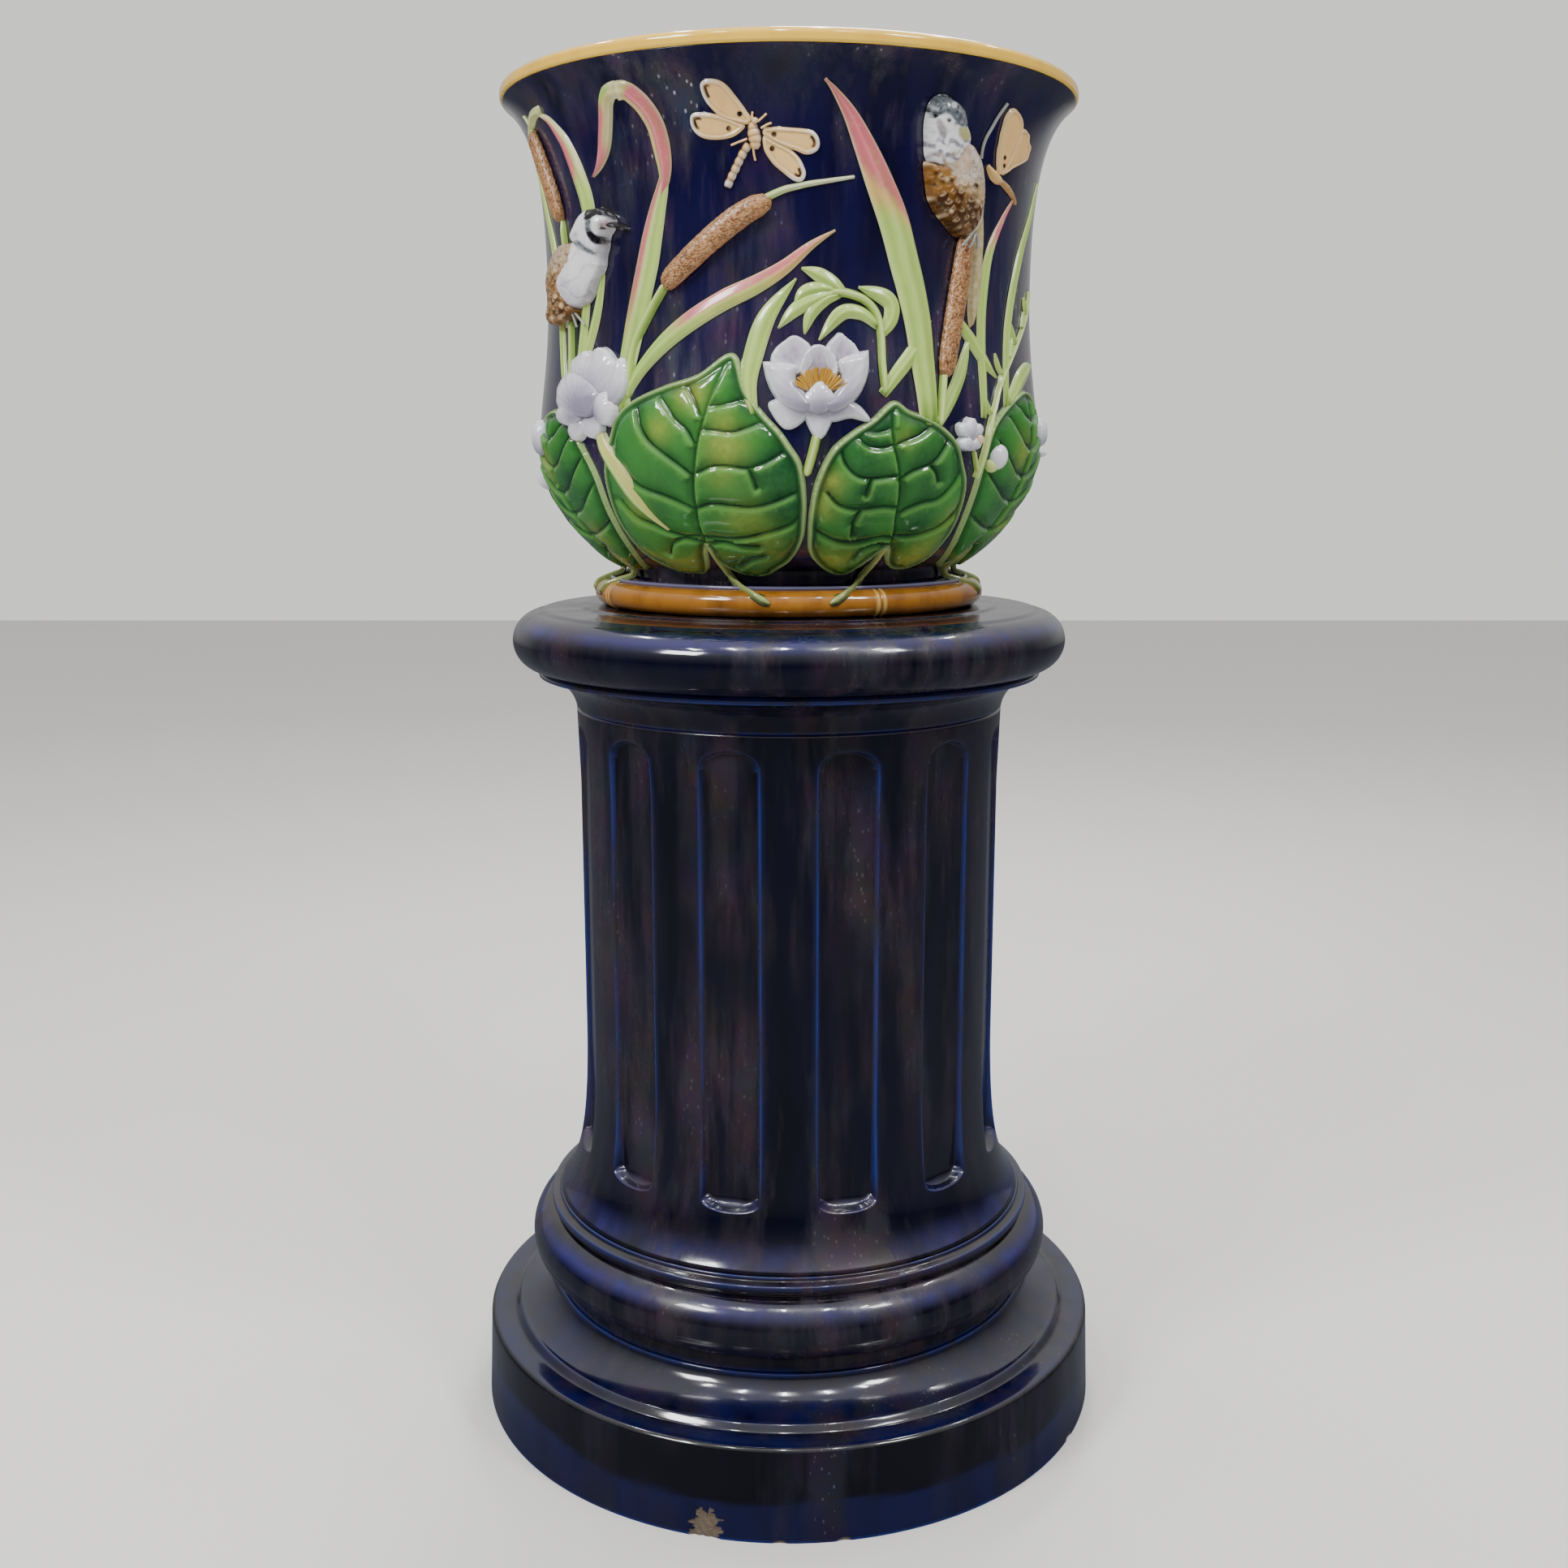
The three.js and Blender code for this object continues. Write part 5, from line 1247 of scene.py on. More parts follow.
def reed(places, width, proud=3.4, foot=0.45, fold=0.0, blush=nothing, gold=nothing, cream=nothing):
    half = blade_width(width, foot)

    def top(share):
        thinner = np.maximum(1 - past_shoulder(share) ** 1.6, 0.08)
        return proud * (0.45 + 0.55 * thinner) * soft_step(share, -0.04, 0.03)

    return laid_bar(places, half, top, ridged(fold), {"blush": blush, "gold": gold, "cream": cream,
        "thin": lambda along, across: 0.22 * bump_at(across, fold, 0.09) + 0.6
        * soft_step(np.abs(across), 0.86, 0.98), "pool": lambda along, across: 0.7
        * (foot < 0.99) * soft_step(-along, -0.10, 0.0) + 0.30
        * bump_at(np.abs(across - fold), 0.5, 0.22)})


def stem(places, radius, proud=None, tips=(0.6, 0.6)):
    """A round stem pressed on the side; its two ends are drawn in to these shares."""
    rise = proud or 1.7 * radius

    def ends(share):
        return np.interp(share, [0, 0.06, 0.94, 1], [tips[0], 1, 1, tips[1]])

    return laid_bar(places, lambda share: radius * ends(share), lambda share: rise * ends(share),
        marks={"thin": lambda along, across: 0.5 * bump_at(across, 0.25, 0.3), "pool": lambda along,
        across: 0.5 * np.abs(across) ** 3})


on_both_sides("reeds_middle", [
    reed([(-36.6, 128), (-36.9, 149), (-36.2, 163), (-35.3, 178), (-34.4, 191.8), (-32.9, 210.6),
    (-31.3, 229.1), (-29.9, 247.4), (-28.3, 265.5), (-27.1, 277.4), (-26.3, 289), (-26.1, 304)], 17.5, 3.6,
    0.62, fold=0.25,
    blush=lambda along, across: soft_step(along, 0.22, 0.5) * soft_step(across, 0.12, 0.4)
    + soft_step(along, 0.84, 0.94),
    cream=lambda along, across: 0.75 * soft_step(along, 0.3, 0.5) * soft_step(across, 0.82, 0.95) + 0.5
    * soft_step(along, 0.2, 0.5) * bump_at(across, -0.05, 0.14)),
    reed([(-35.0, 341.6), (-33.2, 341.4), (-31.9, 339.1), (-29.5, 330.9), (-27.5, 318.8), (-26.6, 304.6),
    (-26.2, 290.3), (-26.6, 279.4), (-27.6, 269.1)], 13, 4.4, 1.0, fold=0.0,
    blush=lambda along, across: soft_step(across, -0.7, -0.3) * soft_step(along, 0.05, 0.14),
    gold=lambda along, across: 0.9 * soft_step(-across, 0.25, 0.7) * (1 - soft_step(along, 0.6, 0.85)) + 0.5
    * soft_step(-along, -0.12, -0.02),
    cream=lambda along, across: 0.6 * bump_at(across, -0.55, 0.16) + 0.7
    * soft_step(-along, -0.10, -0.03)),
    reed([(-34.6, 342.6), (-36.8, 341.4), (-38.2, 336.5), (-39.1, 328.9), (-40.1, 319), (-41.2, 309),
    (-42.5, 301.7), (-44, 295.9), (-45.8, 291)], 11.5, 4.8, 1.0, fold=0.1,
    blush=lambda along, across: soft_step(along, 0.16, 0.36) * (0.35 + 0.65 * soft_step(-across, -0.5, 0.2))
    + 0.6 * soft_step(along, 0.5, 0.75),
    gold=lambda along, across: 0.7 * soft_step(-along, -0.4, -0.15) * soft_step(across, -0.5, 0.3),
    cream=lambda along, across: 0.75 * soft_step(across, 0.1, 0.8) * (1 - 0.8 * soft_step(along, 0.45,
    0.75)) + 0.7 * soft_step(-along, -0.14, -0.02)),
    reed([(-37.3, 129), (-36.4, 135), (-34.4, 148), (-31.4, 161), (-26.5, 176), (-20.9, 189), (-13.8, 202),
    (-7, 212), (-1.2, 223), (4.6, 238), (9.6, 248)], 13, 3.6, 0.35, fold=-0.1,
    blush=lambda along, across: soft_step(along, 0.30, 0.44) * soft_step(across, -0.15, 0.15) * (1 - 0.5
    * soft_step(along, 0.72, 0.9)) + 0.3 * soft_step(along, 0.7, 0.85),
    gold=lambda along, across: 0.95 * soft_step(along, 0.66, 0.84) + 0.3 * soft_step(along, 0.3, 0.6)),
    stem([(-35.2, 138), (-35.3, 150), (-34.2, 174), (-30.6, 196), (-26.4, 216)], 2.9, 4.6)],
    [reed_glaze])
on_both_sides("reeds_right", [
    reed([(30, 118), (29.7, 140), (29.0, 165), (28.3, 187), (26.8, 209), (24.8, 230), (22.2, 256),
    (18.5, 282), (15.4, 302), (12.1, 321), (8.8, 335), (6.7, 342)], 22, 4.0, 0.62, fold=0.05,
    blush=lambda along, across: soft_step(along - 0.09 * across, 0.62, 0.71) + 0.45
    * soft_step(along, 0.56, 0.66) * soft_step(-across, 0.6, 0.95),
    gold=lambda along, across: 0.85 * bump_at(along - 0.06 * across, 0.64, 0.045) + 0.75
    * bump_at(along, 0.72, 0.08) * soft_step(across, 0.1, 0.7)),
    reed([(19.4, 139), (22.5, 152), (27.2, 170), (31.5, 190)], 10, 3.2, 0.6),
    reed([(32, 118), (36, 138), (39.5, 158), (42.6, 184)], 10, 3.2, 0.6),
    reed([(38.6, 193), (42.5, 180), (46.5, 166), (51.2, 153)], 10, 3.4, 0.6),
    reed([(45.6, 124), (46, 150), (46.3, 180), (47.2, 208), (49.4, 240), (54.2, 265), (58.8, 282)], 9, 3.2,
    0.6,
    blush=lambda along, across: 0.9 * soft_step(along, 0.68, 0.8),
    gold=lambda along, across: 0.7 * soft_step(along, 0.62, 0.8) * soft_step(across, 0, 0.5)),
    stem([(32.6, 118), (33.4, 136), (34.3, 156)], 2.7, 4.4)], [reed_glaze])
on_both_sides("reeds_far_right", [
    reed([(54, 132), (57.6, 190), (64, 240), (71.4, 275), (75.4, 300)], 9.5, 3.2),
    reed([(54.4, 134), (57.5, 141), (62.1, 152), (68, 161), (73.9, 166)], 13, 4.2, 0.5)],
    [reed_glaze])
on_both_sides("reeds_left", [
    reed([(-53, 131), (-50, 165), (-46.6, 196), (-43.4, 238)], 8.5, 3.0),
    reed([(-52, 131), (-51.6, 175), (-49.8, 222), (-48.6, 250)], 9, 3.2, 0.7),
    reed([(-49.4, 216), (-48.2, 240), (-48.2, 262), (-49, 277.2), (-50.3, 288.6), (-51.6, 299),
    (-53, 308.8), (-54.4, 317.6), (-56.6, 326.8), (-59, 335), (-63, 341.5)], 14.5, 3.8, 0.5, fold=0.1,
    blush=lambda along, across: soft_step(along, 0.48, 0.62) * soft_step(across, -0.4, -0.1),
    gold=lambda along, across: 0.6 * soft_step(along, 0.5, 0.65) * bump_at(across, -0.35, 0.25),
    cream=lambda along, across: 0.8 * soft_step(along, 0.45, 0.6) * soft_step(-across, 0.3, 0.6) + 0.7
    * soft_step(along, 0.88, 0.97)),
    reed([(-60.6, 342), (-65, 341.4), (-69.5, 335.5), (-73, 326), (-75.5, 316)], 7.0, 3.8, 1.0,
    cream=lambda along, across: 0.5 + 0 * along),
    reed([(-54, 131), (-59.5, 160), (-66, 240), (-72, 280), (-77, 310)], 8.5, 3.2),
    stem([(-54, 131), (-57, 200), (-60, 268)], 2.4, 4.0)], [reed_glaze])
on_both_sides("short_blade", [
    reed([(-7.2, 124), (-8.2, 145), (-7.4, 163), (-4.5, 191), (1.5, 216)], 13, 3.6, 0.5, fold=0.15)],
    [reed_glaze])
on_both_sides("curled_blade", [
    laid_bar([(-42.6, 112), (-41.3, 103), (-37.8, 87), (-34.2, 66), (-29.7, 47)], lambda share: 6.8
    * np.sin(np.pi * np.clip(0.12 + 0.86 * share, 0, 1)) ** 0.6, lambda share: 5.5 + 4.0
    * np.sin(np.pi * share), ridged(-0.25, 0.7, 0.72), {"gold": lambda along, across: 0.45
    * soft_step(across, -0.3, 0.5), "thin": lambda along, across: 0.9 * bump_at(across, -0.25, 0.12) + 0.8
    * soft_step(np.abs(across), 0.8, 0.97), "pool": lambda along, across: 0.5
    * bump_at(across, -0.62, 0.2)})], [reed_glaze])
on_both_sides("arrow_frond", [
    stem([(20.0, 141), (19.6, 160), (19.5, 178), (18.6, 193), (16.2, 202), (12.6, 206.5), (8.4, 208)], 2.5,
    4.4), *(reed(places, width, 3.4, 0.5) for places, width in (([(11.6, 206), (9.2, 213), (6, 219),
    (2.6, 223)], 9), ([(9.6, 208.5), (6.6, 210), (3, 207), (1.2, 199)], 8), ([(10, 207), (6.4, 203.5),
    (1.6, 196), (-2.2, 183)], 9), ([(10.6, 206), (7.4, 202), (4.6, 193), (3.2, 179)], 8),
    ([(18.8, 185), (15.2, 193.5), (10.8, 193), (6.2, 175)], 9), ([(19.2, 179), (21.8, 191), (21.2, 203),
    (14.6, 211)], 11)))], [reed_glaze])

# ---- The cattails ----
# Brown seed heads, modelled round, stippled all over with a pointed tool and dabbed with
# two browns. A thin pale spike stands above two of them.
cattail_glaze, cattail_flow = glazed("cattail_brown_glaze", body=(0.400, 0.190, 0.075),
    thin=(0.60, 0.38, 0.200), pooled=(0.050, 0.013, 0.005), grain=160.0, pinholes=0.1, relief=0.3)

less_glossy(cattail_glaze, cattail_flow, 0.12, 0.22)


def cattail_head(places, width, proud, seed):
    """A stippled seed head: round, blunt at both ends."""
    here, normal, share = line_on_side(places, 0.7)
    across = crosswise(here, normal)
    swell = np.interp(share, [0, 0.012, 0.035, 0.09, 0.3, 0.7, 0.9, 0.965, 0.99, 1], [0.12, 0.42, 0.68,
        0.88, 0.97, 1, 0.9, 0.66, 0.38, 0.1])
    turn = np.radians(np.linspace(-28, 208, 42))
    luck = np.random.default_rng(seed)
    bumps = luck.random((len(here), len(turn)))
    bumps = (2 * bumps + np.roll(bumps, 1, 0)) / 3
    bumps = np.clip((bumps - 0.25) * 2.0, 0, 1)
    bumps[[0, -1]] = 0.5
    reach_out = 1 + (bumps - 0.5) * 0.07
    side = width / 2 * swell[:, None] * np.cos(turn) * reach_out
    rise = proud * (0.42 * swell[:, None] + 0.58 * swell[:, None] * np.sin(turn) * reach_out)
    points = here[:, None] + across[:, None] * side[..., None] + normal[:, None] * rise[..., None]
    return {"points": points.reshape(-1, 3), "faces": tube_faces(*bumps.shape),
        "marks": {"thin": np.clip((bumps - 0.6) * 1.6, 0, 0.6).ravel(),
        "pool": np.clip((0.4 - bumps) * 1.8, 0, 0.7).ravel()}, "glaze": 0}


def pale_spike(places, width, blue=0.0):
    """The thin spike above a seed head; it fades from green to a bluish white."""
    return laid_bar(places, lambda share: width / 2 * (1 - 0.75 * share), lambda share: 3.4 - 2.0 * share,
        marks={"thin": lambda along, across: 0.3 + 0.5 * along, "pale": lambda along, across: blue * along},
        glaze=1)


on_both_sides("cattail_middle", [
    cattail_head([(-27.2, 212), (-21.8, 227), (-15.4, 244), (-9.2, 258.5), (-3.6, 267.5)], 16.5, 9.2, 21),
    pale_spike([(-4.6, 268.8), (-1.1, 273.7), (2.1, 276.3), (4.5, 277.9), (7.7, 279.6), (11, 281.4),
    (13.4, 282.8)], 4.0, 1.0)], [cattail_glaze, reed_glaze])
on_both_sides("cattail_right", [
    cattail_head([(34.2, 151), (35.4, 170), (36.7, 188), (38.6, 216), (40.7, 252)], 15.5, 9.2, 22)],
    [cattail_glaze, reed_glaze])
on_both_sides("cattail_left", [
    cattail_head([(-59.8, 266), (-62, 284), (-64.8, 302), (-68.8, 333)], 15.5, 9.0, 23),
    pale_spike([(-68.2, 330), (-70, 339), (-71.6, 345)], 4.0)],
    [cattail_glaze, reed_glaze])

# ---- The water lilies ----
# Cupped white petals, each a thin pressed leaf of clay, set one over another, with a gold
# boss of stamens in the open flower. Painted lilac-grey shade lies towards each petal's root,
# in the cups and along the edges.
petal_glaze, petal_flow = glazed("petal_white_glaze", body=(0.73, 0.735, 0.80), thin=(0.86, 0.87, 0.90),
    pooled=(0.23, 0.22, 0.32), grain=45.0, streaks=0.10, pinholes=0.04, relief=0.14)
brushed_coats(petal_glaze, petal_flow, lilac=(0.40, 0.34, 0.45), gold=(0.62, 0.31, 0.03))


def in_green(part):
    """The same part in the reeds' green glaze."""
    return {**part, "glaze": 1}


def petal(outline, lift, crown, cup=False, lilac=0.2, lean=(0, 0), root=None):
    """One petal: swelling outward, or hollow where its inside shows. Lean tips it.

    Fine ribs run up it from its root. Painted lilac shade greys it towards the root and in a cup,
    and a dark painted edge sets it off from the petal beneath.
    """
    outline = as_seen(outline, lift + 1.5)
    ring = flattened(way(outline, 2.0, closed=True))
    middle = ring.mean(0)
    deepest = reach(middle[None, :], loop(ring))[0] + 0.6
    start = flattened(as_seen([root], lift + 1.5))[0] if root else ring[ring[:, 1].argmin()]
    length = np.hypot(*(ring - start).T).max()

    def form(flat, edge):
        depth = np.clip(edge / deepest, 0, 1)
        swell = 1 - (1 - depth) ** 2
        tip = ((flat - middle) * np.array(lean)).sum(1)
        body = lift + tip + crown * ((1 - swell) if cup else swell)
        from_root = flat - start
        outward = np.clip(np.hypot(*from_root.T) / length, 0, 1)
        ribs = np.cos(np.arctan2(from_root[:, 0], from_root[:, 1]) * 34)
        body += 0.16 * ribs * soft_step(edge, 1, 3) * outward
        roll = np.clip(edge / 0.8, 0, 1)
        heights = np.maximum(body, 0.8) * (0.35 + 0.65 * np.sqrt(1 - (1 - roll) ** 2))
        # Painted shade: the pool near the root and at the edge, and the lilac towards the root and deep in
        # a cup. A flat petal also keeps a faint lilac tint all over.
        near_root = 1 - soft_step(outward, 0.1, 0.75)
        return heights, {"thin": np.clip(1.0 * bump_at(edge, 0.9, 1.1) * outward + 0.15 * ribs * outward, 0,
            1), "pool": np.clip(0.7 * near_root + 0.6 * bump_at(edge, 0.0, 0.6), 0, 1),
            "lilac": np.clip(lilac * (soft_step(depth, 0.1, 0.8) if cup else near_root + 0.25), 0, 1)}

    return pressed_sheet(outline, form, fine=1.0, wide=1.0)


stamen_paths = []
stamen_luck = np.random.default_rng(31)
for share in np.linspace(0, 1, 34):
    fan = math.sin(math.pi * (0.06 + 0.88 * share))
    root = np.array([5.8 + (share - 0.5) * 5.0, 140 + 3.0 * fan])
    tip = np.array([6.0 + (share - 0.5) * 10.2, 142.5 + 12.5 * fan])
    tip = tip + stamen_luck.uniform(-0.9, 0.9, 2) * (0.5, 1.0)
    path = [root + (tip - root) * part for part in (0, 0.35, 0.7, 1.0)]
    rises = np.array([6.0, 8.4, 10.0, 10.9]) + stamen_luck.uniform(-0.9, 0.7)
    stamen_paths.append([laid_on_side(place[0], place[1], rise) for place, rise in zip(path, rises)])

# Fine strands are drawn as paths, and Geometry Nodes give each its round thickness.
strand_maker, given, made, (node, work, blend, slope) = new_group("strand_maker", "GeometryNodeTree",
    {"Geometry": "Geometry", "Radius": "Float", "Glaze": "Material"}, {"Geometry": "Geometry"})
lines = node("GeometryNodeMeshToCurve", {"Mesh": given["Geometry"]}).outputs[0]
section = {"Resolution": 8, "Radius": given["Radius"]}
section = node("GeometryNodeCurvePrimitiveCircle", section).outputs[0]
tubes = {"Curve": lines, "Profile Curve": section, "Fill Caps": True}
tubes = node("GeometryNodeCurveToMesh", tubes).outputs[0]
tubes = node("GeometryNodeRealizeInstances", {"Geometry": tubes}).outputs[0]
tubes = node("GeometryNodeSetMaterial", {"Geometry": tubes, "Material": given["Glaze"]}).outputs[0]
strand_maker.links.new(tubes, made[0])


def strands(name, paths, radius, material):
    """Round strands along the paths, on the front and on the back."""
    for side, turned_over in SIDES:
        points, edges = [], []
        for path in paths:
            start = len(points)
            points.extend((np.array(place) * turned_over * 0.001).tolist() for place in path)
            edges.extend((start + k, start + k + 1) for k in range(len(path) - 1))
        mesh = bpy.data.meshes.new(name)
        mesh.from_pydata(points, edges, [])
        settings = {"Radius": radius * 0.001, "Glaze": material}
        piece = made_by(strand_maker, in_scene(name, mesh), f"{side}_{name}", settings)
        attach(piece, "jardiniere")


stamen_glaze, _ = glazed("stamen_gold_glaze", body=(0.62, 0.34, 0.05), thin=(0.85, 0.62, 0.22),
    pooled=(0.30, 0.12, 0.015), grain=200.0, streaks=0.4)
LILY_HEART = (5.8, 136)
on_both_sides("water_lily_open", [
    petal([(-3.6, 160), (-2.6, 169), (-0.7, 174.5), (1.0, 177.5), (3, 175), (4.8, 168), (4.6, 156),
    (0, 150)], 4.6, 2.2, cup=True, lilac=0.8, root=LILY_HEART),
    petal([(8, 170), (9.7, 177), (10.8, 179.5), (12.4, 176), (14.1, 171), (14.9, 164), (12, 152),
    (7.6, 156)], 4.6, 2.2, cup=True, lilac=0.85, root=LILY_HEART),
    petal([(2.2, 152), (2.8, 163), (4.4, 169.5), (6.3, 171.5), (8.1, 169), (9.8, 162), (10.0, 152),
    (6, 142)], 5.4, 2.8, cup=True, lilac=1.0, root=LILY_HEART),
    petal([(-3.8, 133), (-3.2, 125), (-1.2, 116.6), (0.4, 115.6), (2.1, 118.6), (3.7, 124), (4.4, 132),
    (1, 137)], 2.6, 2.6, lilac=0.35, root=(2.5, 134)),
    petal([(7.4, 131), (7.8, 122), (9.4, 120.6), (12.8, 123), (16.7, 120.6), (15.4, 128), (13.4, 133),
    (10, 137)], 2.6, 2.6, lilac=0.35, root=(9.5, 134)),
    petal([(3.2, 128), (4.4, 115), (6.1, 108.6), (7.8, 114), (9.2, 128), (6.2, 133)], 3.6, 2.8, lilac=0.3,
    root=(6.2, 132)),
    petal([(-5.3, 159.5), (-5.3, 159), (-4.6, 149), (-3.4, 140), (-1.6, 132), (1.0, 127), (3.6, 126),
    (5.0, 131), (3.4, 139), (1.6, 147), (1.8, 157), (-1.2, 159.8), (-5.2, 160)], 5.6, 5.2, lilac=0.45,
    lean=(0.12, -0.04), root=(4.6, 128)),
    petal([(17.1, 168), (17.1, 167), (17.0, 156), (15.9, 145), (13.9, 135), (10.9, 127.6), (8.2, 126),
    (6.8, 131), (9.0, 139), (10.6, 148), (10.0, 160), (13, 165.4), (17, 168)], 5.6, 5.2, lilac=0.45,
    lean=(-0.12, -0.04), root=(7.4, 128)),
    petal([(2.6, 134), (3.8, 140), (5.4, 145.4), (6.3, 147), (7.2, 145.4), (8.8, 140), (9.8, 135),
    (8.8, 128.6), (6.1, 124), (3.5, 128)], 9.0, 4.0, lilac=0.35, lean=(0, 0.06), root=(6.1, 125)),
    in_green(stem([(3.6, 84), (4.5, 95), (5.7, 112)], 2.7, 4.4))],
    [petal_glaze, reed_glaze])
strands("lily_stamens", stamen_paths, 0.8, stamen_glaze)

on_both_sides("water_lily_half", [
    petal([(-55.9, 150), (-56.4, 163), (-53.9, 168), (-51, 171.6), (-50.9, 171.6), (-48.8, 168.5),
    (-46.6, 172.8), (-44.6, 172.4), (-42.4, 168), (-40.6, 160), (-41, 147), (-41.7, 137), (-45.1, 132),
    (-50.3, 138)], 6.6, 4.2, lilac=0.9, root=(-48, 128)),
    petal([(-41.8, 128), (-41.6, 149), (-40.3, 161), (-38.0, 165), (-36.7, 155), (-36.6, 143),
    (-38.8, 133)], 6.0, 4.2, lilac=0.45, root=(-42, 124)),
    petal([(-47.8, 128), (-50.6, 119), (-48.8, 111.5), (-46, 109.5), (-43.5, 114), (-43.6, 121),
    (-44.6, 128)], 5.0, 4.2, lilac=0.5, root=(-46, 130)),
    petal([(-54.3, 124), (-55.8, 115), (-54, 108.4), (-51.2, 109), (-49.2, 116), (-50.4, 124)], 4.6, 3.8,
    lilac=0.5, root=(-51, 128)),
    petal([(-61.2, 128), (-58.4, 136), (-53.8, 136), (-50.5, 129), (-50.7, 121), (-55, 118), (-60.2, 121)],
    6.4, 5.0, lilac=0.5, root=(-51, 130)),
    petal([(-45.5, 140), (-46.4, 130), (-44.7, 120), (-41.1, 118.6), (-39.3, 128), (-40.1, 138),
    (-42.6, 142.5)], 7.0, 5.2, lilac=0.4, root=(-46, 124)),
    petal([(-61.6, 132), (-62.3, 147), (-58.9, 154.6), (-53.5, 157), (-48.1, 150.4), (-44.0, 140),
    (-44.8, 131), (-46.5, 124), (-50.1, 123.6), (-55.9, 127)], 9.0, 5.4, lilac=0.85, lean=(0.05, -0.02),
    root=(-47, 124))], [petal_glaze])

# ---- The flowering vine ----
# A thin stem with paired leaves climbs the right-hand side; a small white flower and white
# buds hang beside it.
def boss(place, size, lift, height, marks=None, glaze=0, turn=0.0, rows=9, columns=18):
    """An oval rounded lump on the side: half its width and height, and how far it swells."""
    middle = flattened([place])[0]
    rise = np.linspace(0, math.pi / 2, rows)
    angle = np.linspace(0, 2 * math.pi, columns, endpoint=False)
    spread, swell = np.cos(rise), np.sin(rise)
    cosine, sine = math.cos(math.radians(turn)), math.sin(math.radians(turn))
    points, thin = [], []
    for level, (reach_out, up) in enumerate(zip(spread[:-1], swell[:-1])):
        x, y = size[0] * reach_out * np.cos(angle), size[1] * reach_out * np.sin(angle)
        flat = middle + np.stack([x * cosine - y * sine, x * sine + y * cosine], -1)
        points.append(laid_back(flat, np.full(columns, (lift if level else 0.0) + height * up)))
        thin.extend([0.5 * up] * columns)
    base = laid_back(middle + 0 * flat[:1], np.array([-0.6]))
    crest = laid_back(middle + 0 * flat[:1], np.array([lift + height]))
    points = np.vstack(points + [base, crest])
    last, foot = (rows - 2) * columns, (rows - 1) * columns
    faces = []
    for row in range(rows - 2):
        faces += band(row * columns, (row + 1) * columns, columns)
    faces += end_fans(foot, foot + 1, 0, last, columns)
    laid = {"thin": np.append(thin, [0, 0.5])}
    for title, value in (marks or {}).items():
        laid[title] = np.full(len(points), value)
    return {"points": points, "faces": faces, "marks": laid, "glaze": glaze}


vine_leaves = []
for degrees, drawn, hand, size in ((46.6, 112, 1, 11), (48.4, 126, -1, 11), (50.6, 141, 1, 12),
    (53.6, 155, -1, 12), (57.0, 168, 1, 12), (61.6, 179, -1, 11), (66.0, 191, 1, 10), (70.4, 203, -1, 9)):
    bend = (degrees + hand * 0.14 * size, drawn + 0.55 * size)
    tip = (degrees + hand * 0.2 * size, drawn + 1.3 * size)
    vine_leaves.append(in_green(reed([(degrees, drawn), bend, tip], 4.6, 3.0, 0.5)))
on_both_sides("flower_vine", [
    laid_bar([(44.8, 82), (45.9, 100), (47.2, 118), (49.5, 133), (52.8, 151), (60.6, 175), (70.1, 201),
    (74.3, 220)], lambda share: 2.0 - 0.9 * share, lambda share: 4.6 - 2.0 * share,
    marks={"thin": lambda along, across: 0.6 - 0.3 * np.abs(across)}, glaze=1), *vine_leaves,
    in_green(stem([(45, 86), (43.6, 94), (42.6, 101)], 1.4, 3.0)),
    petal([(41.8, 108), (39.2, 112), (38.6, 118), (40.2, 120), (42, 115)], 6.4, 1.6, lilac=0.2),
    petal([(42, 108), (44.8, 111), (45.6, 117), (44, 120), (42, 115)], 6.4, 1.6, lilac=0.2),
    petal([(41.6, 107), (40.4, 113), (41, 121), (42.4, 124), (43.6, 119), (43.2, 111)], 7.0, 1.6,
    lilac=0.4),
    petal([(42, 101), (39.6, 103), (39.2, 108), (41, 111), (42.6, 107)], 7.2, 1.8, lilac=0.2),
    petal([(42, 101), (44.6, 103), (45.2, 108), (43.4, 111), (41.8, 107)], 7.2, 1.8, lilac=0.2),
    boss((42, 109), (3.2, 3.2), 7.6, 2.4, {"gold": 1.0}),
    boss((49.9, 97), (8.4, 9.4), 3.0, 8.5, {"lilac": 0.15}, turn=-12),
    in_green(boss((48.4, 91), (6.0, 5.0), 2.6, 6.0, turn=-20))],
    [petal_glaze, reed_glaze])
edge_buds = [
    petal([(-76, 98), (-79, 104), (-79.5, 116), (-76.5, 124), (-73.4, 116), (-73.2, 104)], 6.0, 6.0,
    lilac=0.3),
    boss((-77.5, 81), (5.6, 8.6), 2.5, 8.5, {"lilac": 0.25}, turn=12),
    petal([(80, 104), (77.2, 110), (77.6, 120), (80.5, 126), (83.8, 119), (83.2, 109)], 5.0, 6.0,
    lilac=0.35),
    boss((81, 100.5), (4.4, 3.4), 3.0, 6.5, {"lilac": 0.1})]
bud_points, bud_faces, bud_marks, _ = gathered(*edge_buds)
for side, turned_over in SIDES:
    finished(f"{side}_edge_buds", bud_points * turned_over, bud_faces, "jardiniere", None,
        [petal_glaze], bud_marks)

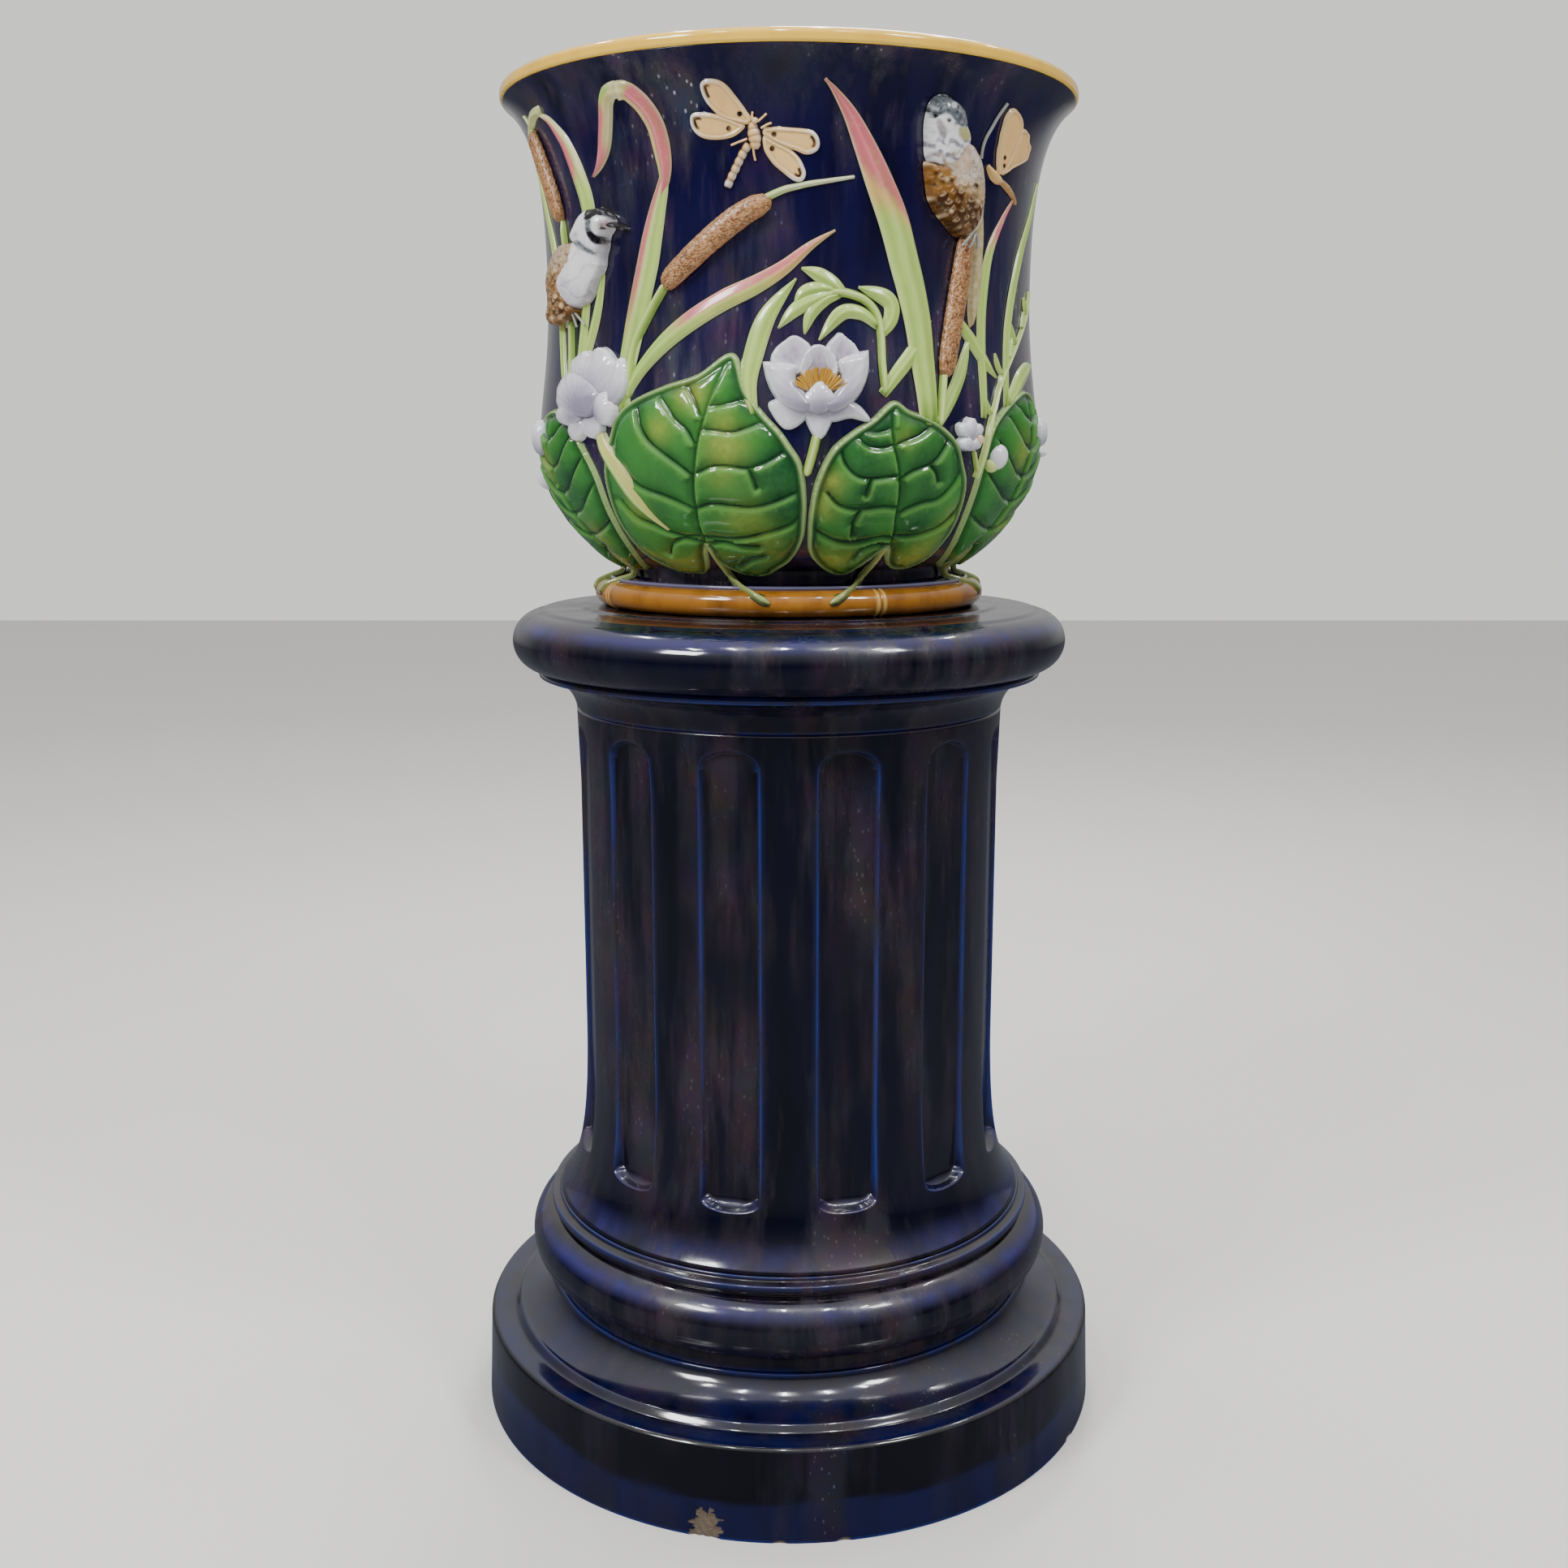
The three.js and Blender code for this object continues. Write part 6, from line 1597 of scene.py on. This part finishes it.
# ---- The birds ----
# Two small plump birds cling to the stalks. Body, wing, head and tail are pressed parts laid
# one over another, scored with feathers and painted with slips under a clear glaze.
plumage_glaze, plumage_flow = glazed("plumage_glaze", body=(0.86, 0.86, 0.90), thin=(0.92, 0.92, 0.93),
    pooled=(0.12, 0.09, 0.07), grain=120.0, streaks=0.25, pinholes=0.08, relief=0.2)
brushed_coats(plumage_glaze, plumage_flow, grey=(0.27, 0.26, 0.32), tan=(0.50, 0.33, 0.155),
    ochre=(0.27, 0.120, 0.020), brown=(0.060, 0.021, 0.005), scallop=(0.72, 0.54, 0.33),
    olive=(0.42, 0.40, 0.17), slate=(0.11, 0.135, 0.150), rose=(0.36, 0.20, 0.20),
    black=(0.004, 0.004, 0.007))
plumage_shader = plumage_glaze.node_tree.nodes["Principled BSDF"].inputs
plumage_shader["Coat Weight"].default_value = 0.15
plumage_shader["Specular IOR Level"].default_value = 0.3
EYE_POINT = (0.0, -1378.6, 793.8)


def sighted(points):
    """Where points show from the front: millimetres on the upright plane through the axis."""
    share = EYE_POINT[1] / (EYE_POINT[1] - points[:, 1])
    return np.stack([points[:, 0] * share, EYE_POINT[2] + (points[:, 2] - EYE_POINT[2]) * share], -1)


def painted(sight, outline, soft=1.0):
    """A patch of slip with a soft edge; its outline is given as it shows from the front."""
    ring = np.asarray(outline, float)
    for _ in range(2):
        ahead = np.roll(ring, -1, 0)
        ring = np.stack([0.75 * ring + 0.25 * ahead, 0.25 * ring + 0.75 * ahead], 1).reshape(-1, 2)
    gap = reach(sight, loop(ring))
    return np.clip(0.5 + np.where(within(sight, ring), gap, -gap) / soft, 0, 1)


def dabbed(sight, dabs, radius, soft=0.9):
    """Round dabs of slip of one size."""
    gap = np.hypot(*(sight[:, None] - np.asarray(dabs, float)).transpose(2, 0, 1)).min(1)
    return np.clip(0.5 + (radius - gap) / soft, 0, 1)


def feathered(flat, top, foot, size):
    """Rows of rounded feathers from shoulder to tail: the place in each and its own shade."""
    axis = (foot - top) / np.linalg.norm(foot - top)
    down = (flat - top) @ axis + 0.2 * size * smooth_noise(flat, 5, 2.4 * size)
    over = (flat - top) @ np.array([axis[1], -axis[0]]) + 0.2 * size * smooth_noise(flat, 6, 3 * size)
    row = np.floor(down / size)
    shifted = over / (size * 1.05) + 0.5 * (row % 2)
    centre = np.abs(shifted - np.round(shifted)) * 2
    scale = down / size - 0.55 * (1 - centre**2) + 0.45
    shade = np.mod(np.sin(np.floor(scale) * 12.99 + np.round(shifted) * 78.2) * 437.6, 1)
    return np.mod(scale, 1.0), centre, shade


def bird_part(outline, lift, crown, paint, feathers=None):
    """A rounded part of a bird; feathers are (shoulder, tail, size), and paint gives its slips."""
    ring = flattened(way(outline, 2.0, closed=True))
    deepest = reach(lattice(ring, 3.0, 1.0), loop(ring)).max() + 0.5

    def form(flat, edge):
        depth = np.clip(edge / deepest, 0, 1)
        heights = lift + crown * np.sqrt(np.clip(1 - (1 - depth) ** 2, 0, 1))
        marks = paint(sighted(laid_back(flat, heights)), edge)
        top, foot, size = feathers or (outline[0], outline[len(outline) // 2], 3.4)
        place, centre, shade = feathered(flat, *flattened([top, foot]), size)
        deep = 0.62 if feathers else 0.22
        heights += deep * ((1 - place) - 0.4) * soft_step(edge, 0.5, 3)
        if feathers:
            marks["scallop"] = np.maximum(marks.get("scallop", 0),
                (0.08 + 0.55 * shade) * soft_step(-place, -0.30, -0.06) * soft_step(edge, 0.4, 1.6))
            marks["brown"] = np.clip(marks.get("brown", 0) * (0.55 + 0.6 * shade) + 0.65
                * bump_at(place, 0.5, 0.2) * shade, 0, 1)
            marks["pool"] = 0.55 * bump_at(place, 0.97, 0.1) + 0.3 * bump_at(centre, 1.0, 0.12)
        else:
            marks["pool"] = 0.16 * bump_at(place, 0.97, 0.12)
        heights = np.maximum(heights * (0.25 + 0.75 * np.clip(edge / 0.9, 0, 1) ** 0.5), 0.5)
        return heights, marks

    return pressed_sheet(outline, form, fine=0.95, wide=0.95)


def bird_left_body(sight, edge):
    low = soft_step(-sight[:, 1], -940, -915)
    lobes = bump_at(smooth_noise(sight, 8, 26), 0.0, 0.12)
    return {"grey": 0.04 + 0.3 * low + 0.35 * bump_at(edge, 0, 1.2) + 0.3 * lobes, "rose": 0.10 * low}


def bird_left_head(sight, edge):
    cap = [(-163, 978), (-159.5, 988), (-152.8, 994), (-147, 995), (-139.9, 994), (-132, 988),
        (-128, 977.5), (-137.6, 977.9), (-141.4, 978.3), (-144.6, 981.2), (-149.7, 982.2), (-153.5, 982),
        (-156.8, 979.5)]
    lores = [(-144, 977.1), (-140.8, 978.3), (-135.7, 979), (-128, 976), (-124, 970), (-132, 968),
        (-137.8, 968.7), (-141, 969.1), (-142.9, 971.6)]
    gorget = [(-160.2, 980.7), (-161.3, 975.8), (-160.8, 970.3), (-158.4, 965.4), (-155.3, 961.4),
        (-150.4, 960.2), (-147, 963), (-149.4, 966.4), (-153.2, 967.7), (-156.2, 970.9), (-157, 975.2),
        (-155.5, 979.5)]
    nape = [(-173, 961.5), (-166.2, 958.6), (-162.6, 955.2), (-159.3, 952.7), (-153, 951.5),
        (-154.6, 955.8), (-159.8, 958), (-163.6, 961.2), (-167.4, 964.6)]
    return {"black": np.maximum.reduce([painted(sight, cap), painted(sight, lores),
        dabbed(sight, [(-142.2, 974.6)], 1.5), painted(sight, gorget) * soft_step(-sight[:, 1], -974,
        -968)]), "slate": np.maximum(0.9 * painted(sight, gorget, 1.6), 0.85 * painted(sight, nape, 1.8)),
        "rose": np.maximum(0.6 * painted(sight, [(-150.5, 979.5), (-144, 979.5), (-143.5, 973),
        (-148, 970.5), (-151.5, 974)], 2), 0.9 * dabbed(sight, [(-147.9, 975.8)], 1.1)), "grey": 0.12 + 0.3
        * bump_at(edge, 0, 1.4) + 0.5 * dabbed(sight, [(-168.5, 968)], 2.0, 4)}


def bird_left_wing(sight, edge):
    low = soft_step(-sight[:, 1], -946, -930)
    dark = [(-177.2, 932.7), (-180, 922.8), (-184.9, 908.4), (-175.7, 915.9), (-181, 909.1),
        (-171.4, 959.3), (-167.7, 950), (-175, 940.8), (-170.5, 940.8), (-184.2, 916.5), (-177.6, 905.4)]
    pale = [(-179.3, 949.4), (-185.3, 940.8), (-181.7, 933.3), (-183.1, 928.4), (-185.9, 920.9),
        (-181.5, 914.1), (-178.3, 937.7), (-188.9, 904.1), (-182.4, 904.7), (-179.5, 945.6)]
    return {"tan": 0.75 + 0.25 * low, "ochre": 0.85 * low + 0.25 * (1 - low), "brown": np.clip(0.75
        * dabbed(sight, dark, 2.1, 2.2) + 0.25 * low, 0, 1), "scallop": 0.9
        * dabbed(sight, pale, 1.7, 1.8)}


on_both_sides("bird_left", [
    bird_part([(-42.8, 234.5), (-43.0, 230.2), (-43.6, 226.5), (-44.4, 222.8), (-45.6, 217.6),
    (-46.5, 213.4), (-47.4, 209.7), (-48.9, 206.1), (-50.7, 203.1), (-53, 201.3), (-56.2, 202.4),
    (-59.4, 206), (-61.6, 211.6), (-62.4, 221.2), (-61.2, 230), (-59.1, 237.3), (-56, 243.1),
    (-52.7, 249.1), (-48, 252), (-43.8, 250), (-42.4, 242)], 4.6, 9.0, bird_left_body),
    bird_part([(-57.2, 248.4), (-54.2, 248.9), (-51.9, 247.2), (-50.4, 243.4), (-48.3, 240.5),
    (-47.5, 236.9), (-48.8, 232.8), (-50.7, 228.4), (-52.5, 223.8), (-53.9, 219.7), (-54.3, 214.1),
    (-53.9, 209.4), (-52.9, 204.6), (-51.9, 200.4), (-53.6, 197.9), (-55, 194.8), (-57.7, 192.5),
    (-61.3, 191.5), (-64.4, 194.3), (-65.4, 200.7), (-64.3, 206.1), (-64.5, 213.7), (-65.2, 222.7),
    (-64.6, 229.6), (-62.9, 236.6), (-61.2, 241.8), (-59.6, 245.2)], 7.6, 6.4, bird_left_wing,
    ((-52, 249), (-61, 192), 5.6)),
    bird_part([(-48.2, 264.6), (-49.6, 259.9), (-50.9, 255.2), (-51.3, 251.5), (-50.6, 247.3), (-49.2, 243),
    (-47.5, 239.7), (-46.0, 237.9), (-44.2, 236.8), (-42.8, 237.6), (-42.1, 240.8), (-41.7, 245),
    (-41.3, 249.9), (-40.2, 253.4), (-39.4, 257.6), (-39.8, 262.1), (-40.9, 266.0), (-42.4, 268.6),
    (-44.4, 269.4), (-46.5, 267.8)], 8.6, 8.4, bird_left_head),
    laid_bar([(-41.2, 257.8), (-39.4, 256.2), (-37.6, 254.6), (-36.0, 253.0)], lambda share: 2.9
    * (1 - 0.84 * share), lambda share: 11.5 - 6.5 * share, marks={"black": lambda along, across: 1 + 0
    * along}, spacing=0.9),
    boss((-40.6, 254.6), (1.2, 1.3), 13.6, 1.4, {"black": 1.0})], [plumage_glaze])


def bird_right_body(sight, edge):
    return {"tan": 0.7 + 0 * edge, "grey": 0.4 * bump_at(edge, 0.0, 1.5)}


def bird_right_wing(sight, edge):
    ochre = [(103, 1020.3), (126, 1021), (131.3, 1008), (134.1, 994.8), (129.8, 982), (119, 980),
        (108, 993.6), (103, 1006.9)]
    brown = [(105, 998), (116, 1000), (125, 996), (133, 1002), (146, 997), (153, 985), (150, 966),
        (137, 958), (119, 975), (106, 988.7)]
    dark = [(114.8, 1005.1), (115.2, 1013.6), (121.1, 1008.8), (127.5, 1007.5), (131, 1021), (132.7, 999),
        (144.3, 992.9), (123.2, 997.8), (118.8, 991.7), (136.8, 988.7), (130.5, 980.7), (138.2, 978.3),
        (143, 976), (126, 988), (135, 1019.5), (147, 1004)]
    pale = [(117.6, 1025.1), (113, 994.8), (127.9, 985.6), (124.2, 1009.4), (135.7, 1007.5), (148.8, 992.9),
        (122.8, 982.6), (138.8, 1014.8), (139.7, 1034.1), (129.3, 1013.6), (143.4, 1008.8), (110.5, 1022)]
    right = soft_step(sight[:, 0], 126, 140)
    return {"tan": 0.95 - 0.45 * right * soft_step(sight[:, 1], 1000, 1012),
        "ochre": np.clip(painted(sight, ochre, 5) + 0.8 * painted(sight, brown, 5), 0, 1),
        "brown": np.clip(0.85 * painted(sight, brown, 7) + 0.85 * dabbed(sight, dark, 1.9, 2.0), 0, 1),
        "scallop": 0.9 * dabbed(sight, pale, 1.6, 2.0), "grey": 0.7 * soft_step(sight[:, 0], 149, 152)}


def bird_right_head(sight, edge):
    cap = [(103, 1058), (110.1, 1058.7), (114.5, 1055.7), (118.9, 1057.5), (122.7, 1058.1), (126.5, 1056.9),
        (129.8, 1052.7), (133.7, 1048.6), (138.1, 1048), (145, 1048.6), (144, 1056), (141, 1066),
        (134, 1073), (126, 1078), (118, 1079), (110, 1077), (103, 1068)]
    white = dabbed(sight, [(115.1, 1061.7), (128.9, 1064.7), (110.2, 1057.2)], 1.9, 1.6)
    bill = [(114.6, 1053.5), (118.4, 1054.9), (121.4, 1050.2), (123.8, 1044.4), (122, 1040), (119, 1040.7),
        (116.6, 1046.2)]
    olive = [(132.4, 1047.4), (136.2, 1049.2), (142, 1047.4), (144, 1041.3), (138.7, 1037.3),
        (133.2, 1040.3)]
    # The grey down the left side of the head is painted shade; the grey blotches lower down are plumage.
    return {"slate": np.clip(0.95 * painted(sight, cap, 1.6) - 0.75 * white + 0.6
        * painted(sight, bill, 1.4) + 0.5 * dabbed(sight, [(125.0, 1053.3), (114.5, 1056.3)], 2.2, 2.4), 0,
        1), "grey": np.clip(0.35 * soft_step(-sight[:, 0], -113, -107) + 0.9
        * soft_step(smooth_noise(sight, 12, 8), -0.1, 0.6) * soft_step(-sight[:, 1], -1050, -1036), 0, 1),
        "tan": 0.7 * soft_step(smooth_noise(sight, 14, 7.5), 0.25, 0.7) * soft_step(-sight[:, 1], -1038,
        -1026), "rose": 0.25 * painted(sight, bill, 2.2), "olive": 0.9 * painted(sight, olive, 2.0),
        "brown": 0.7 * dabbed(sight, [(130.5, 1050.9), (114.4, 1028.1), (138.5, 1031)], 1.5, 2.4),
        "black": np.maximum(dabbed(sight, [(125.0, 1053.3), (114.5, 1056.3)], 1.5, 0.9),
        0.55 * painted(sight, cap, 1.6) * soft_step(smooth_noise(sight, 15, 4.5), 0.2, 0.7))}


on_both_sides("bird_right", [
    bird_part([(29.6, 306.8), (29.9, 299.1), (30.2, 291.4), (30.6, 283.7), (31, 277.5), (31.5, 271.8),
    (32.2, 267.3), (33.3, 263.4), (34.5, 259.6), (35.9, 256.2), (37.1, 252.8), (38.4, 249.9), (40.8, 249.6),
    (43, 253.5), (44.1, 260.4), (44.3, 268.1), (44.4, 275.2), (44.2, 283.2), (43.6, 291.1), (42.9, 297.2),
    (42, 302.2), (40.7, 306.4), (39.3, 310.1), (36.1, 313), (31.1, 311.3)], 4.5, 9.5, bird_right_body),
    bird_part([(28.7, 294.9), (30.1, 294.6), (31.5, 295.1), (33.0, 296.3), (34.3, 294.2), (35.7, 295.7),
    (36.5, 301.2), (37.1, 306.6), (38.1, 309.5), (39.6, 306.4), (41, 301.2), (41.9, 295.2), (42.8, 287.5),
    (43.4, 276.9), (43.2, 267.2), (42.5, 259.4), (41, 253), (39.1, 249), (37.4, 249.2), (35.9, 252.2),
    (34.7, 255.6), (33.3, 259.4), (32.0, 263.3), (31.0, 267.2), (30.1, 272), (29.6, 277.8), (29.2, 284),
    (28.8, 289.6)], 7.4, 8.4, bird_right_wing, ((35, 312), (38.5, 248), 5.8)),
    bird_part([(27.9, 326.2), (28.1, 330.8), (28.7, 334.4), (29.7, 336.8), (31.0, 337.6), (32.4, 336.8),
    (33.8, 334.4), (34.9, 331.2), (35.6, 326.2), (36.1, 321.9), (36.9, 318), (37.4, 313.6), (37.2, 308.9),
    (36, 304.3), (35.2, 297.5), (33.4, 294.6), (31.6, 293.6), (29.9, 294.5), (28.7, 299.7), (28.3, 307.6),
    (27.9, 316.1), (27.8, 321.1)], 8.6, 8.4, bird_right_head),
    bird_part([(43.0, 266), (45.4, 266), (46.1, 251.3), (46.1, 240.2), (46, 229.1), (45.6, 217.8),
    (44.8, 203.6), (43.7, 192.2), (42.7, 188), (42.2, 197.5), (42.5, 211.6), (43.1, 228.4), (43.2, 245)],
    2.4, 2.2, lambda sight, edge: {"tan": 0.8 + 0 * edge, "olive": 0.5 + 0 * edge})],
    [plumage_glaze])
claw_glaze, _ = glazed("claw_grey_glaze", body=(0.34, 0.36, 0.34), thin=(0.66, 0.67, 0.64),
    pooled=(0.10, 0.11, 0.11), grain=150.0)
claws = []
for places, rise in (([(39.8, 251), (38.5, 245.9), (37.5, 241.5)], 10.2),
    ([(40.4, 251), (40.0, 245.4), (39.3, 240.4)], 11.0), ([(41.0, 251), (41.6, 245.8), (42.2, 241)], 9.6),
    ([(-54.7, 201.6), (-55.8, 195.2), (-57.4, 189.9)], 4.4), ([(-54.2, 201.6), (-53.0, 195.1),
    (-52.6, 188.9)], 4.8), ([(-53.8, 201.6), (-51.2, 195.3), (-49.7, 190)], 4.4)):
    heights = (rise + 1.5, rise + 1.0, rise - 0.8)
    claws.append([laid_on_side(*place, height) for place, height in zip(places, heights)])
strands("bird_claws", claws, 0.95, claw_glaze)
grass = way([(43.8, 302.3), (43.8, 309.2), (44.3, 315.8), (45.4, 322.5), (46.6, 330.9), (48.2, 339.9)])
strands("grey_grass_stem", [[laid_on_side(*place, 1.2) for place in grass]], 1.25,
    claw_glaze)

# ---- The dragonfly and the butterfly ----
# Thin buff wings with raised rims, spotted with black, on slender jointed bodies.
wing_glaze, wing_flow = glazed("wing_buff_glaze", body=(0.88, 0.56, 0.220), thin=(0.94, 0.80, 0.54),
    pooled=(0.30, 0.12, 0.03), grain=110.0, streaks=0.25, pinholes=0.08, relief=0.2)
brushed_coats(wing_glaze, wing_flow, white=(0.88, 0.84, 0.86), brown=(0.20, 0.085, 0.035),
    black=(0.008, 0.005, 0.008))


def wing(outline, dots, arc, lift=1.4):
    """A flat wing with a raised rim, round dots and a dark arc by its whitened tip."""

    def form(flat, edge):
        sight = flattened(dots)
        tip = flattened([arc])[0] if arc else np.array([1e4, 1e4])
        from_tip = np.hypot(*(flat - tip).T)
        heights = lift + 1.0 * bump_at(edge, 0.9, 0.8) + 0.3 * soft_step(edge, 1.5, 5)
        heights = heights * (0.3 + 0.7 * np.clip(edge / 0.7, 0, 1) ** 0.5)
        arc_mark = bump_at(edge, 3.0, 1.0) * soft_step(-from_tip, -5.0, -3.6) if arc else 0 * edge
        return heights, {"thin": 0.55 * bump_at(edge, 0.8, 0.8), "pool": 0.30 * bump_at(edge, 2.2, 0.6),
            "white": 0.95 * soft_step(-from_tip, -11, -5) * soft_step(-edge, -2.2, -1.2),
            "black": np.clip(1.4 * np.maximum(dabbed(flat, sight, 1.7, 0.8), arc_mark), 0, 1)}

    return pressed_sheet(outline, form, fine=0.75, wide=0.75)


insect_tail = laid_bar([(-8.0, 303), (-9.2, 297.1), (-9.9, 293.1), (-10.9, 287), (-12, 280.4),
    (-12.6, 276)], lambda share: 1.7 + 0.5 * np.abs(np.sin(share * 6 * np.pi)), lambda share: 3.0 + 0.8
    * np.abs(np.sin(share * 6 * np.pi)), marks={"white": lambda along, across: 0.55
    * soft_step(across, 0.0, 0.5) + 0.9 * soft_step(along, 0.86, 0.94), "brown": lambda along, across: 0.8
    * (1 - np.abs(np.sin(along * 6 * np.pi))) ** 2}, spacing=0.6)
thorax = laid_bar([(-7.2, 316.6), (-7.0, 311), (-6.7, 305.5), (-6.8, 299.5)], lambda share: np.interp(share,
    [0, 0.15, 0.5, 0.85, 1], [1.6, 2.6, 4.0, 3.2, 1.6]) * (0.86 + 0.14 * np.abs(np.sin(share * 4 * np.pi))),
    lambda share: np.interp(share, [0, 0.15, 0.5, 0.85, 1], [2.6, 4.0, 5.0, 4.2, 2.6]) * (0.84 + 0.16
    * np.abs(np.sin(share * 4 * np.pi))), marks={"brown": lambda along, across: 0.7
    * (1 - np.abs(np.sin(along * 4 * np.pi))) ** 2, "white": lambda along, across: 0.35
    * soft_step(across, 0.1, 0.6)}, spacing=0.7)
on_both_sides("dragonfly", [
    wing([(-16.6, 339.7), (-15.8, 341.9), (-14.5, 342.2), (-13, 341), (-11.7, 337.9), (-10.3, 332),
    (-9, 326.2), (-8.1, 321.7), (-7.3, 317.6), (-8.1, 315.7), (-9.7, 316.4), (-11.6, 318.1), (-13.3, 320.8),
    (-14.7, 325), (-15.9, 330), (-16.5, 334.9)], [(-9.5, 321.6)], (-15.6, 336)),
    wing([(-19.5, 318.9), (-19.1, 322.3), (-17.7, 323), (-15.8, 322.2), (-13.7, 320.8), (-11.6, 318.6),
    (-10, 316.4), (-8.8, 314.3), (-9.5, 311.4), (-11, 308.5), (-13.1, 307), (-15.4, 307.1), (-17.2, 308.4),
    (-18.5, 311.2), (-19.3, 314.9)], [(-11.8, 312.9)], (-18.3, 317.5)),
    wing([(-4.7, 312), (-3.4, 312.4), (-1.6, 312.4), (0.6, 311.9), (2.8, 311.4), (4.4, 310.5), (5.4, 308),
    (5.9, 304.1), (5.7, 300), (4.6, 297.4), (3.2, 296.9), (1.6, 298.9), (-0.3, 300.9), (-2.2, 303.4),
    (-3.8, 306.5), (-4.9, 309)], [(-2.9, 308.6)], (5.2, 304.6)),
    wing([(-4.9, 307), (-3.5, 304.9), (-1.9, 302.4), (-0.3, 299.9), (1, 296.8), (2.1, 292.8), (2.9, 287.7),
    (3.2, 283.6), (2.6, 280), (1.5, 279.7), (0.2, 282), (-1.4, 286.1), (-2.9, 290.2), (-4, 294.9),
    (-4.8, 300)], [(-3.3, 299.8)], (2.4, 283.6)), insect_tail, thorax,
    boss((-6.5, 317.4), (2.1, 2.1), 2.0, 2.4, {"brown": 0.3})], [wing_glaze])
legs = [[(-8.2, 306.1), (-9.9, 304.3), (-11.5, 302.5)], [(-7, 300), (-6.9, 295.9), (-6.7, 292.5)],
    [(-6.0, 316.6), (-5.2, 318.8), (-4.3, 321.3)], [(-6.8, 317.4), (-7.1, 320.4), (-7.0, 322.5)],
    [(-5.4, 312.6), (-4.2, 314.8), (-3.4, 315.6)]]
strands("dragonfly_legs", [[laid_on_side(*place, rise) for place, rise in zip(leg, (2.6, 1.8, 0.8))]
    for leg in legs], 0.75, wing_glaze)
on_both_sides("butterfly", [
    wing([(50.8, 337.5), (52.8, 336.9), (54.8, 333.3), (56, 328.6), (56.1, 325.5), (55.8, 318.3),
    (54.9, 310.8), (53.9, 303.8), (52.4, 297.1), (50.6, 294.7), (49.7, 300.3), (49.4, 304), (49.1, 309.7),
    (49.2, 315.2), (49.1, 320.4), (49.2, 325.7), (49.2, 331), (49.7, 334.9)],
    [(51.3, 306.1), (51.6, 300.8)], None, 2.4),
    wing([(56, 325.5), (58, 327.6), (60, 326.1), (60.8, 322), (62.5, 319), (62.4, 313.5), (61.7, 308.7),
    (58.7, 304.4), (56, 301), (54, 297.3), (52.1, 295.4), (52.4, 300.9), (53.7, 308.6), (54.9, 316.6)],
    [(53.7, 302.8)], None, 1.6),
    laid_bar([(46.6, 298.4), (48, 294.7), (49.6, 292), (52.3, 289.9), (54.9, 287.1), (57, 284.1),
    (58.9, 280.5), (59.5, 277.5)], lambda share: np.interp(share, [0, 0.15, 0.3, 0.42, 0.6, 1],
    [1.6, 3.2, 3.0, 1.5, 2.2, 1.1]), lambda share: np.interp(share, [0, 0.15, 0.3, 0.42, 0.6, 1],
    [2.4, 4.8, 4.4, 2.4, 3.2, 1.8]), marks={"brown": lambda along, across: 0.55
    * soft_step(along, 0.36, 0.44)}, spacing=0.8)], [wing_glaze])
